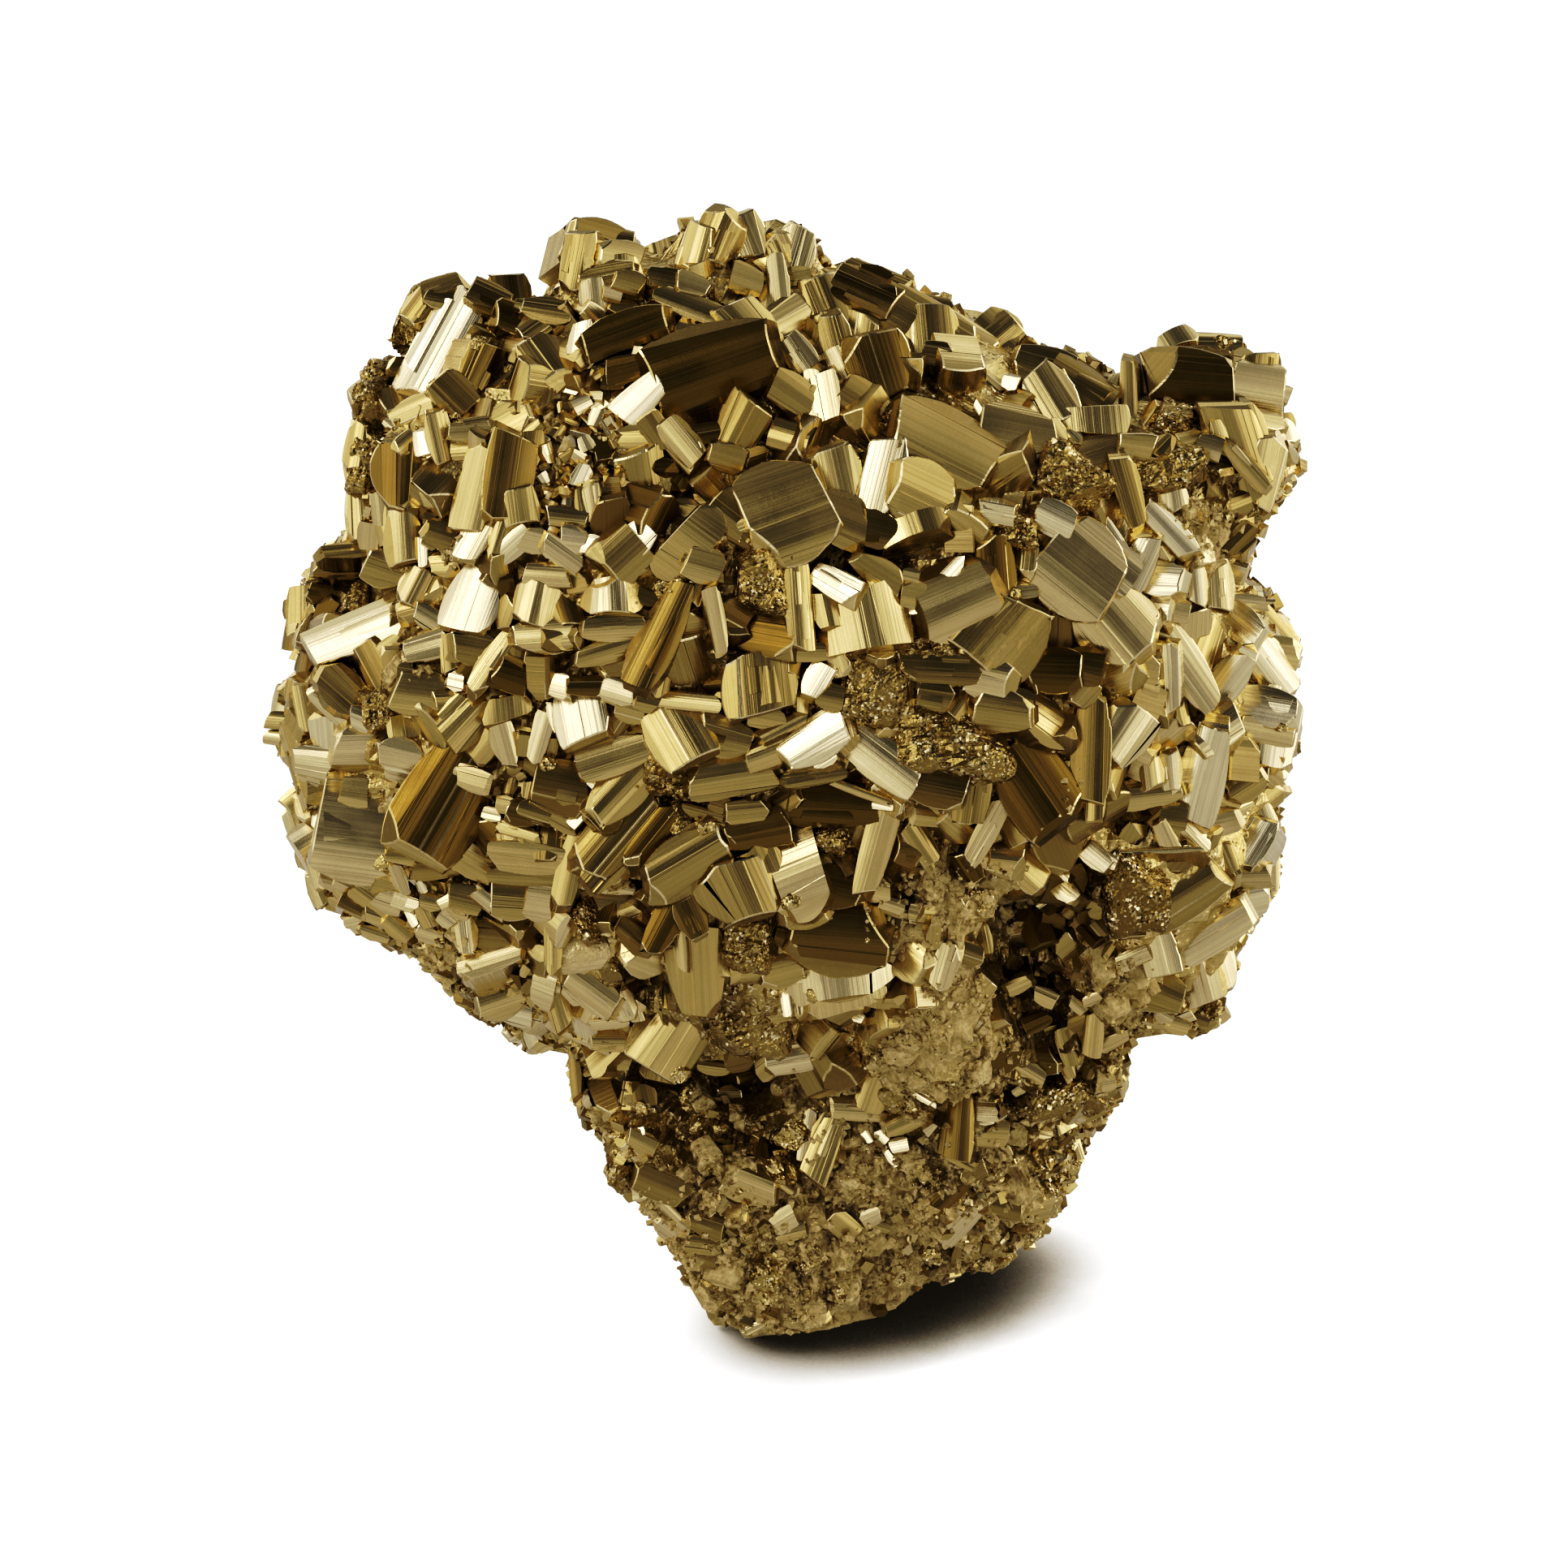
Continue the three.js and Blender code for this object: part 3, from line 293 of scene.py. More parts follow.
-23.2 -82.8 238.4 -.987 .144 .071 -.1 -.896 .433 8.8 7.8 20.4 LR
-12.3 -84.8 230.4 .068 -.317 -.946 .35 -.88 .32 9.1 2.8 14.2 M
-48.5 -86.5 223.4 -.428 -.354 -.832 -.1 -.896 .433 10.8 4.1 17.3 D
-44.8 -81.6 234.3 -.983 -.014 -.181 -.1 -.789 .606 4.7 2.2 10.8 MR
-34.5 -85.5 226.3 .186 -.127 -.974 -.2 -.976 .089 6.6 2 10.2 L
-23.2 -89.6 211.9 .096 -.432 -.897 0 -.901 .434 6.4 7.9 19.6 M
-21.2 -87.4 200.9 -.983 -.023 .183 .05 -.988 .147 3.8 2.6 11.7 MB
-43.7 -88.1 197.8 .487 -.457 -.744 0 -.852 .523 7 7 20.9 M
-31.5 -87.7 195.9 -.975 .028 .22 .05 -.939 .342 4.8 4.2 15.1 D
-43.9 -86 205.4 -.969 .246 .021 -.2 -.833 .516 8 2 11.3 L
-46.1 -85.2 186.9 -.982 .158 .101 -.1 -.896 .433 7 6.5 17.5 MR
-30.5 -88.4 185.9 -.988 -.097 -.122 .05 -.939 .342 8.4 4.7 16.5 M
-60.2 -83.2 189.5 -.954 -.103 -.282 0 -.94 .342 7.6 4.2 15.1 M
-16.4 -77.3 253.8 -.941 -.177 -.289 0 -.852 .523 9.3 11.1 26.9 MS
-3.7 -68.5 260.2 .216 -.251 -.944 -.05 -.968 .246 4.8 4.8 15.3 L
7.2 -69.4 260 -.241 -.42 -.875 -.22 -.854 .471 7.7 5.4 20.5 W
-2.7 -76.9 250.5 -.927 .066 .37 .05 -.954 .294 5.5 5.4 17 M
6.6 -77 247.9 -.97 .083 .228 0 -.94 .342 4.2 3.8 13.7 D
18.9 -73.8 255.5 -.856 -.187 .482 .35 -.896 .273 6.6 7.6 21.2 M
14.1 -66.3 259.1 .129 -.443 -.887 -.1 -.896 .433 4.8 1.6 8.3 MR
3.5 -86 227.1 .202 -.407 -.891 .1 -.896 .433 6.1 9.4 20.9 MC
-4.1 -82.8 235.6 -.821 .478 .312 -.28 -.814 .509 5.6 3.2 12.1 W
7 -80.6 237.7 -.837 .024 .546 .1 -.976 .195 5.5 2.9 12 M
15.2 -79.3 235.7 -.969 .13 .211 -.1 -.984 .145 1.7 1.9 8.4 L
16.9 -81 231.9 -.973 -.021 .229 .1 -.935 .34 3 2.9 11.5 M
27.1 -82.3 231.7 -.919 -.153 -.363 0 -.921 .389 7.8 7.8 23.1 MC
22.3 -78.7 233.8 -.678 -.269 -.684 -.3 -.748 .592 7.3 1.8 8.9 W
37.9 -83.8 221 -.643 -.25 -.724 .1 -.964 .245 8.3 9.6 24.4 MSP
37.1 -76.4 236.7 .077 -.341 -.937 0 -.94 .342 6.7 4.1 15 K
40.7 -71.7 247.8 -.99 .044 -.138 -.1 -.896 .433 5.4 5.4 15.2 LR
37.1 -71.5 250.5 -.978 .18 .108 -.15 -.958 .242 3.8 3.1 12.1 L
51.7 -69.8 248.3 -.892 .217 .396 -.15 -.97 .193 4.6 4 15 L
58.3 -73.8 236.6 -.776 .228 .588 0 -.933 .361 8.5 9.6 24.8 MS
68.5 -73.2 221.6 -.654 .211 .727 .1 -.928 .359 7.1 7.6 21.2 MS
71.3 -70.4 214.1 -.749 .047 -.66 -.1 -.994 .043 8.6 1.5 8.7 L
73.7 -65.4 234.9 -.409 -.163 -.898 -.15 -.958 .242 6.3 3.4 12.2 L
67.3 -65.5 240.8 -.573 .284 .768 -.15 -.958 .242 6.3 1.9 10.2 L
79.7 -63.8 230.7 -.951 .307 -.032 -.28 -.814 .509 4.2 3.7 12.9 W
79.2 -64.1 222.9 -.943 .334 .015 -.28 -.814 .509 2.4 3.2 10.3 W
81.3 -60.8 242.2 -.682 .21 .701 -.1 -.976 .195 6.4 3.2 12.1 L
100.3 -50 237.3 -.707 -.242 -.664 0 -.94 .342 3.7 3.1 11.6 D
95.7 -51.3 225.3 .083 -.285 -.955 .1 -.951 .293 5.1 3.4 12.7 MBC
102.6 -40.2 224.6 -.944 .198 .263 -.15 -.97 .193 3.4 3.3 12.2 L
89.1 -57.3 227.3 .099 -.259 -.961 -.15 -.958 .242 4.2 2.3 10.4 L
84.3 -60.5 220.9 -.967 -.037 .251 .1 -.964 .245 2.8 2.6 10.6 M
103.1 -32 207.9 -.727 .484 .487 -.25 -.848 .468 5.1 3.9 13.7 W
105.7 -21.6 210.3 -.988 -.068 .136 .1 -.964 .245 4.1 1.6 9.9 M
116.4 -3 196.6 -.668 .197 .718 .2 -.882 .427 7.3 2.8 12.9 D
111.7 -26.5 196.1 -.973 -.078 .217 .15 -.929 .338 6.1 5.4 16.9 M
119.1 -5.2 188.6 -.952 -.159 .26 .2 -.97 .14 2.3 2.3 7.3 L
86.6 -62.4 206.5 -.572 .145 .807 .1 -.964 .245 10.6 4.2 17.3 M
81 -67.9 205.1 .069 -.207 -.976 -.2 -.961 .19 7.6 3.4 14.5 L
76 -70.6 207.5 -.982 -.056 .181 .1 -.964 .245 2.8 3.6 11.4 M
99.3 -48.7 198.5 -.581 -.03 -.813 -.15 -.978 .143 5.5 3.6 13.5 L
109.9 -39.7 187.5 -.962 .256 .093 -.15 -.783 .604 6.1 4.4 19.7 W
110.2 -42.7 181.3 -.968 -.093 .232 .15 -.958 .242 5.7 2.8 18.6 M
119.6 -21.7 176 .02 -.336 -.942 .3 -.896 .326 10.8 1.4 12.7 MR
94.9 -60.1 189.5 -.784 -.461 -.416 .1 -.756 .647 6.7 5.7 25.1 L
91.8 -64.6 177.3 -.221 -.07 -.973 -.1 -.99 .094 9.5 5 22.4 L
71.3 -78.4 193.3 -.553 -.366 -.749 .3 -.926 .23 5.6 5.8 20.6 L
61.4 -81.8 190.1 -.04 -.338 -.94 -.1 -.935 .34 10.4 3.8 14.8 D
75.2 -73.9 197.2 -.939 -.028 .343 .1 -.976 .195 3.3 6.7 13.3 M
79 -69.3 200 -.967 -.037 .251 .1 -.964 .245 2.8 3.2 10 MR
52.1 -81.6 211.9 -.999 .016 .037 0 -.921 .389 5.2 4.6 15.4 DS
59.5 -78.5 212 -.976 .074 .204 0 -.94 .342 3.8 3.8 13.7 D
35.1 -86.1 210.7 -.977 .125 .171 -.1 -.984 .145 5.1 4.7 15.4 L
38.6 -87.6 202.7 -.989 .069 .128 -.05 -.988 .147 5.7 4.5 15.3 M
21.1 -82.5 220.3 -.991 .136 .006 -.1 -.756 .647 9.9 4.1 18.2 MR
23.5 -85.4 213.7 -.999 .015 .049 0 -.956 .295 8 3.5 16.9 D
21.1 -80.3 226.3 -.994 .106 .037 -.1 -.984 .145 2.9 1.3 9 L
6.6 -88.4 209.3 -.991 .045 .123 0 -.94 .342 7.9 7.9 20.7 DR
26.2 -89.8 195.8 -.996 .087 .038 -.05 -.823 .566 12.6 6.6 17.8 LR
21.5 -87.9 206.9 -.985 .059 .163 0 -.94 .342 3.6 3.1 12.1 D
-8.8 -87.2 211.1 -.514 -.293 -.806 -.25 -.848 .468 3.6 2.7 11.4 W
-5.3 -88.2 207 -.981 .067 .184 0 -.94 .342 3.1 2.9 11.5 DB
-10.3 -86 218.3 -.998 -.037 .056 .05 -.968 .246 5.2 2.1 10.9 M
-9.4 -90.2 196 -.846 -.062 -.529 -.26 -.819 .511 7.6 4.8 17.7 W
-17.1 -87.5 199.2 -.893 -.197 -.404 -.1 -.789 .606 5.8 1.8 10.1 M
-20.2 -88.6 191.4 -.94 -.129 -.317 .05 -.968 .246 4.8 3.4 13.4 MC
6.6 -91.5 192.5 -.777 .381 .501 -.12 -.871 .477 9.9 4.5 17.6 L
11.9 -89.4 182.9 -.934 .061 -.353 -.1 -.99 .094 4.7 2.4 13.9 L
22.2 -90.7 184.5 -.984 .061 .168 0 -.94 .342 5.8 5.2 16.9 D
47.2 -87.1 182.5 -.555 .3 .776 0 -.933 .361 9.3 7.3 21.7 K
-148.2 -20.9 154.5 -.786 -.182 -.591 0 -.956 .295 3.9 3.2 9.8 M
-146.2 -20.8 150.3 .214 -.57 -.793 -.28 -.814 .509 2.5 1.7 9.3 W
-149.9 -19.4 146.3 .271 -.18 -.945 -.15 -.978 .143 4 2.1 8.6 L
-144.6 -25.3 145.7 -.474 -.267 -.839 .3 -.945 .131 3.2 2.5 9.6 D
-140.8 -37.3 155.9 -.163 -.436 -.885 -.28 -.84 .465 2.6 1.1 8.5 W
-128.5 -57.3 161 -.991 .016 .13 .03 -.939 .342 8.4 13.3 24.5 MS
-138.8 -41.1 157.3 -.09 -.291 -.952 -.5 -.814 .296 9.5 1.7 15.7 M
-113.8 -66.3 156.5 -.998 .024 .058 0 -.921 .389 5.1 3.1 13.2 M
-120 -60.4 155.4 .116 -.454 -.883 -.2 -.882 .427 3.7 1.7 8.8 LR
-112.1 -65.7 162.6 -.658 .239 .714 -.2 -.97 .14 6.7 1.4 8.7 L
-114.6 -64.5 166.4 .369 -.207 -.906 -.2 -.97 .14 3.4 1.3 8.6 L
-98 -75.1 157.1 .824 .029 -.566 .1 -.99 .094 7.6 3.4 12.2 MB
-106.7 -70.5 152.9 -.993 -.108 -.045 .1 -.984 .145 5.3 2 10.2 MO
-87.9 -77.4 164 .156 -.335 -.929 -.3 -.912 .279 4 2.5 11.7 L
-83 -79.5 161.5 .071 -.242 -.968 .05 -.968 .246 3 4.4 13.1 M
-85.1 -77.1 166.4 -.941 .274 .201 -.1 -.789 .606 4.5 1.5 8.7 L
-97.1 -72.4 178.5 -.948 .239 .21 -.2 -.961 .19 3.8 2.8 11.4 L
-92.5 -73.7 169.9 -.925 .371 .084 -.28 -.814 .509 2 1.5 8.3 W
-88.2 -75.3 172.6 -.98 .171 .098 -.15 -.97 .193 2.8 2 9 L
-84 -77.4 171.2 -.956 -.049 .289 .15 -.929 .338 3.3 2.8 11.4 D
-80.9 -80.6 159.7 -.992 .11 .059 -.1 -.984 .145 9 3.2 13.3 L
-82 -80 154.5 -.998 .055 .033 -.05 -.988 .147 8.4 1.7 11.1 M
-86.3 -80.7 148.9 -.996 -.02 .092 .05 -.939 .342 5.3 4.6 15.3 M
-80.2 -81 148.2 -.985 .124 .116 -.1 -.976 .195 2.8 4.5 14.1 L
-93.2 -77 145.9 -.784 .137 .606 -.1 -.99 .094 3.8 1.8 9.4 L
-99.2 -75.5 146.9 -.972 .033 .232 .05 -.939 .342 3.7 3.3 12.1 MB
-100.2 -72.6 135.6 .124 -.256 -.959 -.1 -.964 .245 3.4 2.7 11.8 L
-91.9 -76.9 137.5 -.994 .038 .104 0 -.94 .342 3.8 3.8 12.7 DB
-93.3 -72.2 129.3 -.954 -.063 -.294 -.12 -.817 .564 7.1 3 14.3 L
-98.5 -61 119.1 -.978 .007 -.211 -.1 -.896 .433 4.4 3 9.5 LR
-92.9 -56.7 112 -.947 -.168 -.275 .1 -.964 .245 5.1 5.5 17.8 MC
-106.8 -61.2 122.6 .444 -.199 -.873 .05 -.968 .246 4.8 3.1 12 Mm
-87.4 -48.4 103.5 -.968 .141 .206 -.1 -.976 .195 2.7 2.9 10.8 L
-89.6 -31.7 92.4 -.845 -.065 -.53 -.2 -.882 .427 3.4 2.7 10.4 L
-85.5 -35.9 93.2 .38 -.173 -.909 -.1 -.984 .145 2.9 2.6 10.3 L
-87 -24.1 84 -.981 -.137 -.14 .1 -.964 .245 4.9 2.5 11.6 M
-113.9 -67.2 142.6 -.918 .382 .105 -.28 -.814 .509 1.4 1.3 6.8 W
-109 -70.4 144.1 -.981 .067 .184 0 -.94 .342 2.2 1.9 8.5 M
-104 -73 144.4 -.896 .05 -.442 -.15 -.97 .193 2.1 2.1 8.6 L
-110.2 -69.6 139.7 .445 -.221 -.868 0 -.969 .246 2.4 1.9 8.1 M
-104.8 -72.4 140.1 -.812 .259 .523 -.15 -.958 .242 1.8 1.8 8 L
-101.2 -74.2 143.7 -.95 -.02 .311 .1 -.964 .245 2.2 2.2 8.7 M
-114.5 -65.8 138.2 .473 -.505 -.722 -.28 -.863 .421 2.2 1 6.5 W
-109.4 -67.9 134.4 -.955 .136 .263 -.1 -.984 .145 2.9 2.8 10 L
-129.5 -52.3 136.8 -.882 .122 .456 .1 -.896 .433 3.6 2.4 10.2 DB
-130.1 -46.9 129.4 -.967 .087 -.238 -.1 -.994 .043 4.4 1.8 9.8 L
-125.8 -57.7 139.6 -.806 .166 .568 -.1 -.984 .145 4 2 9.9 M
-120.5 -63.7 141.4 -.948 .139 .286 -.1 -.984 .145 2.7 2.5 9.5 L
-122.7 -58.6 134.9 -.943 .002 .334 .05 -.988 .147 3.4 2.3 9.2 M
-118.3 -61.2 132.9 -.762 .095 .641 0 -.989 .147 3.4 2.1 9.1 M
-125 -52.5 127.9 -.946 .031 .324 0 -.995 .096 3.4 1.5 8.3 M
-141.9 -36 134.7 .379 -.228 -.897 0 -.969 .246 4 3 10.7 MC
-145.4 -35.2 135.5 .257 -.263 -.93 -.1 -.964 .245 3.4 2.2 8.7 M
-141.3 -26.5 128 -.949 .108 .297 0 -.94 .342 2.8 2.6 8.3 D
-144.1 -34.2 139.7 -.895 .413 .167 -.28 -.814 .509 2.2 1.9 6.3 WR
-141.7 -30.7 140.8 -.887 .378 .267 -.2 -.833 .516 1.7 1.5 5.8 L
-137.8 -39.8 142.4 -.97 .083 .228 0 -.94 .342 1.8 1.6 7.4 D
-136.7 -41.4 139 -.957 -.026 .287 .1 -.964 .245 2.5 2.3 9.2 MB
-132.8 -49.5 141 -.894 .111 .435 0 -.969 .246 2.4 2.1 9.1 MB
-126.9 -56.7 143.3 -.957 .057 .285 0 -.98 .197 2.2 2 8.6 MB
-121.2 -62.2 144.7 -.968 .141 .206 -.1 -.976 .195 2.6 2.5 9.3 MB
-117.3 -64.4 147.9 .367 -.172 -.914 -.1 -.984 .145 3.5 1.6 9.2 L
-116.3 -66.1 142.4 -.932 .237 .275 -.1 -.896 .433 2.5 2 8.6 L
-74.3 -80.9 179.8 -.981 .067 .184 0 -.94 .342 5.3 5.8 16.5 DB
-67 -80.2 183.3 -.594 .543 .593 -.3 -.834 .463 4.2 1.6 8.4 W
-79.8 -78.3 171.8 -.957 .071 .28 0 -.969 .246 4.4 2.5 10.3 M
-73.4 -80.1 169.5 -.88 .156 .448 -.1 -.984 .145 3.1 1.9 9 M
-57.5 -84.5 182.2 -.684 -.303 -.664 .02 -.917 .398 9.4 5 17.9 M
-59.7 -85.8 169.4 -.642 -.289 -.71 .02 -.932 .361 10 6.2 18.8 DS
-50.2 -85.8 168.3 -.628 -.266 -.731 0 -.94 .342 7 3.3 15.3 DS
-66 -80.5 176.4 -.664 -.22 -.715 -.3 -.797 .524 7.5 1.5 9.2 W
-63.4 -86.3 174.7 -.809 -.201 -.553 0 -.94 .342 2.8 4 14.4 K
-68.9 -81.2 166.6 .05 -.342 -.939 0 -.94 .342 4.2 1 10.7 D
-68.7 -81.7 161.2 .131 -.443 -.887 -.1 -.896 .433 3.2 1.4 9.6 LR
-44.1 -85.4 172.2 -.952 .251 .175 -.15 -.881 .448 4.2 4.7 12.3 WR
-45.5 -84.5 182.9 -.984 .155 .093 -.1 -.896 .433 5.9 3.3 10.6 MR
-40.6 -88.1 162.1 -.857 -.216 -.468 .08 -.953 .294 9.7 5.7 19.5 MC
-45.2 -84.9 164.7 -.794 -.171 -.584 -.2 -.833 .516 4.5 1.4 8.7 L
-33.3 -86.8 177.6 -.95 -.02 .311 .1 -.964 .245 2.2 2.2 9.2 M
-26.4 -87.9 175.7 -.994 -.072 -.08 .05 -.968 .246 4.2 2.6 11.8 M
-34.3 -86.3 173.4 -.964 .155 .217 -.1 -.964 .245 6.5 1.4 9.1 M
-23.3 -88.1 170.3 -.978 -.115 -.173 .05 -.939 .342 6.2 3.7 14.7 DB
-25.4 -85.2 161.4 -.976 .003 -.22 -.1 -.896 .433 4.1 1.4 7.3 LR
-25.4 -85 160 -.951 .163 -.262 -.28 -.814 .509 2.2 .9 6.1 W
-14.4 -87 161.6 -.921 -.004 -.39 -.2 -.854 .481 5.1 11.3 20.2 WC
-28.1 -86.5 153.4 .418 -.247 -.874 .05 -.954 .294 6 8.8 18.5 M
-63.6 -84 157.8 -.957 .289 -.003 -.25 -.822 .512 4.4 2.4 11.6 W
-62.4 -83.7 153.7 -.982 .159 .103 -.1 -.896 .433 5.5 1.5 9.6 L
-62.5 -84.1 148 -.992 -.008 .125 .05 -.939 .342 5.5 3.7 14.7 MB
-56.4 -83.2 148.4 .109 -.185 -.977 .1 -.976 .195 3.8 1.4 11 L
-72.5 -82.7 157.8 -.196 -.26 -.946 -.15 -.945 .291 7.5 2.6 12.2 M
-76.8 -80.1 139.7 0 -.246 -.969 -.1 -.964 .245 8.9 1.8 11.2 M
-68.5 -81.7 144.4 .281 -.559 -.78 -.22 -.829 .514 5.2 2.8 9.6 WR
-51.6 -83.9 147.5 -.928 .039 -.371 -.1 -.984 .145 8.1 2.6 12.6 L
-54.9 -82 138.9 -.794 .208 .571 0 -.94 .342 4.5 3.1 10.9 DB
-47.9 -83.2 142.7 -.461 -.303 -.834 0 -.94 .342 5.9 3.1 12.9 DS
-40.7 -83.6 145.1 .406 -.293 -.865 .05 -.939 .342 4.1 3.2 13 D
-43.8 -80.7 137.2 .071 -.211 -.975 -.3 -.937 .181 6 1.1 10.3 L
-39.6 -81.1 128.3 .046 -.104 -.993 .04 -.994 .106 9.1 5.7 18.7 LC
-70.4 -78.9 132.4 -.987 .04 -.155 -.06 -.99 .126 6.4 3.9 14.9 Lm
-67.4 -72.9 120 -.802 .135 .582 -.06 -.987 .147 6.1 4.2 15 L
-62.7 -77 128.5 .195 -.444 -.875 -.1 -.896 .433 3.3 2.1 8.4 LR
-80.3 -68.1 118.9 -.936 .202 .289 -.15 -.97 .193 2.5 4.4 12.5 L
-76.5 -63.6 112.5 .29 -.254 -.923 .1 -.951 .293 5.2 2.5 12.5 D
-60 -71.3 116.1 .401 -.158 -.902 -.06 -.987 .147 4.2 2.9 11.4 L
-56.7 -70.1 113.8 -.685 -0 -.729 -.1 -.99 .094 2.2 2 8.6 L
-62.7 -62.4 106.5 -.99 .084 -.11 -.1 -.984 .145 4.3 1.3 8.6 L
-62.3 -55.5 99 -.999 -.047 .017 .05 -.968 .246 5 2.8 12.7 M
-71.3 -47.2 96 -.901 .13 .414 -.1 -.99 .094 6.5 1.3 9.5 L
-46.3 -68.8 105.4 -.547 -.122 -.828 .03 -.991 .127 8.6 7.4 23 LC
-16.4 -77.2 119.4 .13 -.513 -.848 -.28 -.84 .465 3.3 1.2 8.5 W
-13.5 -77.1 118.7 .14 -.457 -.878 -.2 -.882 .427 3 1.1 8 L
-25.5 -81 136.2 -.984 .06 .165 0 -.94 .342 6 6 16.1 DR
-25.6 -74.9 111.6 -.996 .022 .086 0 -.969 .246 9.6 7.5 19.3 MR
-9.4 -88.9 186 -.986 -.114 -.122 .05 -.9 .434 6.7 2.1 11.4 M
-4.6 -90.5 178.5 -.997 .024 .067 0 -.94 .342 8.7 4.8 16.4 K
1.6 -88.5 181.5 -.939 .142 .315 -.1 -.984 .145 6.6 .9 8.3 L
7.8 -88.3 178.1 -.918 .382 .105 -.28 -.814 .509 2.7 1.3 8.2 W
-5.6 -86.7 168.2 -.99 .048 .133 0 -.94 .342 4.4 3.4 10.6 DR
6.9 -86.1 165.8 -.258 -.164 -.952 -.1 -.976 .195 10.5 3.3 14.5 L
5.3 -82 152.4 -.979 .124 .163 -.1 -.984 .145 4.3 2.9 14.2 Lm
18.2 -84.8 165.7 -.551 .179 .815 .05 -.968 .246 5.3 2.9 12.9 MC
15.2 -84.8 164.6 -.99 .048 .133 0 -.94 .342 2.9 3.8 10.6 DB
-3.1 -83.7 153.7 -.972 .08 .219 0 -.94 .342 5.4 4.3 14 K
-11.4 -82.7 146.6 -.943 -.156 -.295 .1 -.976 .195 4.4 4.2 14.1 MB
31.2 -88.1 180.7 -.145 -.219 -.965 -.04 -.973 .227 5.7 3.9 15.8 M
35.1 -83 168.4 -.475 -.155 -.866 -.04 -.98 .197 7.5 2.3 10.6 L
40.5 -80.4 159.6 -.993 .012 .12 .02 -.964 .266 3.6 4.2 13.7 MC
17.6 -79.4 144.2 -.979 .124 .163 -.1 -.984 .145 2.1 2.4 9.1 L
19.3 -78.7 139.4 -.891 .068 .449 .05 -.968 .246 1.9 2.1 8.5 M
10.9 -80.1 146.5 -.948 .139 .286 -.1 -.984 .145 2.7 1.9 9 L
30.2 -78.3 148.9 -.941 .337 .021 -.28 -.814 .509 1.6 .9 6 W
46.1 -75.9 146 -.825 -.067 -.561 -.28 -.814 .509 2.3 1.1 6.2 W
18.5 -77.1 123.5 .234 -.572 -.786 -.28 -.814 .509 1.8 .8 6 W
25.7 -72.2 111.7 -.781 .501 .372 -.28 -.814 .509 1.6 1.2 6.3 W
2.4 -76 114.1 -.875 .435 .214 -.28 -.814 .509 1.2 1.2 6.2 W
24.7 -78.4 129.1 -.272 -.194 -.943 -.02 -.978 .207 4.7 3.1 12 L
30.4 -78.2 133.5 -.936 .12 .33 0 -.94 .342 3.6 3.3 11.5 D
-3 -83.6 140 -.998 .023 .059 0 -.933 .361 9.9 8.2 23.7 KC
-1.3 -80.6 126.8 .137 -.244 -.96 0 -.969 .246 3.9 9.5 18.4 L
-1.2 -78.5 120 .148 -.102 -.984 .02 -.994 .106 2.9 9.2 16.4 M
35.2 -76.7 135.6 .208 -.222 -.953 -.15 -.97 .193 3 1.6 8.8 L
33 -70.3 110.2 -.975 .126 .185 -.1 -.984 .145 2 2.2 9 L
30.9 -69 106.2 -.974 .056 .219 0 -.969 .246 2.8 2.9 10.5 M
44.5 -71.5 121 -.894 .025 -.448 -.1 -.984 .145 3.1 1.7 7.9 L
51.8 -66.8 115.7 -.91 .15 .386 -.1 -.984 .145 2.6 2.2 8.7 L
52.7 -75.8 153.4 -.707 .534 .464 -.28 -.814 .509 2.4 1.3 7.7 W
55.1 -75.4 150 -.721 .517 .461 -.26 -.819 .511 3.8 2.2 9.7 WS
51.4 -75.2 148 -.705 .175 .687 0 -.969 .246 1.8 1.2 7.2 M
56.3 -81.5 183.8 -.152 -.322 -.934 .02 -.946 .323 2.7 2.5 10.8 DC
78.3 -71.2 180.1 .132 -.286 -.949 .05 -.954 .294 3.2 2.7 11.3 MC
83 -68.6 179.8 .109 -.172 -.979 -.06 -.984 .167 3.9 2.5 11.7 LC
76.6 -72.6 175 -.993 -.012 -.117 -.02 -.964 .266 7.4 3.4 12.2 M
84.4 -67.7 166.9 -.988 .031 .151 .02 -.946 .323 2.8 3.4 11.8 D
82 -68.3 161.8 .415 -.174 -.893 -.1 -.984 .145 3 2.2 9.6 L
96.2 -60.5 162.2 -.968 -.141 -.206 .1 -.976 .195 4.4 2.7 11.7 MO
103.9 -54.4 171.3 -.84 -.186 -.51 0 -.94 .342 4.3 3.8 12.6 DB
107.6 -48.7 153.3 -.53 -.312 -.788 -.18 -.867 .465 6.1 5.4 16.4 WS
111.2 -44.5 157.9 .329 -.246 -.912 .1 -.951 .293 4.6 2.6 12.6 M
111.4 -26.9 139.3 -.573 -.032 -.819 -.15 -.978 .143 4.2 1.4 9.1 L
115.5 -13.9 132.5 .045 -.235 -.971 .2 -.95 .239 4.9 1.6 11 M
100 -53.6 149.9 .394 -.314 -.864 0 -.94 .342 3.2 1.8 10.7 D
104.8 -39.3 138.9 -.998 -.063 -.013 .06 -.987 .147 6.5 2.6 11.7 MB
108.1 -29 127.3 -.98 -.109 -.169 .1 -.993 .063 6.7 4.4 15.1 L
63.8 -74.5 158.3 -.743 .452 .494 -.2 -.854 .481 3.4 2.4 10.7 WS
75.9 -69.2 147.4 -.996 -.029 -.08 0 -.94 .342 7.4 9.3 19.2 KR
81.1 -67.6 157.7 -.995 .083 -.057 -.1 -.719 .687 8.3 .6 6.3 L
90 -59.9 143.2 -.852 -.205 -.481 .02 -.932 .361 7.7 5.4 20.3 DS
95.7 -42.7 124 -.84 -.01 -.542 -.12 -.971 .205 9.3 4.3 18.7 LS
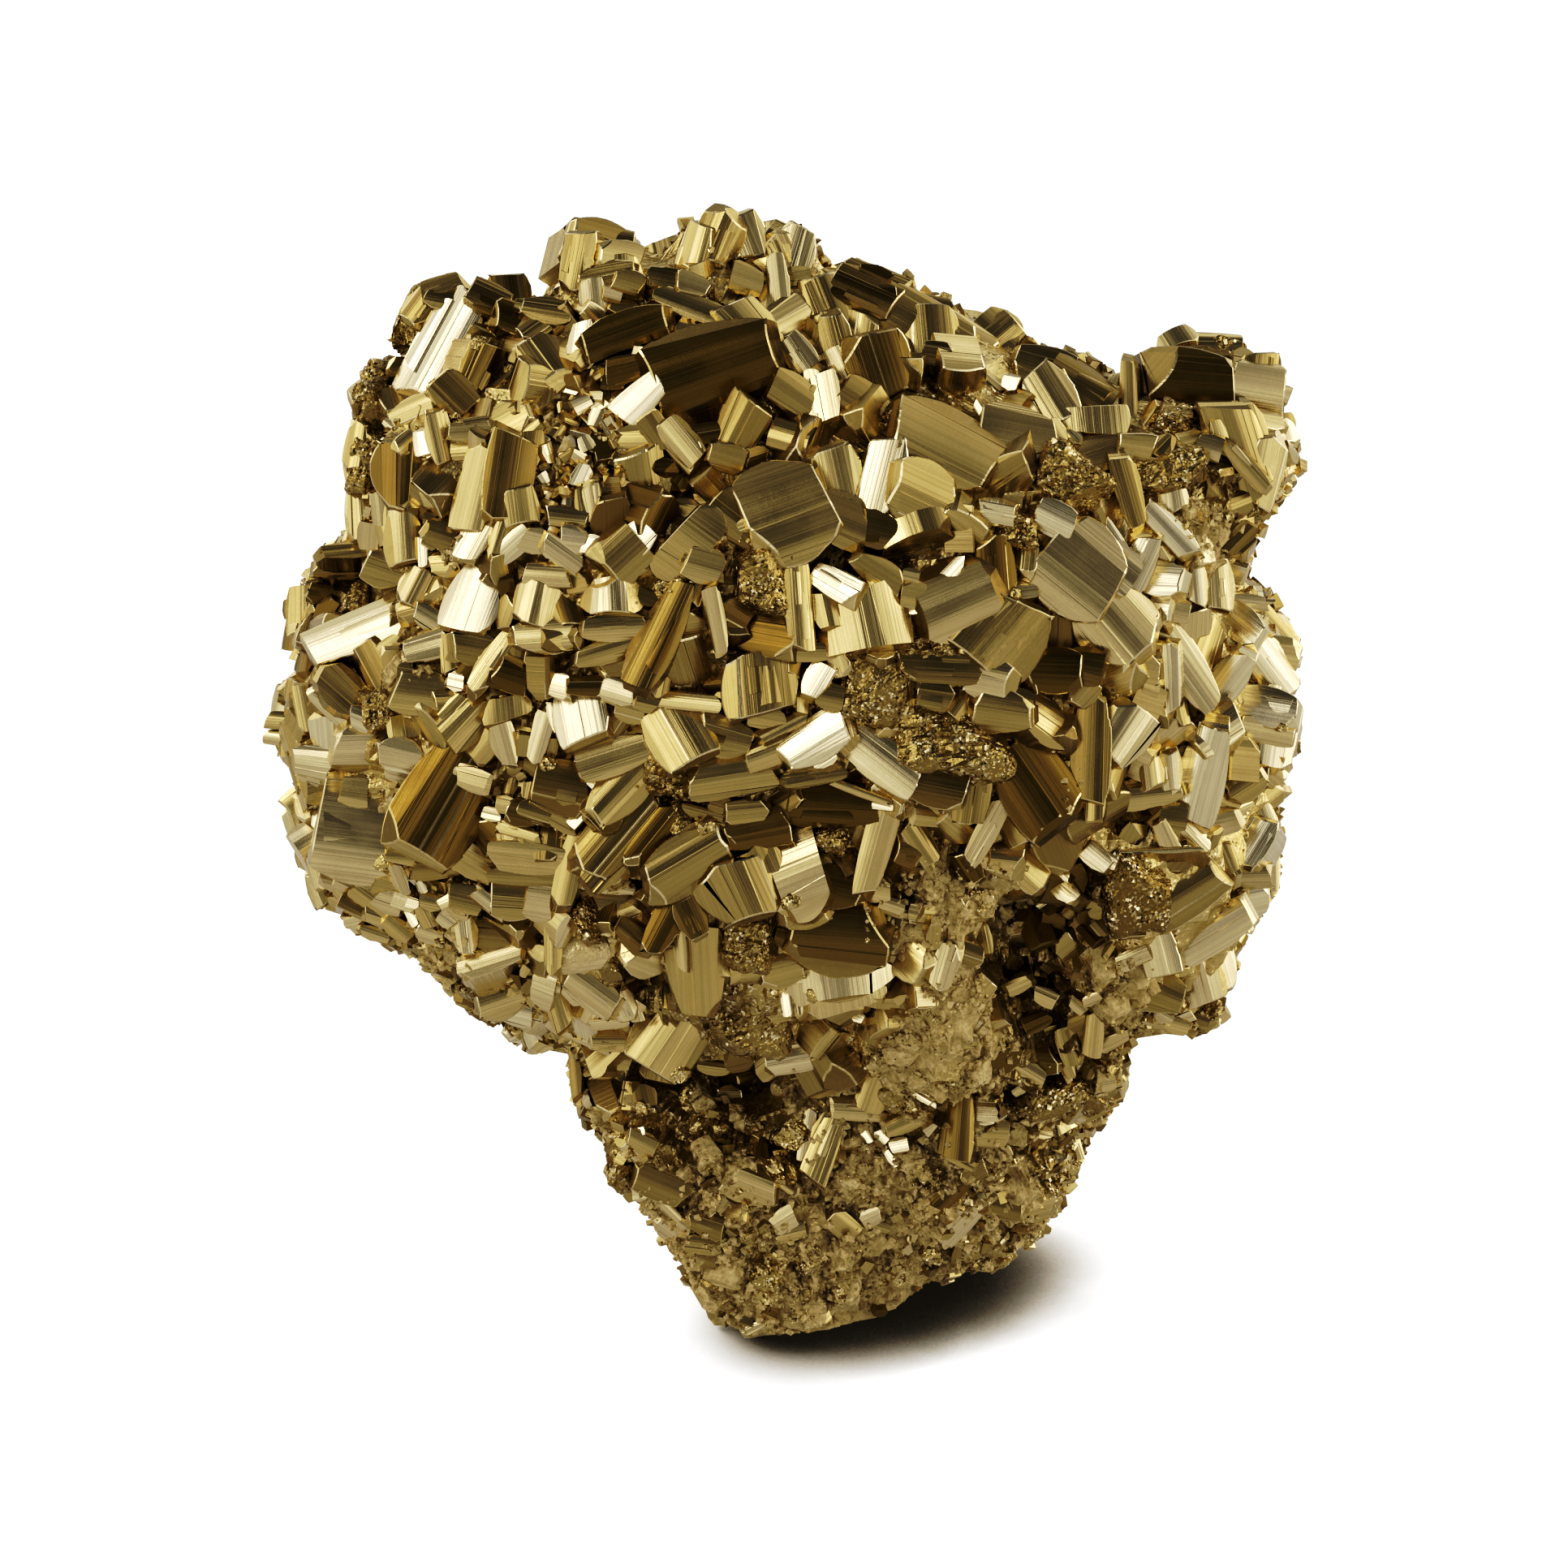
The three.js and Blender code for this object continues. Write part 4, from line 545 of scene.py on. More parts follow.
82.2 -54.3 124 .232 -.213 -.949 -.14 -.973 .184 5.6 4.1 17.2 L
96.7 -37.1 107.6 .253 -.107 -.961 .06 -.99 .126 6 6.7 18.8 LC
106 -29.5 124 .414 -.116 -.903 .25 -.939 .235 3.7 1.7 11.1 M
82.2 -49.2 110.9 -.928 .127 .349 0 -.94 .342 5.8 4.8 14.9 DB
74.9 -58.2 123.3 -.916 -.004 -.4 -.06 -.987 .147 4 2.1 10 L
65.3 -54 100 -.085 -.139 -.987 -.08 -.986 .146 5.1 2.4 11.1 L
59.1 -55.4 97.1 .266 -.224 -.937 .05 -.968 .246 4.1 2.6 10.7 M
58 -52.1 91 .419 -.174 -.891 -.1 -.984 .145 3.6 1.6 10.1 L
71.7 -49.7 95.9 -.876 .042 -.481 -.1 -.99 .094 4.5 1.8 9.8 L
60.7 -60.1 110.6 -.758 .17 .63 -.1 -.984 .145 2 1.4 7.3 L
64.4 -58.6 111.9 -.9 .027 -.435 -.1 -.984 .145 2.1 1.3 7.2 L
67.8 -70.5 146.1 .427 -.572 -.7 -.26 -.819 .511 2.5 1.2 7.6 W
96.1 -32.2 95.2 -.949 .108 .297 0 -.94 .342 1.4 1.4 6.8 D
90.8 -38.3 98.2 -.923 .037 -.382 -.1 -.984 .145 1.9 1.3 7.2 L
83.8 -44.2 101.8 -.878 .156 .453 -.1 -.984 .145 2.7 1.3 7.2 L
88.5 -39.9 96.5 -.964 .052 .261 0 -.98 .197 2.5 1.7 8.3 M
97.9 -30.8 97.5 -.948 .078 .308 0 -.969 .246 2.1 2.1 7.9 MR
71.2 -43.9 83.3 -.976 -.125 -.177 .1 -.984 .145 3.1 6.6 13.3 Lm
-73.4 -34 81 .074 -.252 -.965 -.1 -.964 .245 6 1.3 9.9 DB
-60.4 -48.9 90.8 -.982 -.002 .191 .05 -.968 .246 2.4 2.8 10.2 M
-44.9 -48.8 75.2 -.96 .057 -.276 -.1 -.984 .145 2.7 1.9 8.5 L
-41.7 -49.2 75.2 .649 -.187 -.737 0 -.969 .246 2 .9 7 M
-31.6 -52.5 81.3 -.999 .048 -.017 -.05 -.979 .197 2.6 2.4 9.7 M
-17.7 -52.8 73.9 -.943 .047 -.331 -.1 -.984 .145 3.7 2.3 10.1 L
-12.4 -67.6 99.4 -.985 -.025 -.17 0 -.989 .147 7.6 3.8 15.6 L
-36.5 -58.7 93.3 -.991 .026 .131 0 -.98 .197 3.3 1.8 9.8 M
-56.1 -40.7 58.9 -.792 .136 .595 -.06 -.987 .147 4.7 2.1 10.4 L
-55 -42.7 63.8 -.879 .117 .461 0 -.969 .246 3.2 2.3 10.1 M
-56.5 -41.6 66.4 -.937 .117 -.328 -.28 -.814 .509 1.6 1.2 6.7 W
-61.1 -36.4 60.6 -.918 .382 .105 -.28 -.814 .509 1 .9 5.6 W
-50 -43.8 51.9 -.92 .09 .382 .05 -.939 .342 6.2 4 14.8 DB
-52.3 -40 47.3 -.719 .311 .621 -.25 -.95 .186 7.7 1.3 9.5 L
-57.1 -33.3 44.8 -.989 .141 -.051 -.15 -.911 .385 2.5 2.9 10.6 LS
-50.3 -33.8 34.1 -.806 .158 .571 -.06 -.981 .187 4.1 3.7 13.2 LC
-38 -45.3 41 -.943 .114 .313 0 -.94 .342 4 2.8 10.4 DB
-38.5 -42.7 33.5 -.992 .012 .128 .02 -.969 .246 3.6 2 9.4 M
-43.5 -41.7 38.4 -.808 .087 .583 0 -.989 .147 1.9 1.6 7.4 L
-38.1 -40.7 28.8 -.949 .108 .297 0 -.94 .342 2.1 2.1 8.2 D
-42.2 -32 22.3 -.872 .359 .333 -.2 -.882 .427 1.5 1.3 5.3 L
-34.8 -39.1 21.9 -.976 .204 .082 -.15 -.89 .43 4.5 2.7 8.7 LR
-25.8 -49.3 53.9 -.931 .09 .355 -.04 -.988 .147 5.4 4.2 13.5 L
-20.4 -47.6 55.5 -.821 .296 .488 -.2 -.95 .239 5.9 .7 6.8 L
-28 -48.1 59.3 -.995 .096 -.035 -.1 -.984 .145 2.2 .9 6.5 L
-17.1 -47.5 42.7 -.83 -.01 -.558 -.1 -.981 .166 2.9 2.7 10.3 L
-14.9 -46.6 38.7 -.974 -.102 -.202 .05 -.968 .246 2.9 1.7 9.2 M
-27.1 -38.8 8.9 -.949 .108 .297 0 -.94 .342 1.4 1.2 6.7 D
-24.9 -39.5 7.2 -.88 .019 -.475 -.1 -.984 .145 2 1.1 6.6 L
7.8 -56.4 85.3 -.34 -.223 -.914 .03 -.974 .227 5.1 3.9 13.8 M
3.1 -53.2 77.9 -.997 -.012 .08 .03 -.974 .227 6.1 2.6 12.6 M
21 -61.9 94.7 -.727 .131 .674 .1 -.951 .293 4.4 2.1 10 MC
19.6 -58.7 91 -.971 .065 -.23 -.1 -.984 .145 3.3 1.3 8.1 L
19.3 -53.8 83 -.816 .481 .321 -.28 -.814 .509 3.7 1.3 7.2 W
14.4 -52.4 73.5 -.905 -.101 -.413 .02 -.98 .197 3.6 2.5 10.2 MC
36.8 -51.9 77.7 -.98 .195 -.026 -.18 -.837 .517 5.1 2.8 15 WS
37.4 -48.7 69.1 -.998 -.011 .055 .02 -.986 .167 4.6 3.3 15.3 LS
29 -52 72.6 -.096 -.322 -.942 -.2 -.921 .335 6.8 3.8 15.6 DBC
48.5 -53.3 88.2 -.857 .179 .482 -.1 -.978 .186 3.8 2.6 11.2 L
45.1 -52.4 86.4 -.948 .139 .286 -.1 -.984 .145 1.4 1.2 6.7 L
46.7 -50.9 83 -.843 -.079 -.532 0 -.989 .147 2.1 1.1 6.6 L
5.3 -50.3 69 .525 -.574 -.629 -.28 -.814 .509 1.7 1 6.5 W
9.5 -50.4 69.1 -.669 .535 .517 -.26 -.819 .511 1.6 1.2 6.7 W
14.1 -49.6 66.1 -.948 .151 -.279 -.28 -.814 .509 2.1 1.8 7.5 W
12 -47.3 61.1 .549 -.571 -.61 -.28 -.814 .509 2 .8 6 W
-6.2 -50.7 65.6 -.364 -.329 -.871 -.02 -.932 .361 7.5 3.4 14.5 MS
-10.5 -51.3 69.5 -.157 -.227 -.961 -.1 -.964 .245 5.5 1.8 10.2 L
31 -34.3 38.4 -.684 -.11 -.721 -.04 -.982 .187 7.1 4.1 14.8 L
28.5 -40 47.8 -.707 -.242 -.664 0 -.94 .342 5.6 2.3 10.6 KB
41.7 -29.3 41 -.965 .09 .247 0 -.94 .342 5.1 4.1 13.5 D
52.3 -17.3 35.2 -.97 -.101 -.221 .06 -.981 .187 4.6 5 14.2 M
46.9 -15.9 27.7 -.874 .18 .451 -.1 -.976 .195 2.3 2.9 9.6 L
6.7 -44.3 42.5 -.901 .019 -.433 -.1 -.981 .166 2.2 2.4 9.1 L
9.4 -42.1 38.6 -.957 .057 .285 0 -.98 .197 2.3 1.1 7.5 M
55.8 -47.5 78.9 -.961 -.112 -.252 .02 -.94 .342 7.9 3.9 11.3 DR
52.8 -43.9 72.2 -.887 .022 -.461 -.1 -.984 .145 6.2 1.3 8.5 L
62.9 -45.4 79.9 -.707 .242 .664 0 -.94 .342 6.2 3.1 9.6 DR
64 -5.2 39.6 -.944 .018 .329 .05 -.979 .197 3.6 2.2 10 Lm
55.4 -19.1 44.5 -.986 .056 .154 0 -.94 .342 1.4 .9 6 D
65.2 -9.5 47.6 .288 -.128 -.949 .2 -.961 .19 3.1 1.3 8.1 L
43.2 -41.6 61.2 .551 -.176 -.816 -.1 -.984 .145 1.6 1 6.5 L
31.1 -44.8 59.5 -.864 .158 .478 -.1 -.984 .145 3 1.5 7.8 L
34.5 -41.3 54.3 -.841 -.107 -.531 0 -.98 .197 2.9 2.1 9.5 M
17.9 80.2 86.3 -.975 .113 .191 .048 .948 -.314 17 16.4 39.7 M
-145 41.6 138.4 -.061 .696 .715 -.692 .487 -.533 16.1 12.8 32 L
-8.3 90.8 200.2 -.316 -.11 .942 -.218 .975 .041 15.1 15.8 37.6 LS
42.8 88.6 155.7 -.531 -.411 -.741 -.276 .911 -.308 15.6 13.2 39.8 M
97.6 59.4 217 -.62 .176 .765 .667 .631 .395 13.5 12.9 35.1 MS
-55 71 243.1 -.996 .069 -.057 .02 .792 .61 18.9 14.8 40 M
80.4 75.7 115.9 .951 -.308 -.013 .308 .946 .1 16 17.5 39.1 L
-111 47.9 235.5 .1 .855 -.51 -.924 .271 .272 20.9 14.8 35.6 M
-26.7 37.6 273.6 .797 -.569 .203 .296 .661 .69 14.4 13.7 34.7 MC
44.5 49.7 12.9 .428 .683 .593 .414 .435 -.8 10.1 6.4 20.8 M
62.7 76.2 205.9 -.488 .706 -.514 .451 .708 .544 17.4 14.2 36.2 MC
101.9 39 243.4 -.759 -.206 .618 .47 .482 .739 16 11.9 35.7 M
68.3 39.3 47.2 .268 .741 .616 .53 .42 -.736 11 10.5 24.8 LR
-95.9 79 198 -.268 -.417 .869 -.427 .859 .281 18.4 13.5 37.2 LS
-110.3 48 97.2 .388 -.88 -.274 -.121 .246 -.962 12.6 9.6 27.9 M
-20.8 95.3 145.2 .975 -.127 .18 .139 .989 -.058 15.3 16.3 36.2 MS
-70.6 26.7 284 .888 .284 -.363 -.124 .906 .405 12.4 10.2 31.5 LR
-83.5 79.6 111 -.061 -.139 -.988 -.732 .679 -.05 14.3 13.4 33.2 MC
-54.4 86.4 124.5 .923 .226 .31 -.064 .888 -.455 20.1 14.9 35.4 L
54.3 35.5 11.9 .196 .941 .277 .638 .092 -.764 6.1 6 17 LC
33.2 66.2 56.7 .901 -.15 .407 .432 .4 -.808 10.4 8.1 25.2 LS
-57.6 92.4 165.1 -.487 -.341 .804 .023 .916 .402 12.3 11.7 32.9 LCS
22.5 56 34.1 .798 .601 -.037 -.505 .634 -.585 10.3 7.7 17.8 M
-52 82.6 208.2 -.858 -.458 .232 -.047 .52 .853 19.7 14.8 40.6 LCS
-59 25.9 49.4 .101 .297 .949 -.405 .884 -.234 10.5 10.4 26.3 MP
-23.3 79.7 234.1 -.705 -.639 .306 -.015 .445 .895 15.7 16.1 41.8 L
2.9 61.3 50.3 -.962 -.059 -.265 .008 .97 -.242 10.2 8.7 21.9 MCS
-111.7 62.4 213.9 .033 -.236 .971 -.2 .951 .238 15.3 13.7 32 M
49.9 61.3 239.2 .04 -.383 .923 .031 .923 .382 18.1 15.7 33.2 MP
16.9 70.3 67.9 -.836 -.363 -.413 -.354 .93 -.1 8.1 7.2 23.6 L
-133 64.3 137.1 -.348 -.466 .813 -.814 .581 -.016 19.7 12.6 40.6 L
-88.4 88 169.7 .531 .73 -.429 -.847 .451 -.281 14 12.5 32.5 MS
-79 70.7 223.2 .036 .679 -.733 -.637 .581 .506 12 10.8 33.3 MCS
-89.7 45.7 81.4 .747 .652 .129 -.368 .568 -.736 10.4 9.1 27.1 LS
-74 52 258 -.482 .665 -.57 -.492 .334 .804 9.4 8.2 30.2 MC
40 85.8 130.8 .683 -.7 -.208 .648 .713 -.269 13.9 12.2 28.7 M
-15.7 77.7 89.4 .979 .01 -.205 -.079 .939 -.334 11.8 9.2 25.8 M
115.7 42 147.9 -.431 .88 .202 .896 .389 .216 10.8 10.4 33 M
111.6 41 170.4 .017 -.957 -.288 .795 -.162 .585 9 9.2 21.6 LC
22.1 96.5 172.8 -.427 .33 .842 -.479 .707 -.52 9.2 7.5 25.8 L
17.9 71 233.9 -.12 -.094 .988 .325 .937 .129 13.2 9.5 27.7 LS
-88 56.2 243.5 -.668 .366 -.648 -.431 .52 .738 8.9 6.9 23.4 MC
48.5 57.3 53 .687 -.367 .628 .449 .893 .03 5 4.7 15.4 L
89.3 34.9 74.2 -.327 .832 -.448 .553 -.216 -.805 10 8.9 24.9 L
-41.4 35.5 39.4 -.967 -.075 .245 -.247 .526 -.814 8 6.7 15.1 L
-5.5 50.5 259.6 -.388 -.695 .606 -.056 .674 .737 10.5 12 25.9 MCS
-108.8 27.2 261.2 -.329 -.593 .735 -.263 .805 .532 11.8 9.3 26.5 M
.5 78.3 223.3 -.962 -.025 .273 .167 .737 .655 9.1 10.8 27.3 MS
10.3 51.1 22.5 -.689 -.71 -.146 -.461 .584 -.668 8.2 7.5 20.3 MCS
68.3 63.6 83.8 -.624 -.307 -.719 .053 .901 -.431 9.5 9.7 22.2 LR
-5.2 86.3 120.7 .096 .249 .964 -.14 .962 -.235 8.2 7.6 24.1 M
92.9 69.6 182.5 .714 -.698 -.053 .698 .704 .13 12.7 9 29.5 MCS
-145.2 39.1 164.7 .36 .175 .916 -.767 .614 .184 10.5 11.7 30.2 LC
55.1 74.8 89.8 .352 .697 .625 -.103 .693 -.714 9.7 9.8 25.9 MCS
84.1 70.4 142.9 -.219 .626 .749 .488 .735 -.471 8.5 8.4 28.6 LC
25.6 78.7 213.2 -.84 -.393 .374 .216 .389 .895 14.7 10.2 30.5 LC
-21.5 47.8 32.6 .886 .073 -.458 -.137 .985 -.109 7.2 7.7 18.5 M
-20.9 84.2 113 .096 .226 .969 .327 .913 -.245 9.6 8.7 26.1 M
23.3 60.4 247.5 .684 -.187 .705 -.561 .483 .672 10.6 9.9 22.5 MR
-65.5 43.3 68.6 -.567 -.746 -.351 -.62 .666 -.414 13.7 11.2 33.5 MCS
-31.7 57 66.8 -.386 .697 .604 -.759 .132 -.637 7.9 6.7 16.6 M
58 54.6 65.2 -.75 .317 .581 .147 .935 -.321 7.4 6.6 19 MS
-29.1 91.8 183.5 .535 .091 -.84 -.345 .931 -.119 12.1 9.4 26.9 LCS
-112.7 24.9 92.2 .248 -.541 -.804 -.931 .097 -.353 8.9 7.3 21.1 LP
54.5 53.1 32 -.014 .006 -1 .154 .988 .004 7.5 6 21 M
83.9 48.9 79.4 -.293 -.155 -.943 .906 .271 -.326 9.3 8.3 22 LCS
68.3 86.8 177.9 .006 -.156 .988 .257 .955 .149 8.7 9 25.3 MC
-130.1 28.1 228 .069 -.78 -.622 -.947 -.247 .205 10.1 10.7 28 MCS
77.4 51.1 245.2 .205 -.947 .249 .664 .321 .675 10.8 8.3 20.8 M
-68.6 72.3 94.4 .763 .567 .312 -.052 .535 -.843 9.8 7.5 22 L
100.6 63.5 157.2 -.942 .317 .111 .302 .944 -.136 12.3 11.4 30.3 L
-52.3 -12 28 .22 -.969 .116 -.868 -.249 -.431 7 7.4 15.9 MR
107.8 32.8 92.3 -.536 -.215 -.817 .843 -.073 -.533 11.4 11.6 26.8 MS
-47.2 29.6 280.9 .213 -.773 .598 .083 .624 .777 13.1 11.4 26.1 LS
-37.6 18.3 19.1 .03 .591 .806 -.81 .487 -.327 5.8 7.1 18.4 LS
-46.9 46.6 55.2 .477 .865 .155 -.671 .473 -.571 7.4 8 20.9 L
3.5 96.3 156.9 .836 -.127 -.534 -.095 .925 -.369 11.4 9.8 28.1 MC
-86.8 88.3 140.8 .675 .71 -.2 -.725 .689 -0 13.1 11.8 29 LC
-109.8 9.6 275.5 .67 -.197 .716 -.667 .262 .697 11.9 10.4 30.3 MC
-130.5 59.7 191.8 .478 -.054 -.877 -.48 .82 -.312 8.8 10 21.9 MS
58.9 15.9 18.8 .736 .083 .672 .658 -.317 -.683 4.1 4.7 12.6 M
-14.4 43.3 19.2 .58 .514 .632 -.594 .798 -.103 9 7.6 21.1 M
104.5 48.9 121 -.326 .825 .461 .826 .486 -.285 14.3 11.5 26.2 MC
-70.7 10.8 58.6 -.219 -.974 .05 -.8 .15 -.581 6.3 4.1 15.1 MCS
22.7 86.6 116.8 -.296 .565 .77 .062 .816 -.575 10.3 11.2 25.2 M
-132.8 47.8 116.2 -.476 .791 .384 .126 .493 -.861 10.1 8.8 25.9 MCS
49.9 67.9 76.2 .219 .199 .955 -.321 .939 -.122 10.7 10.6 28 MC
-128.9 43.7 217.1 -.116 -.836 -.537 -.99 .144 -.01 10.7 9.6 23.3 LS
-89.7 32.3 271 .852 .523 -.01 -.412 .683 .603 13.9 9.7 27.9 MC
-132.6 28.2 109.1 .522 .847 .102 -.681 .486 -.548 7.4 9.2 24.2 M
1.7 80.1 103.4 -.36 .571 .737 -.014 .787 -.617 10.8 9.7 21.6 MC
93.1 58.5 101.1 -.776 .545 .318 .57 .822 -.019 9.5 8 22.6 M
64.1 32.8 24.6 .439 -.372 .818 .865 -.069 -.496 5.5 5.5 17 M
-139.7 8.7 117.6 -.666 .385 .64 -.744 -.401 -.534 8.3 9.7 22.7 MC
5.4 56.5 37.4 -.754 -.532 -.385 -.514 .843 -.157 5.3 4.5 17 M
-69.1 19.9 59.1 .696 .562 -.447 -.565 .045 -.824 6 3.7 13.7 LC
71.5 41.9 60.6 -.346 -.306 -.887 .855 .288 -.432 5.5 5.9 16.8 MS
-44.9 -8 17.6 .069 -.625 -.777 -.973 .128 -.19 5.3 5.2 13.4 LCS
-52 59.1 74.3 -.651 -.688 .319 -.755 .546 -.363 8 8.3 19.4 M
-34.1 73.3 86.8 -.693 .503 .516 -.067 .668 -.741 8.7 8.7 25.9 LS
1.2 95.3 176.7 .684 .036 -.728 .042 .995 .088 7.9 7.3 23.2 L
-115 71.7 167.3 .641 .565 -.52 -.726 .666 -.171 15.4 13.1 29.6 MCS
15.9 65.5 55.2 .906 .187 .38 .006 .891 -.453 6.5 6.2 16.6 M
-20.8 54.4 50.2 .695 -.015 -.719 -.061 .995 -.08 8.6 6 19.1 L
-56.7 46.2 264.4 -.524 .619 -.585 -.301 .508 .807 12.6 9.3 27.5 MC
57.8 43.8 18.7 -.226 .728 .647 .837 .485 -.253 6.5 5.7 16.3 MC
-3.8 34.8 276.9 -.206 -.621 .757 .007 .772 .635 12.5 10 25.5 M
52 11.2 12.6 -.481 -.876 .027 .395 -.244 -.886 5.7 4.6 14.6 MC
-143.5 25.5 119.7 .054 .984 -.171 -.618 -.101 -.78 9.1 6.8 20.8 MC
-28.9 31.5 19.6 .402 .299 .865 -.064 .952 -.299 7.2 6.7 17.6 MCS
-35.3 31.7 29.6 .938 .323 -.124 -.346 .876 -.337 5.1 5.3 11.6 L
33.9 40.4 266.7 .083 .967 .243 .203 -.255 .946 13.4 10.8 30 MS
-27.9 58.4 250.9 -.963 -.17 -.209 -.266 .731 .629 11.1 9.5 23.5 M
-61 -8.4 43.3 .189 .919 -.345 -.812 -.051 -.582 5.2 5.5 15.6 MC
22.5 50.5 17.7 -.462 -.271 -.844 .153 .913 -.377 3.9 3.7 11.1 MS
-70 34.6 269.2 .616 .384 -.688 .082 .837 .541 7.9 5.5 18.2 MC
9.2 85.6 124 -.762 -.635 .124 -.594 .61 -.525 6.7 7.4 18.1 M
-49.7 45.6 66 .456 .071 .887 -.384 .915 .124 4.3 3.3 9.4 M
-69.7 90 147.9 -.628 -.294 .72 -.598 .775 -.205 8.2 5.8 16.1 MCS
-66 -.6 51.6 .337 -.61 -.717 -.91 -.014 -.415 4.7 5.1 12.2 M
-49 13 30.6 .064 -.905 -.421 -.571 .313 -.759 4.6 4.1 12.1 MS
-122.3 27.8 241.7 .23 -.695 .681 -.627 .43 .65 6 4.4 16.4 M
-10.8 59.1 53.3 .973 -.043 .226 .222 .431 -.875 5.4 4.8 14.7 M
20.9 92.5 194 -.964 -.044 -.263 -.183 .827 .531 8.6 7.3 19.1 M
-54.2 72.3 90.4 -.933 -.359 -.03 -.109 .36 -.927 7.2 7.8 19.6 M
-116.8 35.4 99.8 .363 -.059 -.93 -.929 .053 -.366 7 5.2 16.9 L
103.7 16.8 257.2 .811 -.474 .342 .238 .802 .548 6.3 6.1 15 MP
-73.6 80.9 191.8 -.141 .082 -.987 .505 .863 -.001 6.8 5 16.4 LS
37 78.8 109.7 .724 -.227 -.651 .147 .973 -.176 7.5 6.6 15.8 MS
56.1 -24.5 48.6 .134 -.316 .939 .095 -.939 -.33 5 4.2 12.1 LC
-100.2 71.3 116.8 -.575 -.817 -.034 -.735 .535 -.416 5.1 5.6 13 MC
76.4 30.4 66.5 -.116 .533 .838 .741 .609 -.285 4.4 3.9 12 M
75.3 23 53.4 -.228 .93 -.289 .663 -.069 -.746 5.5 3.5 13.5 LC
-59.5 7.5 45.2 .001 -.932 -.362 -.913 .147 -.382 3.3 2.3 8.2 MS
80.2 78.7 170.9 .729 -.682 .061 .664 .682 -.307 8.2 5.9 17.5 M
41.8 55.3 34 -.887 .383 .257 .34 .919 -.199 4.4 3 10.7 LS
-58.8 -19.7 39.1 -.066 .959 -.275 -.643 -.252 -.723 4.1 3.4 11.1 MCS
13.9 38 268.5 -.817 .405 -.41 .136 .827 .546 5.6 5.4 15.2 MC
-129.4 -.9 249.2 .242 -.065 .968 -.939 .236 .25 8.8 6 19.5 M
-39.4 8.3 16.7 .473 .868 -.149 -.702 .269 -.66 5.4 5.5 12.8 M
117.9 9 173.3 -.462 .716 -.524 .878 .451 -.159 7 6.8 14.9 LCS
-148.2 21.6 135.7 -.132 -.915 .382 -.963 .027 -.267 9.2 6.9 20.8 MC
70.6 26.3 47.8 -.373 -.564 -.737 .925 -.162 -.344 3.9 2.7 10 MCS
-15.9 63.2 67.1 .844 -.133 -.52 -.495 .184 -.849 4.4 4.7 12.1 M
-44 11.1 23 -.078 .984 .157 -.823 .025 -.567 3.7 4.2 12.7 LS
3.1 45.7 18.6 .726 .356 -.588 -.626 .697 -.35 3.6 3.1 8.8 MC
-83.2 57.7 92.8 -.88 -.382 .282 -.47 .791 -.393 5.1 4.9 12.2 L
34.6 55.6 33 .084 -.475 -.876 .295 .851 -.434 3.4 3.1 10.2 MC
-124.1 10.6 250.9 -.08 -.787 .612 -.776 .435 .457 7 5.6 17.5 MC
43.3 77.8 213 .972 -.068 -.224 .164 .88 .447 6.2 5.9 17.5 M
-25.6 22.1 292.1 .546 .562 -.621 -.07 .769 .635 5.9 6.4 16.9 MS
69.3 74.5 150 .809 .001 .588 .201 .94 -.277 6.5 6.2 13.8 L
99.1 20.7 83.9 -.59 .37 -.718 .66 -.291 -.692 3.7 4.2 11 M
-94 15.2 281.3 -.821 -.271 -.502 -.553 .592 .586 5.6 5.2 16.5 LC
-145.6 33.8 182.3 .169 .759 -.628 -.567 .597 .568 5.3 5.4 14.6 LS
114.3 36.6 184.3 .261 -.174 .949 .83 .542 -.129 7.2 5.2 20.3 LC
-3.9 64.4 62.9 .719 .565 .404 -.366 .802 -.471 4.6 4.7 12.1 MC
113 21.3 108.8 .19 -.936 .296 .873 .023 -.487 8.9 8 16.1 M
52.3 90.2 177.8 .106 .453 -.885 .199 .863 .465 6.1 4.6 16.6 M
113.5 16.5 240.4 .286 -.886 -.365 .903 .377 -.207 5.5 5.8 15.9 M
-91.4 59.8 97.2 .52 -.703 -.486 -.286 .393 -.874 6 4.9 15 M
-47.8 88 182.1 -.95 -.17 .26 -.01 .854 .52 6.3 5.9 16.7 LS
-103.5 64.3 107.4 -.414 .013 .91 -.761 .545 -.353 5.5 3.7 12.5 LC
65.3 81.6 157.1 .016 .572 .82 .669 .604 -.434 7.9 5.8 17.7 MS
-108.6 71.9 135.6 -.764 -.579 .284 -.581 .809 .088 5.8 5.8 15.1 LS
62.5 75.8 130.8 -.653 .37 -.66 .41 .906 .103 7.2 5.5 15.6 MC
-97.6 31.6 82.4 -.825 -.484 .291 -.557 .612 -.561 5.9 4.2 14 M
115.6 27.2 157.2 .034 .997 -.064 .972 -.048 -.232 7.2 5.3 14.1 L
-46.8 17.4 296.1 .911 -.05 .409 -.165 .864 .475 6.2 6.4 16.7 L
-35.5 50.9 59.3 -.07 -.355 -.932 -.083 .933 -.349 4.1 3.9 10 L
-94.3 43.4 255.7 -.003 -.515 .857 -.648 .654 .391 8.1 8.8 19.3 M
39.8 54.4 22.9 -.98 .058 -.188 .083 .988 -.127 3.4 3.1 11 L
-62.2 8.6 49.2 -.246 -.949 .199 -.955 .202 -.219 2.7 2.1 8.7 LS
-74.8 51.4 81.9 -.556 .822 .12 .068 .189 -.98 5.5 4.7 13.4 L
-130.4 57.3 175.5 -.357 -.7 -.619 -.923 .163 .349 5.4 5.4 14.9 LS
110.4 30.7 222.5 -.62 .72 -.312 .769 .476 -.427 5.7 5.1 17.9 MP
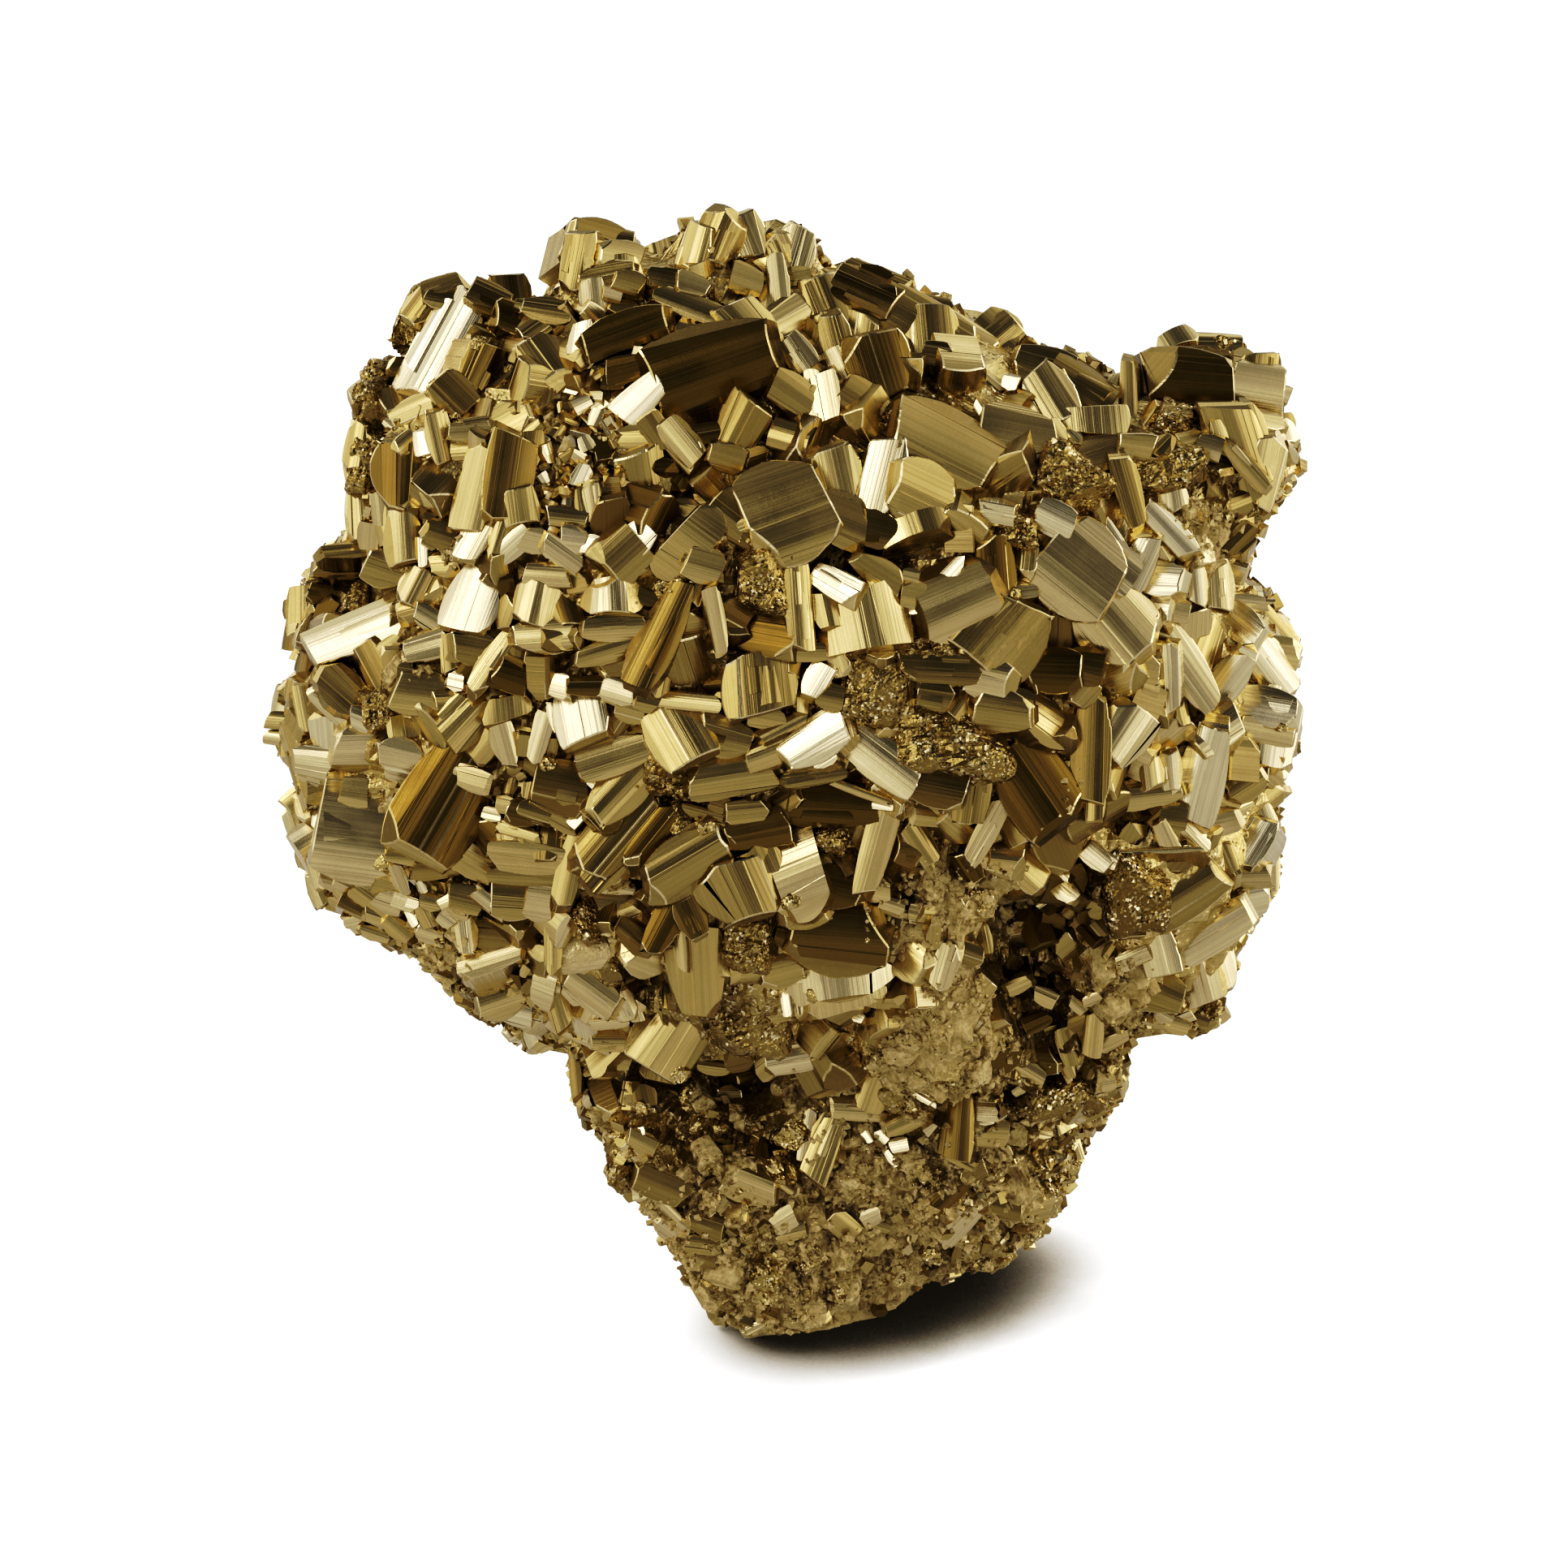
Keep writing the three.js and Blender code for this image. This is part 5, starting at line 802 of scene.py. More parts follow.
-120 50.8 107.7 .287 .773 .566 -.764 .541 -.352 5.3 3.5 13.4 M
46.2 86.4 196.2 .68 -.322 -.659 .732 .266 .627 6.6 6.2 18.8 LR
118.8 31.2 125.3 -.282 -.95 .134 .959 -.282 .017 7.2 6.8 19.2 MR
-94.8 77.4 131.5 .78 .546 -.305 -.617 .752 -.233 6.5 4.8 14.5 M
91 58.8 127.2 .824 -.225 .52 .317 .944 -.094 8 6 16.9 M
-80.6 34.3 75.3 .921 -.298 -.25 -.279 -.06 -.958 5.1 4.9 12.7 M
-9.5 46.5 28.7 -.327 -.191 -.925 -.366 .928 -.063 4.6 3.4 10.6 MS
22.1 49 260 -.368 .46 -.808 -.057 .856 .513 5.3 4.6 15.5 MR
62.7 -24.6 57.1 -.167 -.966 .198 .687 -.258 -.679 4.6 3.6 10.9 MC
114.2 10.4 256.4 .44 .358 -.823 .82 .212 .531 7.5 5.7 20.9 M
66.9 -27.7 65.5 -.893 -.361 -.269 .419 -.885 -.204 4.1 2.7 8.9 MP
90.6 24.4 259.3 -.807 .528 .266 .389 .136 .911 6.1 6.2 14.8 L
-45.7 53.8 253.5 -.846 -.244 .475 .387 .332 .86 5.2 5.6 13.8 MS
13 87.8 136.7 .557 -.558 -.615 .452 .825 -.338 5.8 5.8 14.3 MC
-136.6 46.9 203.4 -.496 -.414 -.763 -.867 .275 .415 7.5 9 20.9 MC
96 10.2 80 .251 .923 .291 .464 .149 -.873 6.2 4.4 16.2 M
1.4 70.3 72.8 -.105 .187 -.977 -.609 .765 .212 6.5 6.8 17.1 M
-139.7 47.5 178.3 -.159 .016 -.987 -.818 .557 .141 8.1 7.8 23.2 M
-141.9 -28.9 200.7 .319 -.873 .369 -.947 -.31 .086 8.7 8 22.8 MC
-43.2 18.5 26.3 -.035 .58 .814 -.493 .698 -.519 3.2 3.2 11.2 MC
-42.5 22.9 29.8 -.178 .638 .749 -.648 .497 -.577 3.4 2.7 8 M
-59 79.9 104.9 .976 .207 -.066 -.216 .952 -.215 7.4 6.7 22.2 LS
105.2 52.3 193.7 .661 -.662 -.354 .732 .672 .111 7.2 5.8 16.4 LS
-112.7 70.5 147.7 -.863 -.493 .113 -.384 .784 .487 8.9 8 18.9 MS
-57 37.1 57.7 -.699 -.505 .506 -.543 -.087 -.836 4.1 3.2 12.5 MP
-48.3 92.4 146.3 .453 .254 -.854 -.22 .961 .168 5.2 4.2 13.1 M
-36.3 47.1 48.5 -.586 -.165 .793 .014 .977 .214 4.4 4.2 14.2 M
-39.4 58.7 73.5 .173 -.836 -.522 -.251 .474 -.844 5.1 4.9 13.2 MCS
82.5 68.1 197.7 -.629 .71 -.316 .265 .578 .772 7.8 7.2 17.8 MCS
19.4 26.2 277.7 .445 -.885 .134 .331 .302 .894 8.6 7 18 MCS
-154.6 5.4 168.8 -.026 .966 -.256 -.929 .071 .362 6.9 7.2 19.2 MS
-148.6 -31.9 165.7 .329 -.586 -.74 -.943 -.164 -.289 9.8 6.9 20.8 MCS
-97.3 80 155.8 .796 .536 .281 -.605 .688 .401 8 5.6 17.7 M
32 52.6 255.4 .995 .024 -.1 -.026 .999 -.02 5.1 4.5 16.3 MS
69.9 60.7 229.9 -.847 .399 -.353 .136 .802 .581 7.8 6.5 20.5 M
-52.2 21.5 38.7 .587 .809 .023 -.661 .496 -.562 4.5 3.7 12.8 MS
50.3 .6 15.7 .689 -.631 .356 .362 -.126 -.924 4.4 3.4 11.3 M
-98.6 77.4 142.1 .712 .314 -.628 -.621 .699 -.355 5.6 6.3 13.9 MC
-147.2 -9.6 199.5 .164 -.914 .37 -.89 .025 .456 7.2 5.1 15.1 L
49.4 80.7 111 -.777 .343 -.528 .456 .885 -.096 7.7 6.2 20.5 MS
-2.6 51.1 31.1 -.075 -.541 -.837 -.44 .772 -.46 5.2 4.3 12.1 L
-29 48.1 43.2 .442 .134 -.887 -.718 .646 -.26 5.6 4.8 13.8 LS
-123.7 17.9 103.8 -.176 -.858 -.482 -.345 .513 -.786 4.7 5.2 12.4 M
-28.6 86.6 200.6 -.272 .158 -.949 .122 .984 .129 8 6.1 17.1 M
-12.6 94.4 169.5 -.253 -.171 .952 -.225 .968 .114 7.2 5.5 16.8 M
95.4 48.3 88.9 .145 -.959 -.242 .646 .277 -.712 7 4.8 13.2 M
-62.5 86.7 183.1 -.944 -.189 -.271 -.292 .861 .416 5.6 4.8 14.9 LCS
55.5 48 45 -.966 .213 -.147 .254 .675 -.693 3.8 3.4 9.7 LS
-58.6 12.3 46.5 .581 -.007 -.814 -.731 -.444 -.519 2.4 2.3 7.9 LCS
-101.3 38.4 87.8 -.597 -.779 -.191 -.591 .589 -.552 6.1 4.5 18 LC
57.3 87.6 187.4 -.993 .087 .085 .105 .964 .243 5.3 5.2 16.3 MR
11.8 48.8 260.6 -.71 .15 .688 .646 .528 .551 6 5.8 15.5 M
64.2 43 256 .073 .997 .019 -.027 -.017 .999 5.8 4.9 14 M
-47.9 -1.5 25.1 .308 .951 -.016 -.922 .302 .243 4.6 4 12.2 M
87.5 19.1 75.7 -.757 -.456 -.467 .569 -.109 -.815 5.3 3.6 12.5 M
75.6 41.6 71.1 .116 -.927 -.356 .476 .366 -.799 5.6 3.8 13.1 MCS
-121.7 .3 263.8 .49 .29 .822 -.794 -.241 .559 8.6 7.2 15.6 M
33.5 24.8 276.1 -.066 .988 -.14 .34 .154 .928 7.7 6.1 20.3 MC
9.3 59.4 250.6 -.142 -.417 .898 .244 .864 .44 7.6 5.9 17.1 L
-117.8 16.6 97.5 .091 .98 .178 -.609 .196 -.768 5.9 5.4 13.6 MS
-130.3 4.9 109.8 .538 .267 -.8 -.649 -.474 -.595 5.6 6.7 15.3 L
-52.5 2.8 33.5 -.534 -.771 -.346 -.667 .636 -.388 4.5 5.4 12.7 L
-6.7 52.6 38.3 .862 -.186 -.471 .124 .979 -.16 3.7 4.2 12.2 M
67.4 -34.3 70.8 -.65 .07 -.757 .721 -.261 -.642 7.3 6.5 15.5 M
-148 24.6 152.9 .167 -.274 .947 -.929 .277 .244 8.9 5.6 18.3 L
-34.3 43.1 41.8 -.857 .26 .445 .003 .866 -.501 4.4 3.8 10.8 MR
81.5 54.3 230.5 .948 -.261 .181 .258 .965 .043 5.7 5.5 13.5 MS
22.8 60.5 45.3 .218 .464 .858 -.28 .872 -.4 4.9 3.6 12.6 MC
2.8 92.7 141.2 .933 -.077 -.351 .096 .995 .039 7.5 7.2 20.1 M
93.8 61.5 196.8 -.958 .271 -.097 .196 .859 .473 8.1 5.2 15.8 M
-82.2 -44 97.2 -.542 .575 -.613 -.025 -.741 -.671 4.7 4 11.1 MP
-76.3 25.6 69.4 .739 -.664 -.114 -.414 -.314 -.854 7.5 5.2 15 M
117.2 23.4 186.9 -.18 .971 .154 .962 .141 .236 8 6.1 16.5 L
-17.6 59.2 60.1 -.178 .709 .682 -.715 .383 -.585 5.1 5.1 13.2 M
92 3.8 266.1 .609 -.759 -.231 .277 -.07 .958 9.5 8.4 18.1 MP
-117.2 63.4 117.4 -.269 -.498 -.825 -.717 .675 -.173 5.1 6.3 14.6 M
-79.1 89.6 155.2 -.994 .093 .059 .11 .827 .551 7.2 5.7 15.8 L
-17.5 26.6 286.3 -.982 -.128 .14 .017 .673 .74 7.8 6.4 18.8 L
-33 80.3 110.4 .345 .267 .9 .146 .932 -.332 6.7 5.8 16.6 M
37.4 70.3 224.7 -.958 .286 -.005 .198 .674 .712 7.3 7.5 20.8 MS
-147.5 8.3 134.9 -.428 -.772 -.469 -.9 .319 .297 7.1 7.1 16.8 MP
40.9 75.7 94.6 -.545 .617 .567 .499 .783 -.372 6.5 4.7 15.5 MR
-71.7 -55.7 102.6 .087 .611 -.787 -.534 -.638 -.554 5.1 4.9 11.5 L
16.6 90.1 149.6 .888 -.459 -.005 .429 .827 .364 7.4 8.2 19.3 MCS
-63.4 55 80.6 -.978 .191 -.081 .114 .166 -.979 4.5 4.3 11.3 L
47.4 59.1 62.8 .605 -.183 -.775 .42 .9 .115 3.7 3.6 12.7 L
-76.1 17.3 68.5 .322 .927 .193 -.82 .374 -.432 4.3 3.8 10.6 M
-38.6 -30.5 14.7 -.618 -.44 .652 -.551 -.35 -.758 3.4 3.4 10.6 MC
64 35.6 38.3 -.347 .778 -.523 .843 .503 .189 2.3 2.3 8.3 MC
-31.1 81 210.9 -.103 .705 -.702 -.059 .7 .712 3.8 2.9 8.9 MC
6.1 23.9 282.9 .417 -.8 .432 .207 .546 .812 4.6 2.9 11.5 MCS
-5.8 21.6 288.4 -.757 -.487 .437 .037 .635 .772 4.3 3.5 11.4 M
97.6 -28.1 263.5 -.496 -.866 -.069 .381 -.288 .879 3 3.4 8.3 LS
-102.7 .8 285.6 -.543 -.835 .094 -.735 .526 .427 3.8 3.7 13.2 M
-86.9 16.5 73.5 -.393 -.836 -.383 -.002 .418 -.908 3.2 3.1 9 L
-23.2 15.8 298.5 .068 -.68 .73 -.11 .723 .682 5.1 3.9 12.7 LC
-148.8 19.2 196.8 .012 .199 .98 -.977 -.207 .054 5.4 4 12.3 M
-45.2 3.9 24.7 -.529 .224 .819 -.828 .079 -.556 2 1.6 5.9 M
6.1 63.5 59.4 .005 .478 .878 -.505 .759 -.41 2.2 2.2 7.1 MP
-97.3 -37.6 100.2 -.101 .946 -.308 -.939 -.193 -.285 3.1 2.1 7.1 MS
66 31.1 36.2 -.03 -.018 -.999 .991 .129 -.032 3 2.3 8.6 MP
36.3 68.3 84.2 .819 -.559 -.132 .31 .624 -.717 3.6 2.9 9.1 LC
117.3 8.7 162.8 -.03 .531 -.847 .989 .139 .052 4 3.4 12.1 LP
106 49.4 155.3 .146 -.941 -.304 .973 .082 .214 3.1 2.9 11 L
44.5 25.3 269.8 .883 -.383 .273 .307 .909 .282 3.7 2.8 9.6 LS
-142.9 -21.3 134.6 .162 .588 -.793 -.964 .267 .001 5.4 4 11.3 M
-44.2 -34.1 25.7 -.73 -.325 .602 -.424 -.476 -.77 2.5 2.6 8.6 MR
-73.2 15.6 64 .367 -.848 -.381 -.755 -.032 -.655 2 2 6.9 M
-43 75.6 98.5 .941 .307 -.145 -.338 .809 -.481 4.3 4 12.7 MR
91.8 59.1 139.5 .237 -.106 -.966 .543 .838 .041 4.9 4.2 13.1 LS
32.3 88.8 197.2 .97 -.013 -.244 .055 .985 .165 5.7 4.9 14.3 MC
75.7 -1.6 62.3 .164 -.418 .894 .983 .149 -.111 2.9 2.2 8.1 MS
-29.2 47.9 260.1 -.623 .277 -.731 -.428 .662 .615 4.9 4.3 13 MR
25.8 85.7 145.2 .731 .205 .651 -.146 .979 -.144 3.2 3.6 9 MS
100.5 54.6 183.8 .004 .977 .212 1 .001 -.024 5.6 4 11.8 M
-38.3 94.3 153.8 -.599 .089 .796 -.093 .979 -.18 4.8 3.7 13.1 M
58 49.7 57.2 .251 -.125 -.96 .587 .808 .048 2.4 1.7 7.1 LC
76.2 -8.2 69.7 .373 -.513 .773 .908 .032 -.417 2.1 1.8 7 MCS
53.3 -33.3 56.8 -.157 .678 -.718 .531 -.556 -.64 2.7 2.5 8.2 MC
45.9 54.5 46.7 .593 .226 .773 .339 .801 -.494 2.6 1.8 6.1 MC
51.2 46.8 255.9 .956 -.111 -.27 .283 .58 .764 4.2 3 9.9 LP
3.9 64.2 238.8 .425 -.485 .764 .574 .798 .187 3.4 3.4 11.9 MCS
-23.1 93 168 -.744 -.475 -.47 -.602 .781 .165 5.6 4.9 11.7 MCS
-148.5 14.6 161.6 .089 -.726 .682 -.984 -.169 -.051 3.4 3.5 9.2 MP
-61.3 -22.1 43.5 .751 -.032 -.659 -.625 -.359 -.694 1.8 2 7.7 MC
73.4 -14.6 65.6 .563 -.452 .692 .823 .225 -.522 2.3 1.8 6.8 L
-34.6 84.1 119.2 -.482 -.132 -.866 .589 .683 -.432 4.3 5 13.2 LP
-121.6 59.1 156.9 -.221 -.277 -.935 -.01 .959 -.282 3.3 3.5 9.4 MC
-144.3 35.4 198.9 .096 .67 .736 -.984 -.05 .173 3.3 3.8 11.3 LS
-10.5 60.8 61 .165 .608 .776 .011 .786 -.618 2.2 2.1 8.1 MC
-73.1 85.5 181.7 .268 .746 -.609 -.428 .659 .619 4.7 3.4 12.1 MS
-93.5 26.5 79.5 -.798 .414 .438 -.491 -.025 -.871 2.9 2.2 7.9 MS
-21 48 261.1 .716 -.165 .679 -.332 .774 .539 4.3 3.4 12.9 MC
-99 -43.4 104.5 .426 .7 -.573 -.847 .086 -.524 2.7 2.8 7.9 LC
69.6 69.7 97.3 .203 .306 .93 -.411 .889 -.203 3.9 3.1 11 L
59.3 47 54 .928 .107 -.356 -.219 .931 -.292 2.9 2.4 7.9 MS
54.1 -1.4 21.2 -.207 -.967 .148 .977 -.212 -.017 2.4 2 6.8 M
120.2 -8.2 163.2 .055 .738 .673 .972 -.192 .132 3.4 3.1 10.4 M
-55.1 8 40.4 .788 -.551 -.276 -.591 -.549 -.591 2.2 2.4 7.3 M
-132.9 49.2 152 -.025 -.028 .999 -.668 .744 .004 4.6 4.6 13.7 MC
117.7 20 148.5 -.145 .009 .989 .958 -.251 .142 3.8 3.2 10.7 LC
-48.3 30.4 41.5 .577 .812 -.09 -.452 .225 -.863 3.1 2.5 9.1 M
-127.8 -21.6 257 -.75 .209 -.628 -.586 .232 .777 3.4 2.9 10.3 L
-127.3 -15.4 253.3 -.165 .803 -.572 -.898 .118 .424 3.6 3.2 9.6 MP
-64.6 13.2 294.4 .023 .456 -.89 -.361 .834 .418 3 2.8 9.6 MP
50.3 -6.8 21.2 -.151 .624 -.767 .731 -.451 -.511 1.7 1.8 6.2 MC
-45.1 76.9 105.6 .278 .364 .889 -.61 .782 -.13 3.9 3.2 8.5 MS
-148.4 -7.3 144.1 .013 -.96 -.281 -.949 .077 -.307 2.9 3.2 9.3 M
-144.8 -5.7 133.1 .689 .284 -.667 -.713 .1 -.694 4.2 3.4 9.5 MCS
-1.8 60.1 245.9 .079 -.312 .947 -.215 .922 .322 4 4.1 12.8 M
-14.9 62.8 242.2 .794 .196 -.576 .001 .946 .323 4.3 2.8 10.5 L
113.9 24.5 173 -.553 -.765 .33 .827 -.55 .113 3.2 2.6 9.8 MS
19.7 51 25.1 .116 -.245 -.963 -.227 .937 -.266 2.9 2.4 6.9 LS
-108.7 14.2 88.1 -.844 .095 .528 -.536 -.094 -.839 4.1 3.9 10.2 MC
-.7 73.5 91.2 .073 -.657 -.751 .171 .75 -.639 5.2 3.2 11.9 L
62.5 54.5 73 .197 -.864 -.463 .566 .485 -.666 2.9 2.6 10.2 M
-55.7 -5.5 37 -.183 .979 .093 -.368 .02 -.929 2.3 2.4 8.3 M
63.7 45 59.1 .769 -.462 -.442 .639 .557 .53 2.1 1.8 6.9 M
-137.3 -17.7 122.2 -.338 -.569 .749 -.91 -.007 -.416 2.8 2.5 9.2 M
-2.6 42 14.5 .185 .817 .546 -.038 .561 -.827 3.2 2.6 8.9 M
74.9 11.9 54.4 -.051 .999 .018 .994 .049 .103 2.6 2.5 7.8 MS
106 48.7 178.9 -.221 .511 -.831 .949 .31 -.062 4.5 3.6 13.7 MS
52.9 -29.4 52.8 -.953 .031 -.301 .218 -.62 -.753 3.1 2.2 7.5 LS
117.7 5.4 151.4 .267 -.611 .745 .926 -.051 -.374 5.7 4.9 12.5 M
-137 -2.4 120.2 -.329 -.894 .305 -.839 .128 -.529 3.2 2.7 8.7 L
50.5 79.3 139.7 -.917 .204 .342 .21 .977 -.019 4.2 4.6 13.5 M
-131.1 -25 243.7 .05 -.998 -.033 -.998 -.051 .036 3.5 3 10.2 L
-19.7 82.3 212.4 .999 .003 -.05 .025 .832 .554 3.4 3.5 11 L
75 4.1 55.2 -.101 .858 -.504 .886 -.153 -.439 1.8 1.8 6.5 M
66.9 27.3 41.3 -.072 -.42 -.905 .773 .549 -.316 2 1.8 6.6 L
-91.6 62.4 223.7 .116 .479 -.87 -.3 .852 .429 3 2.6 8.1 MCS
-43.5 38.7 47.4 .12 .51 .852 -.323 .831 -.452 3 2.7 7.3 L
-149.3 17.9 185.6 .086 -.981 .172 -.973 -.12 -.197 3.3 3 11.1 MCS
17.2 47.7 15.8 .103 .441 .891 -.669 .694 -.266 2.3 1.9 6.4 M
-133.2 17.4 114.6 .813 -.543 -.211 -.012 .346 -.938 2.7 2.8 8 M
-24.6 86.7 128.3 -.975 -.177 .137 -.216 .905 -.368 4.7 3.1 9.6 MC
-41.3 44.7 261.2 -.234 .468 -.852 .167 .883 .439 4 4.5 12.2 MP
-81 18.7 72.1 -.953 .207 .22 -.253 -.152 -.955 3.4 2.2 8.1 L
-6.5 67.1 235.1 .832 .007 -.555 .478 .501 .722 3.4 4.1 10.8 MC
31.4 64.7 69.8 -.998 .055 .04 .055 .998 -.01 3.2 2.2 7.9 M
-50.5 -20.7 28.2 -.003 -.493 .87 -.555 -.723 -.412 1.8 1.4 5.5 M
35.4 91.8 178.7 .975 .214 .055 -.165 .871 -.463 3.3 3.1 10.9 L
6.3 65.4 65.1 .326 .115 -.938 -.242 .97 .035 2.5 2.2 6.8 MR
-133.1 -5.9 113.5 -.501 -.371 .782 -.433 -.675 -.598 3.8 3.3 11.1 M
70.1 -23.2 66.5 -.159 -.706 .69 .415 -.682 -.603 2 1.9 7 M
-85.1 21.5 74 -.834 -.306 .46 -.445 -.12 -.887 2.6 1.9 8.1 L
79.9 63.8 211.3 -.333 .261 -.906 .327 .933 .148 3.7 3.7 10.4 MS
69.3 70.8 139 -.248 .079 .966 .41 .912 .03 5.9 5.3 12.7 LCS
-69.1 87.2 176.2 .93 -.034 -.366 -.018 .99 -.137 4.2 4 11.2 MC
-146.5 24 181.8 .244 .542 .804 -.967 .077 .241 4.5 3.7 10.4 LS
42.8 -12.7 18.7 -.727 -.466 .505 .155 -.827 -.54 3.7 2.5 8 M
48.5 41.7 260.7 .631 -.763 -.136 .685 .466 .56 3.7 2.8 8.8 MS
36.9 58.1 40.9 -.05 -.599 -.799 .745 .511 -.429 3 2.6 9.4 M
-34.2 76.9 102.2 -.995 .01 -.099 .047 .924 -.38 4.1 2.7 9.5 MS
-34.5 -36.3 15.8 .394 .514 -.762 -.716 -.348 -.605 3.2 3 9 L
84.5 17 264.1 -.792 -.478 .381 -.133 .743 .655 3.2 2.6 10.2 LC
-9.8 62.9 65.3 .965 -.208 .163 .253 .905 -.341 2.1 2.1 6.8 MC
-141.6 44.7 191 .004 -.882 -.471 -.927 .174 -.332 2.8 3.5 10.4 M
-71.9 -4.8 61.2 .397 -.903 -.164 -.84 -.285 -.462 3.8 2.9 9.4 M
-94.7 -50 106.7 .714 .354 -.604 -.132 -.78 -.612 3.4 2.6 9.7 MS
-149.1 14.3 169.9 -.023 .133 .991 -.996 .087 -.035 4.2 4.3 10.1 MC
-132.4 49 162.1 -.54 -.536 .649 -.767 .631 -.116 4.6 3.4 11.6 M
22.6 86.5 139.9 .212 -.707 -.674 .147 .705 -.693 2.8 2.4 8.7 L
50 52.3 41.3 -.566 .324 .758 .423 .903 -.07 3.1 2.8 9.2 M
-41.1 79 109.8 .038 .404 .914 .745 .598 -.296 2.9 3.2 9.8 M
49.5 67.8 221.6 -.85 -.326 .413 .136 .623 .77 3.3 3 10.4 MS
43 55.6 44.3 -.895 .403 .194 .379 .913 -.148 2.6 2.4 7.2 L
70.7 64.6 218.2 -.92 -.023 .391 .337 .459 .822 4.2 3.6 11.5 M
-134.3 -44.7 135.2 -.639 .609 .471 -.653 -.753 .087 3.3 3.2 10.6 M
-125.8 57.1 166.4 -.432 .141 .891 -.836 .309 -.454 3.9 2.9 10.4 MS
-148.7 27.3 194.5 -.317 -.495 .809 -.916 .38 -.127 3.7 3.4 13.2 LCS
-25.9 68.7 77.9 .959 .276 -.067 -.283 .909 -.306 5.2 4.7 15.1 LC
-40 93.2 144.9 .898 -.413 -.15 .352 .88 -.318 3.3 3.2 10.1 MS
-45.8 -16.1 19.9 -.204 -.901 -.382 -.751 .394 -.53 2.1 2.3 7.7 M
112 31 175.1 -.221 .606 -.764 .672 .663 .33 3.1 2.9 10.4 MS
-83.5 63 97 -.552 -.655 -.516 -.471 .755 -.456 3 2.2 8.3 MC
10 64.3 60.2 .132 -.366 -.921 -.248 .888 -.388 2.5 1.7 7 L
102.9 1 89 .544 -.669 .507 .759 .134 -.637 2.7 3.2 8.6 M
-147.5 21.8 162.5 -.326 -.945 -.041 -.927 .311 .209 2.7 2.7 9.9 M
77.4 20.4 63.9 -.422 .297 -.857 .907 .153 -.393 1.8 1.6 5.8 MC
-64.4 3.9 302 -.046 -.818 .573 -.529 .507 .681 3.7 3.6 10.4 L
53.6 17.6 15.2 -.2 -.92 -.336 .388 .24 -.89 2.1 1.5 6.2 MC
59.1 74.2 106.9 .898 -.43 .095 .419 .77 -.482 5.1 3.2 11.8 L
76.9 16.7 60 .179 -.887 -.426 .967 .079 .241 2.2 2 7 MS
33 50.3 13.9 -.551 -.09 -.829 -.018 .995 -.096 2.6 2.7 8.2 MR
-42.1 28.3 33.6 -.366 -.185 -.912 -.676 .726 .124 3 2.4 7.2 LS
-22.9 36.6 24.5 .867 .365 -.339 -.321 .93 .182 2.3 2 6.7 MC
83.2 62.8 95 .836 -.091 .541 .332 .868 -.368 3.7 3.4 10.8 MC
78.2 73.5 159.4 -.873 -.037 -.486 .332 .686 -.648 5 3.1 10.5 L
-79.3 81 130.2 .932 .196 -.306 -.33 .808 -.488 3.6 3.1 8.5 MC
-70.6 -23 65.5 .43 -.824 .369 -.773 -.547 -.321 2 2.2 6.8 MC
-24.9 76.4 102.8 -.548 .358 -.756 .149 .931 .333 4.2 3.9 11.2 M
14.7 91.2 164.6 .82 .569 .063 -.554 .816 -.168 3.3 2.4 9.1 MS
-122 66.1 182.4 -.322 -.187 -.928 -.228 .967 -.115 5.1 4.7 13.2 M
78.2 10.1 63.6 .212 .505 .837 .977 -.109 -.182 2.7 2.2 8.7 M
-132.6 -13.2 114.7 .35 .82 -.453 -.823 .038 -.567 2.7 2 7.2 M
20.7 78.9 105.7 -.876 -.469 -.109 -.129 .448 -.885 3.7 3.2 9.8 MC
-76.2 63.9 95.3 -.782 .166 .601 -.362 .663 -.655 2.6 2.4 8.5 M
-80.9 39.2 260.9 .004 .507 -.862 .202 .844 .497 3 3.3 9.1 LR
-24.3 61.6 72.1 .48 .742 .468 -.512 .67 -.537 2.9 2.3 7.8 L
-88.5 10 74.2 -.383 .875 -.296 -.283 -.416 -.864 2.8 3.4 9.4 M
-59.3 61.2 85 -.603 -.39 -.696 -.427 .895 -.132 2.8 3 9.5 MS
-7.8 55.7 47.3 -.974 .03 .224 -.055 .93 -.363 2.6 2.2 8.7 MS
68.4 51.9 75.3 .894 -.203 -.398 -.179 .654 -.735 2.8 2.8 8.8 MC
-38.8 19.6 292 .792 .471 -.389 -.476 .875 .091 3.7 3 9.5 L
-55.2 -30.4 38.3 -.228 -.563 .794 -.899 -.191 -.393 2 1.6 6.2 LCS
32.7 65.6 75.7 .623 -.204 .755 .012 .968 .252 4.9 3.7 10.8 L
-42.2 90.6 173.6 .735 -.286 -.615 .41 .91 .068 4.4 3.3 10.1 MC
57.9 65 222.9 -.697 -.261 .668 -.153 .964 .218 3.5 3.3 10.4 LS
43.3 90.6 174.5 .716 .37 -.592 -.064 .879 .472 3.4 3.4 10.1 MC
112.4 20.9 232.3 .431 -.895 .116 .895 .408 -.179 3 3.1 9.5 M
102.9 42.7 222.5 .691 -.691 -.214 .657 .476 .584 5 4.4 13 L
-102.5 -57.3 116.4 .71 .428 -.559 -.232 -.607 -.76 2.9 2.3 7.9 MC
-13.6 15.6 297.1 -.884 .394 -.253 .257 .859 .443 3.4 3.6 10 LC
-142.2 -12.5 125.8 .437 -.332 -.836 -.899 -.183 -.397 5 4.8 12.9 M
55.4 48.4 50.4 .488 .492 .721 .47 .548 -.692 2.1 1.9 7.3 M
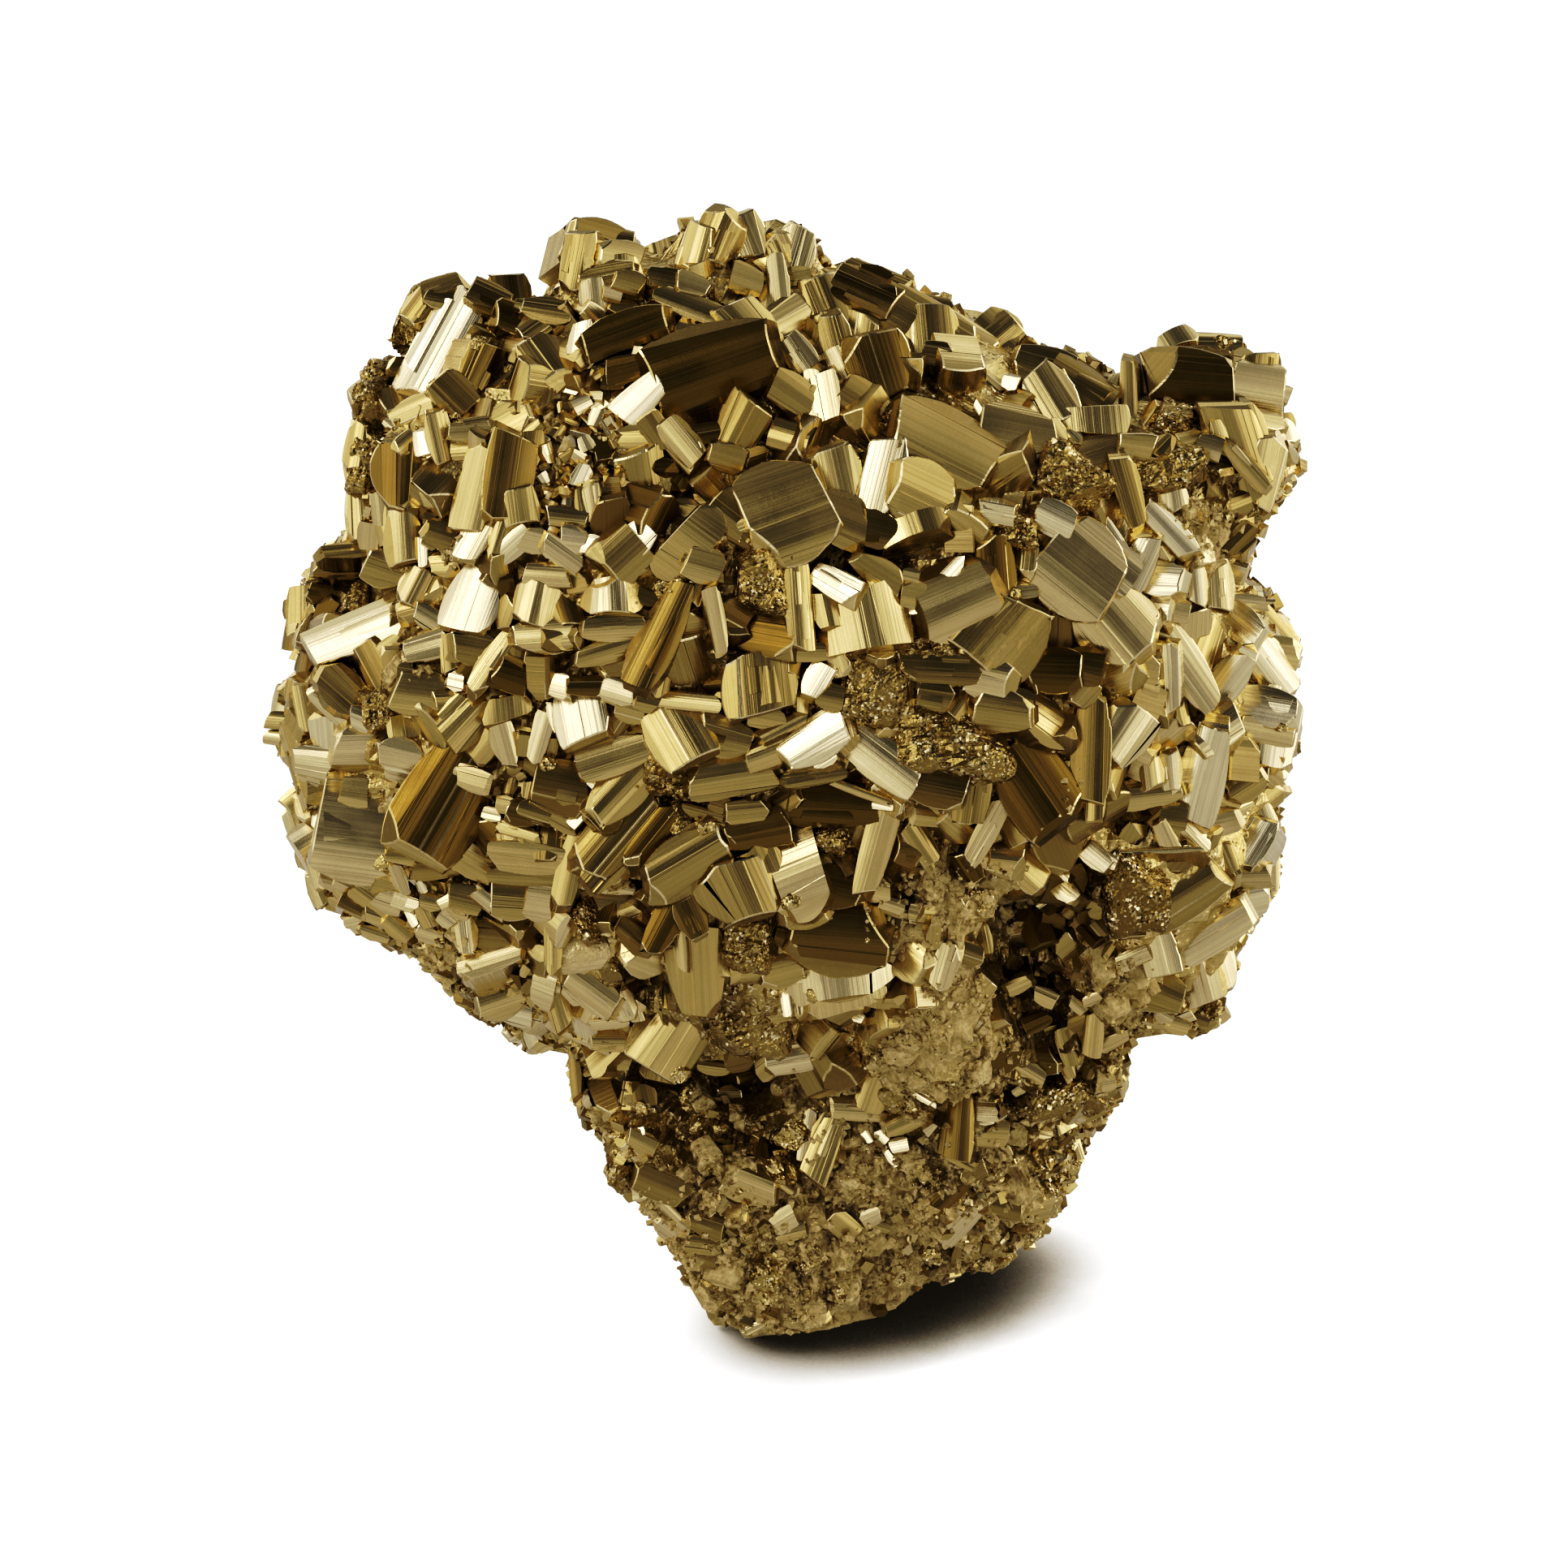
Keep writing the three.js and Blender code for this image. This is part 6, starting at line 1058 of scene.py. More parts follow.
-84.3 60.8 234.1 .261 .569 -.78 -.523 .762 .381 2.7 2.8 7.7 MR
50.9 52.5 47.5 .068 -.079 -.995 .423 .905 -.043 2.1 2 8.6 LC
79 22.8 71 .401 -.623 .671 .904 .39 -.178 3.2 2.9 8.4 L
35.3 58.3 45.7 -.833 -.072 -.549 .069 .97 -.232 2.2 1.7 6.4 LP
35.1 -24 284.3 -.228 .971 .069 .483 .051 .874 4.1 3.4 11.3 L
39.7 62.5 68.1 -.26 -.064 -.963 .468 .864 -.184 3.5 2.7 9.2 MS
-112.5 69.7 186.1 -.584 .081 -.808 -.107 .979 .175 3.9 3.4 12.7 M
60.3 -3.2 30.8 .363 .871 .331 .93 -.319 -.181 2.3 2.2 6.7 MC
-42.6 -22 16.3 -.385 .162 .909 -.849 -.448 -.28 2.2 2 6.8 M
105.2 43 214.2 -.541 .594 -.596 .667 .735 .127 4.2 3.5 10.8 MS
103.9 41.8 107.5 -.27 .243 .932 .58 .814 -.044 4.3 3.8 10.8 M
-79.4 -51.7 101.9 .35 -.683 .641 -.784 -.588 -.198 3.5 3.6 10.1 MC
-125.4 52 210 .798 .347 .492 -.541 .052 .84 4.1 2.7 10.2 MR
42.1 -7.7 14.5 .289 .742 -.605 .769 -.556 -.315 1.7 1.6 5.3 M
-121.9 -17 265.7 -.626 .747 -.224 -.727 -.456 .513 4.4 3.9 13.9 M
96.9 54.8 134.4 .688 -.513 .513 .685 .694 -.224 2.7 3.1 9.3 M
-42 85.4 191 -.204 .051 -.978 .239 .971 .001 4.2 3 10.5 M
-49.6 -25.6 27.4 -.609 -.675 .416 -.568 .004 -.823 1.9 1.4 6.6 MC
100.6 55 172.5 .374 .681 .629 .718 .217 -.662 4.9 3.4 10.9 MS
6.6 81.1 211.4 -.751 -.493 .439 -.276 .838 .47 3.9 3.8 10.2 MS
-147.5 -26 186.4 -.401 .21 -.892 -.816 .361 .452 3 3.5 9.9 LCS
119.5 -.8 182.2 -.144 -.668 .73 .972 -.234 -.023 2.6 3 8 M
-21.9 48 42.4 .733 .671 .111 -.576 .7 -.422 2.1 1.8 6.7 L
-102.2 74.8 126.3 .424 -.033 .905 -.55 .784 .286 3.6 4.6 10.7 MS
-131.3 -13.4 240.3 .105 -.329 -.938 -.959 -.285 -.007 4.4 4.2 13.2 MC
118 -11.3 190.3 .43 .689 -.583 .902 -.346 .257 2.7 2.6 8.3 MR
-75.7 57.4 244.6 -.809 -.49 .325 -.526 .85 -.027 3 3.2 9.9 M
113 33 114.5 .25 -.518 -.818 .763 .625 -.162 4.2 4 14.2 MC
33 90.9 185.6 .87 -.348 -.349 .47 .799 .376 4.7 5 12.5 LC
-119.9 55.9 112.9 -.903 -.141 .407 -.428 .392 -.814 2.8 2.8 8.6 L
-70.9 76.9 206.9 -.705 -.438 .558 -.143 .858 .493 5.8 4.1 11.6 LCS
56.4 46.2 40 -.181 .211 .961 .667 .744 -.038 2.2 1.6 6.2 MC
-74.5 60 91.3 -.35 .498 .794 -.411 .68 -.607 3.9 2.9 9.1 LS
12.3 52.2 30.8 .946 .323 .021 -.267 .816 -.513 2.6 1.8 7.4 M
-115.6 29.3 249.4 -.049 .451 -.891 -.987 -.157 -.026 2.9 3.2 8.3 M
-6.2 90 133.1 .967 .123 .225 -.21 .881 .424 5.3 4.1 13.5 LS
16 86.7 202.4 -.666 -.013 -.746 .197 .961 -.192 3.4 3.4 12.1 M
-68.2 -30.6 67.2 .362 .408 -.838 -.842 -.243 -.482 2.9 3.1 9.7 MS
-110 56.7 107.6 -.93 -.366 .008 -.019 .026 -.999 3.3 2.1 8.2 LCS
117.1 -19.6 188.9 .115 .926 -.358 .972 -.031 .233 3 2.5 8.9 MR
94.1 28.1 80.9 .836 .35 .422 .498 -.162 -.852 2.4 2.4 7.3 M
70.1 -17.1 61 .009 .815 -.579 .672 -.434 -.6 2.8 2.2 8 MR
-105.2 35.7 94.4 -.88 .011 .476 -.358 .643 -.677 3.3 2.4 8.3 M
63.4 33.9 32.4 -.007 -.673 -.739 .987 .114 -.113 2.5 2.4 6.7 L
109.5 -19.9 262.2 -.891 -.377 .255 .293 -.046 .955 4.2 5.3 13 M
-131.4 1.8 236.5 -.143 .507 .85 -.94 -.339 .044 3.8 3.5 10.9 MCS
-43.1 -37.3 29.8 -.733 .026 .68 -.546 -.618 -.566 2.2 1.9 7.2 M
-125 16.9 242.2 .118 .944 -.307 -.636 .31 .707 5.3 4.5 12.4 LR
-34.6 -8.9 309.9 .352 -.882 -.315 .182 -.265 .947 3.3 3.8 8.9 M
-56.9 -13.4 36.8 -.409 .892 .191 -.795 -.246 -.555 2.5 2.6 8 L
86.8 47 239.3 .857 -.365 .364 .066 .778 .625 3.5 3.2 11.9 M
-34.6 23.3 287.4 .933 -.262 -.247 .348 .828 .438 3.2 2.7 8.9 MCS
52.7 23.7 13.7 .299 -.811 -.502 .915 .393 -.09 2 2.4 7.7 LS
-89.3 30.6 78.1 .491 -.566 -.663 -.57 .367 -.735 2.7 2.6 8.3 LCS
38.4 -16.4 17.4 .873 .466 .143 .483 -.791 -.374 3.1 2.1 8.9 MS
-64 -18.5 48.1 -.011 .992 -.128 -.94 -.054 -.338 3.3 2.9 8.9 M
45.5 52.8 24.6 .952 .248 -.176 -.295 .609 -.736 2.5 2.3 6.6 M
-34.9 88.5 133.5 .999 -.038 -.022 .036 .997 -.071 4 3.6 9.4 M
57 39.2 260.3 -.911 -.256 .322 .194 .421 .886 3.7 2.9 9.9 MS
-82.7 66.5 100.5 -.466 -.881 -.087 -.437 .314 -.842 2.1 2.1 7.1 M
-93.2 -36.8 97.5 .726 .396 -.563 -.523 -.216 -.825 3.4 3 7.6 L
39.5 54.7 29 .595 -.209 -.776 .172 .976 -.131 3 2.3 8.2 M
-11.1 76.8 103.1 -.995 .029 -.091 .059 .937 -.344 4.1 4.3 11.9 LCS
113.1 27.3 165.6 -.356 .755 .551 .931 .34 .136 4.2 4.4 11 MC
101.2 -34.3 216.9 -.267 -.964 .005 .926 -.258 -.276 3.8 2.9 9.2 M
61.1 -14.4 44.9 -.399 -.916 .039 .8 -.368 -.474 2.7 2.8 7.9 MCS
28.5 78.6 105 .181 .314 .932 -.124 .947 -.295 3.8 3.2 12.4 M
62.4 -33.2 65.7 .403 .78 -.48 .118 -.564 -.817 2.8 2.3 7.7 LS
103.3 46.2 101.1 -.054 .86 -.507 .966 .174 .191 4.1 4.5 13 M
-43.4 65.1 83.4 .934 -.155 -.321 -.092 .765 -.637 3.2 3 9.4 M
84.3 24.2 74.2 .22 .184 .958 .74 .608 -.287 2.7 2.3 7.9 MC
-46.5 -21 22.8 .024 .974 .226 -.627 .19 -.755 1.7 1.2 5.4 MC
58.5 2.1 23.9 .281 -.465 .84 .906 -.159 -.392 2.5 2.3 7.4 M
73.5 -10.2 60 .668 .029 .744 .723 -.261 -.639 2.8 1.8 8.2 L
-89.1 -42.6 99.4 -.004 .998 .058 -.644 .042 -.764 3.2 3.2 8.9 MCS
57.1 -13.4 37.4 .361 -.094 .928 .681 -.653 -.331 2.4 2.1 7 MP
-98.5 51.5 97.5 .709 .521 -.476 -.704 .478 -.525 2.8 2.4 7.6 LS
115.1 4.8 234.5 -.091 .898 .43 .88 .274 -.387 4.2 3.9 11.3 M
-99.3 58.8 223.2 -.441 -.595 -.672 -.821 .57 .035 3.5 2.8 8.4 M
100.3 52.1 140.5 .582 -.724 -.372 .72 .67 -.179 3.3 2.7 8.5 L
27.9 53 26 .972 .097 -.213 -.101 .995 -.01 3.3 2.7 8.4 LC
-73.9 61.6 240.1 -.945 -.111 .308 .133 .729 .671 4.4 3.9 11.6 M
57.6 -26.5 54.3 .689 -.386 .613 .36 -.552 -.752 2.4 2 6.4 LR
76.7 -3.8 69.2 .388 .428 .816 .919 -.11 -.379 2.2 2.1 7.5 MS
15.1 13.7 289.1 -.859 .407 .31 .42 .216 .881 3.4 2.7 9 MP
-6 64.5 69 -.221 -.439 -.871 -.055 .897 -.438 3.2 2.8 7.2 M
-15.7 58.4 248 -.072 -.057 -.996 -.155 .987 -.045 3 3.8 9.9 MS
117.6 27.4 142.8 -.338 -.584 .738 .317 .668 .673 2.8 2.5 9.6 MS
107.3 -25.1 204 .123 .573 .81 .575 -.707 .412 4.4 4.8 11.5 L
60.2 -19.5 50 -.428 -.642 .636 .766 -.632 -.123 3.3 2.9 7.1 MS
-19.7 32.3 14.5 -.374 .3 .878 -.457 .764 -.456 2.2 1.8 6.8 MS
-72 88.2 165.7 .688 .684 -.241 -.667 .727 .16 3.5 3.7 9.4 MC
-121.8 36.3 106.4 -.516 .497 .697 -.484 .502 -.717 3.3 2.4 8.6 M
8.6 91.2 187.7 .96 .086 .266 -.08 .996 -.033 3.2 3.8 10.5 MS
-104.9 57.7 104.6 .739 -.02 -.673 -.347 .845 -.407 2.8 2.9 7.6 L
-37.7 63.9 241.1 .988 -0 -.154 .083 .845 .528 2.7 2.5 8.7 MS
-103.6 29 87.4 -.682 .56 .47 -.374 .285 -.882 2.5 2.9 8.9 MCS
113.6 -21.8 135.5 .111 -.706 .7 .994 .077 -.08 3.4 2.7 9.3 MS
46.7 87.5 185.6 -.916 .121 -.383 .019 .966 .259 3.9 2.4 8.8 L
-34.6 37 34.4 -.323 -.004 -.947 -.69 .686 .232 2.6 3 8.3 LS
-124.2 -12.5 259.7 -.53 .041 -.847 -.826 .201 .527 3.7 2.4 9.7 L
10.7 91.9 169.3 -.033 -.048 -.998 -.044 .998 -.046 4 4 10.3 MS
-141.2 34.4 123.9 -.74 -.667 .087 -.574 .56 -.597 2.6 1.8 7.2 L
-119.9 61.2 199.5 .674 -.122 .728 -.329 .834 .444 3.8 2.8 10.5 MCS
116.1 19.1 176.6 .02 -.818 -.574 .994 .08 -.08 4.5 3.5 11.8 L
-70.1 85.2 136.1 -.423 .699 .576 .473 .713 -.518 4.2 4.4 10.6 MP
-107.9 66.5 114.1 -.831 -.469 -.298 -.274 .812 -.515 3.2 2.7 9.2 M
-71.2 3.6 298.9 .286 -.74 .609 -.396 .487 .778 3.3 3 9.5 MC
-13.7 66.9 75.9 -.059 -.36 .931 -.237 .911 .337 3.6 4.1 9.9 M
66 24.2 30.9 .179 .263 .948 .956 .181 -.23 2.3 1.9 6.3 MC
110.2 -14.2 208.2 .436 .1 -.894 .898 .006 .439 4.2 3.1 10.8 MR
63.9 23.5 27.7 .113 -.681 .723 .923 -.197 -.33 1.8 1.8 6.5 MC
-75 42.2 75.9 -.437 -.83 -.347 -.497 .544 -.676 3.3 2.1 9.2 M
10.1 89.6 194.4 .286 .201 -.937 -.179 .972 .154 4.2 4.1 10.6 MC
-105.4 72.7 156 -.568 -.353 -.743 -.408 .905 -.118 3.7 3 8.7 L
71.1 32.3 56.4 .385 -.803 .455 .853 .122 -.507 2.7 2 7.2 M
-144.6 -3.1 204.4 -.225 -.771 -.596 -.93 -.012 .367 4.1 3.1 9.8 MCS
73.5 30.2 59 -.18 .349 .92 .981 .138 .139 2.1 2.2 6.4 M
-105.5 74.8 181.4 .167 -.558 .813 -.332 .744 .579 3.8 3.1 10.1 MS
8.3 30.6 275.9 -.595 .74 -.314 .12 .468 .876 3.9 3.2 10.3 LS
-129.1 18.4 109.6 -.809 -.247 .533 -.551 .636 -.541 3 2.5 8.7 M
76.4 77.2 190.3 -.822 .466 .328 .493 .87 -.001 6.2 4.7 14.3 M
-129.8 -3.8 239.6 .205 .937 .282 -.898 .066 .435 3.5 3 8.7 MC
-46.8 94.2 153.6 -.716 .187 .673 -.177 .883 -.434 3.1 3.2 9.9 LS
-40.2 52.9 67 .181 -.522 -.833 -.252 .794 -.553 2.7 2.1 8.4 LS
31.8 57.3 38.5 -.756 -.142 -.639 -.062 .987 -.145 2.9 2.3 8.5 MC
-86 84 154.4 -.454 .362 .814 -.201 .848 -.49 3.7 3 9.2 LR
-150.2 .4 145.6 .195 .456 -.869 -.959 .272 -.072 3.8 3.2 10.2 M
59.8 21.3 20.6 -.27 .869 .414 .68 .476 -.557 1.6 1.5 5.4 MC
-49.9 64.1 84.5 -.722 -.517 -.461 -.652 .731 .202 3.4 3.1 9.9 MC
33.2 54 26.3 .226 .583 -.78 -.516 .751 .412 2.5 3 8.4 M
55 -7.6 27.2 -.131 -.866 .482 .333 -.496 -.802 1.7 1.9 6.5 M
-78.6 -59 107.8 -.822 .56 .105 -.34 -.333 -.88 3.4 2.2 8.6 MC
118.2 -5.2 155.3 .428 .288 .857 .904 -.13 -.407 3.4 3 9 MP
119.8 6 190.8 -.119 .429 .896 .987 -.052 .155 3.5 3.5 11.3 LS
86.1 69.3 164.8 -.193 .354 -.915 .541 .816 .201 3.5 3.2 8.2 MS
-142.6 1.7 126.9 -.255 .966 .053 -.963 -.249 -.101 3.9 3.1 10.9 MS
105.8 48 137.9 -.537 .383 .751 .74 .642 .201 3.7 3.1 10.4 MP
56.4 -15.7 41 -.307 .349 -.885 .497 -.734 -.462 1.8 2.1 6.6 L
56.8 47.7 253.3 -.007 -.636 .771 .432 .694 .576 4.1 3.6 10.2 L
60.2 -31.4 61.6 .818 .526 .232 .372 -.175 -.912 2.3 1.8 7 LP
-63.9 82.3 191.9 -.81 -.572 -.127 -.586 .789 .183 4.5 3.6 12.3 MCS
115.5 -38.7 170.7 -.194 -.978 .073 .893 -.207 -.399 4 3 8.9 M
53.3 -5.7 23.8 .587 .361 .725 .772 -.519 -.367 2.7 2.4 7.1 M
-70.8 -26.2 68.8 .424 -.455 .783 -.772 -.633 .05 1.8 2 7.3 L
-72.4 -15.1 64.1 -.174 .165 .971 -.65 -.76 .013 2 1.6 6.6 MS
-113.4 53.7 108 .061 -.974 -.218 -.445 .169 -.88 2.2 2.1 6.9 MCS
109.8 40.1 205.2 -.127 .573 -.809 .984 .174 -.031 3 2.6 10.4 M
70.4 -19.7 64.1 .303 .892 -.334 .503 -.448 -.739 1.9 2 6.8 MS
115.9 -15 197.6 -.4 -.464 .79 .897 -.374 .234 3.6 3 12.3 LS
-67.6 -10.7 56 .192 .444 -.875 -.965 -.075 -.25 2.1 1.9 6.9 LC
-45 39.8 268.7 -.809 -.288 .513 -.314 .949 .036 4 4.4 14.2 M
-3.1 44.6 19.9 .411 .51 .755 .035 .819 -.572 3 2.2 7.6 MC
-64.8 -30.1 58.2 .243 -.963 -.121 -.966 -.228 -.125 1.7 1.9 6.5 M
-65.5 26.7 60.5 -.776 .614 .142 -.185 -.006 -.983 2.8 2.4 8.2 MS
-100.6 42.6 94.2 .407 -.503 -.762 -.507 .57 -.647 2.2 1.9 7.5 M
5.6 44.5 14.5 -.743 .046 .668 -.315 .856 -.41 2.2 1.6 6.9 LC
-124.9 -36.5 233.2 .088 .05 .995 -.347 -.935 .077 3.3 3.8 8.8 M
42.6 6.1 280.8 -.465 .868 .175 .604 .166 .78 4.1 2.9 10.4 MC
51.8 36.1 263.6 .689 -.18 -.702 .725 .144 .674 3.4 3.1 10.1 MS
-45.7 19.6 32.2 .768 .64 .031 -.475 .601 -.643 2.2 2 7.1 L
-145.3 -29.4 151.6 -.416 -.585 .697 -.875 .049 -.482 4.1 3.2 10.6 LC
""".split("\n")[1:-1]

# The specimen's outline, as points in the frame.
OUTLINE = np.array([
    (428, 475), (430, 460), (445, 455), (465, 445), (480, 405), (500, 365), (515, 345), (540, 333),
    (557, 330), (572, 342), (605, 332), (614, 334), (640, 367), (660, 365), (680, 370), (687, 355),
    (681, 320), (690, 285), (703, 273), (720, 266), (782, 285), (795, 310), (803, 311), (822, 320),
    (828, 297), (838, 277), (860, 260), (896, 247), (920, 262), (935, 275), (942, 269), (975, 282),
    (1003, 298), (1012, 320), (1025, 333), (1045, 317), (1062, 310), (1125, 340), (1130, 350), (1200, 393),
    (1222, 372), (1262, 395), (1273, 425), (1300, 432), (1330, 432), (1365, 450), (1385, 480), (1399, 495),
    (1400, 470), (1413, 440), (1430, 428), (1460, 408), (1487, 397), (1520, 410), (1550, 428), (1578, 436),
    (1592, 455), (1590, 500), (1603, 560), (1603, 580), (1590, 600), (1560, 640), (1545, 670), (1538, 690),
    (1538, 715), (1555, 725), (1572, 745), (1590, 770), (1603, 795), (1603, 830), (1607, 860), (1605, 930),
    (1600, 945), (1582, 955), (1583, 975), (1575, 995), (1577, 1010), (1575, 1060), (1577, 1090), (1560, 1125),
    (1551, 1130), (1530, 1165), (1526, 1191), (1513, 1222), (1503, 1258), (1471, 1275), (1414, 1267), (1392, 1273),
    (1387, 1334), (1376, 1369), (1339, 1395), (1334, 1427), (1315, 1465), (1304, 1497), (1283, 1525), (1261, 1541),
    (1229, 1567), (1194, 1570), (1140, 1580), (1101, 1582), (1072, 1601), (1030, 1607), (1024, 1621), (992, 1642),
    (963, 1649), (928, 1652), (881, 1631), (852, 1602), (839, 1564), (820, 1545), (798, 1502), (773, 1467),
    (754, 1454), (744, 1406), (712, 1374), (707, 1339), (701, 1285), (674, 1288), (645, 1295), (626, 1276),
    (625, 1260), (610, 1264), (572, 1237), (543, 1209), (518, 1177), (463, 1161), (428, 1145), (419, 1121),
    (393, 1122), (365, 1078), (350, 1030), (345, 985), (360, 955), (360, 940), (335, 928), (323, 915),
    (325, 895), (335, 865), (345, 845), (367, 828), (362, 803), (345, 795), (337, 765), (342, 742),
    (358, 722), (375, 706), (390, 695), (390, 680), (410, 668), (423, 665), (425, 600), (422, 570),
    (423, 530), (425, 500),
], float)


def in_polygon(q, poly):
    x, y = q[:, 0], q[:, 1]
    inside = np.zeros(len(q), bool)
    px, py = poly[:, 0], poly[:, 1]
    qx, qy = np.roll(px, -1), np.roll(py, -1)
    for i in range(len(poly)):
        if py[i] == qy[i]:
            continue
        hit = (py[i] > y) != (qy[i] > y)
        inside ^= hit & (x < (qx[i] - px[i]) * (y - py[i]) / (qy[i] - py[i]) + px[i])
    return inside


def grown_outline(by):
    d = np.roll(OUTLINE, -1, 0) - np.roll(OUTLINE, 1, 0)
    n = np.stack([d[:, 1], -d[:, 0]], 1) / np.maximum(np.linalg.norm(d, axis=1), 1e-9)[:, None]
    return OUTLINE + n * by


OUTER = grown_outline(5.0)
assert not in_polygon(OUTER[::9], OUTLINE).all()


def spills(world):
    """Whether any of these points (mm) falls outside the outline or the box."""
    lo, hi = np.array(CAD_BOX[0]) / MM - 1.2, np.array(CAD_BOX[1]) / MM + 1.2
    if (world < lo).any() or (world > hi).any():
        return True
    return not in_polygon(to_frame(world), OUTER).all()


rows, letters = [], []
for line in CRYSTALS:
    f = line.split()
    rows.append([float(v) for v in f[:12]])
    letters.append(f[12])
rows = np.array(rows)


# ------------------------------------------------------------------ noise
def lattice(ix, iy, iz, seed):
    h = (ix * 374761393 + iy * 668265263 + iz * 2147483647 + seed * 1442695041) & 0xFFFFFFFF
    h = ((h ^ (h >> 13)) * 1274126177) & 0xFFFFFFFF
    h = h ^ (h >> 16)
    return (h & 0xFFFFFF) / float(0xFFFFFF) * 2 - 1


def noise3(p, seed=0):
    """Smooth value noise in -1..1 at points p."""
    i = np.floor(p).astype(np.int64)
    f = p - i
    f = f * f * (3 - 2 * f)
    out = 0
    for dx in (0, 1):
        wx = f[:, 0] if dx else 1 - f[:, 0]
        for dy in (0, 1):
            wy = f[:, 1] if dy else 1 - f[:, 1]
            for dz in (0, 1):
                wz = f[:, 2] if dz else 1 - f[:, 2]
                out = out + wx * wy * wz * lattice(i[:, 0] + dx, i[:, 1] + dy, i[:, 2] + dz, seed)
    return out


def smooth(x):
    x = np.clip(x, 0, 1)
    return x * x * (3 - 2 * x)


# ------------------------------------------------------- gathering of meshes
class Gather:
    """Collects polygons for one piece."""

    def __init__(self):
        self.verts, self.loops, self.sizes, self.uv, self.look = [], [], [], [], []
        self.count = 0

    def add(self, verts, loops, sizes, uv, look):
        self.verts.append(verts)
        self.loops.append(np.asarray(loops, np.int64) + self.count)
        self.sizes.append(np.asarray(sizes, np.int64))
        self.uv.append(uv)
        self.look.append(look)
        self.count += len(verts)

    def piece(self, name, material, sharp=None, flat=False):
        verts = np.concatenate(self.verts)
        loops = np.concatenate(self.loops)
        sizes = np.concatenate(self.sizes)
        uv = np.concatenate(self.uv)
        look = np.concatenate(self.look)
        me = bpy.data.meshes.new(name)
        me.vertices.add(len(verts))
        me.vertices.foreach_set("co", (verts * MM).astype(np.float32).ravel())
        me.loops.add(len(loops))
        me.loops.foreach_set("vertex_index", loops.astype(np.int32))
        me.polygons.add(len(sizes))
        starts = np.concatenate([[0], np.cumsum(sizes)[:-1]])
        me.polygons.foreach_set("loop_start", starts.astype(np.int32))
        me.update(calc_edges=True)
        layer = me.uv_layers.new(name="grow")
        layer.uv.foreach_set("vector", uv.astype(np.float32).ravel())
        att = me.attributes.new("look", "FLOAT_COLOR", "FACE")
        att.data.foreach_set("color", look.astype(np.float32).ravel())
        me.polygons.foreach_set("use_smooth", np.full(len(sizes), not flat))
        if sharp is not None and not flat:
            me.set_sharp_from_angle(angle=math.radians(sharp))
        me.validate()
        ob = bpy.data.objects.new(name, me)
        bpy.context.scene.collection.objects.link(ob)
        me.materials.append(material)
        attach(ob, "root")
        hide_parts(NODE)
        triangles = int((sizes - 2).sum())
        print("piece", name, "triangles", triangles)
        return ob


# ------------------------------------------------------- one striated crystal
def topology(nx, ny, nz):
    """Polygons of a block whose faces are strips: the outer pair across y, the
    x pair across z and the y pair across x."""
    n = 0

    def take(k):
        nonlocal n
        out = list(range(n, n + k))
        n += k
        return out

    T = [[take(1)[0] for _ in (0, 1)] for _ in (0, 1)]
    B = [[take(1)[0] for _ in (0, 1)] for _ in (0, 1)]
    EU = [take(ny) for _ in (0, 1)]
    EV = [take(nx) for _ in (0, 1)]
    EB = [take(nx) for _ in (0, 1)]
    EZ = [[take(nz) for _ in (0, 1)] for _ in (0, 1)]
    F = []
    if ny:
        F.append([T[0][0], *EV[0], T[1][0], EU[1][0], EU[0][0]])
        for j in range(ny - 1):
            F.append([EU[0][j], EU[1][j], EU[1][j + 1], EU[0][j + 1]])
        F.append([EU[0][-1], EU[1][-1], T[1][1], *EV[1][::-1], T[0][1]])
    else:
        F.append([T[0][0], *EV[0], T[1][0], T[1][1], *EV[1][::-1], T[0][1]])
    if nz:
        F.append([EZ[1][0][0], EZ[1][1][0], T[1][1], *EU[1][::-1], T[1][0]])
        for k in range(nz - 1):
            F.append([EZ[1][0][k + 1], EZ[1][1][k + 1], EZ[1][1][k], EZ[1][0][k]])
        F.append([B[1][0], B[1][1], EZ[1][1][-1], EZ[1][0][-1]])
        F.append([EZ[0][1][0], EZ[0][0][0], T[0][0], *EU[0], T[0][1]])
        for k in range(nz - 1):
            F.append([EZ[0][1][k + 1], EZ[0][0][k + 1], EZ[0][0][k], EZ[0][1][k]])
        F.append([B[0][1], B[0][0], EZ[0][0][-1], EZ[0][1][-1]])
    else:
        F.append([B[1][0], B[1][1], T[1][1], *EU[1][::-1], T[1][0]])
        F.append([B[0][1], B[0][0], T[0][0], *EU[0], T[0][1]])
    if nx:
        F.append([EB[1][0], B[0][1], *EZ[0][1][::-1], T[0][1], EV[1][0]])
        for i in range(nx - 1):
            F.append([EB[1][i + 1], EB[1][i], EV[1][i], EV[1][i + 1]])
        F.append([B[1][1], EB[1][-1], EV[1][-1], T[1][1], *EZ[1][1]])
        F.append([B[0][0], EB[0][0], EV[0][0], T[0][0], *EZ[0][0]])
        for i in range(nx - 1):
            F.append([EB[0][i], EB[0][i + 1], EV[0][i + 1], EV[0][i]])
        F.append([EB[0][-1], B[1][0], *EZ[1][0][::-1], T[1][0], EV[0][-1]])
    else:
        F.append([B[1][1], B[0][1], *EZ[0][1][::-1], T[0][1], T[1][1], *EZ[1][1]])
        F.append([B[0][0], B[1][0], *EZ[1][0][::-1], T[1][0], T[0][0], *EZ[0][0]])
    F.append([B[0][0], B[0][1], *EB[1], B[1][1], B[1][0], *EB[0][::-1]])
    return n, F, (T, B, EU, EV, EB, EZ)


TOPOLOGY = {}


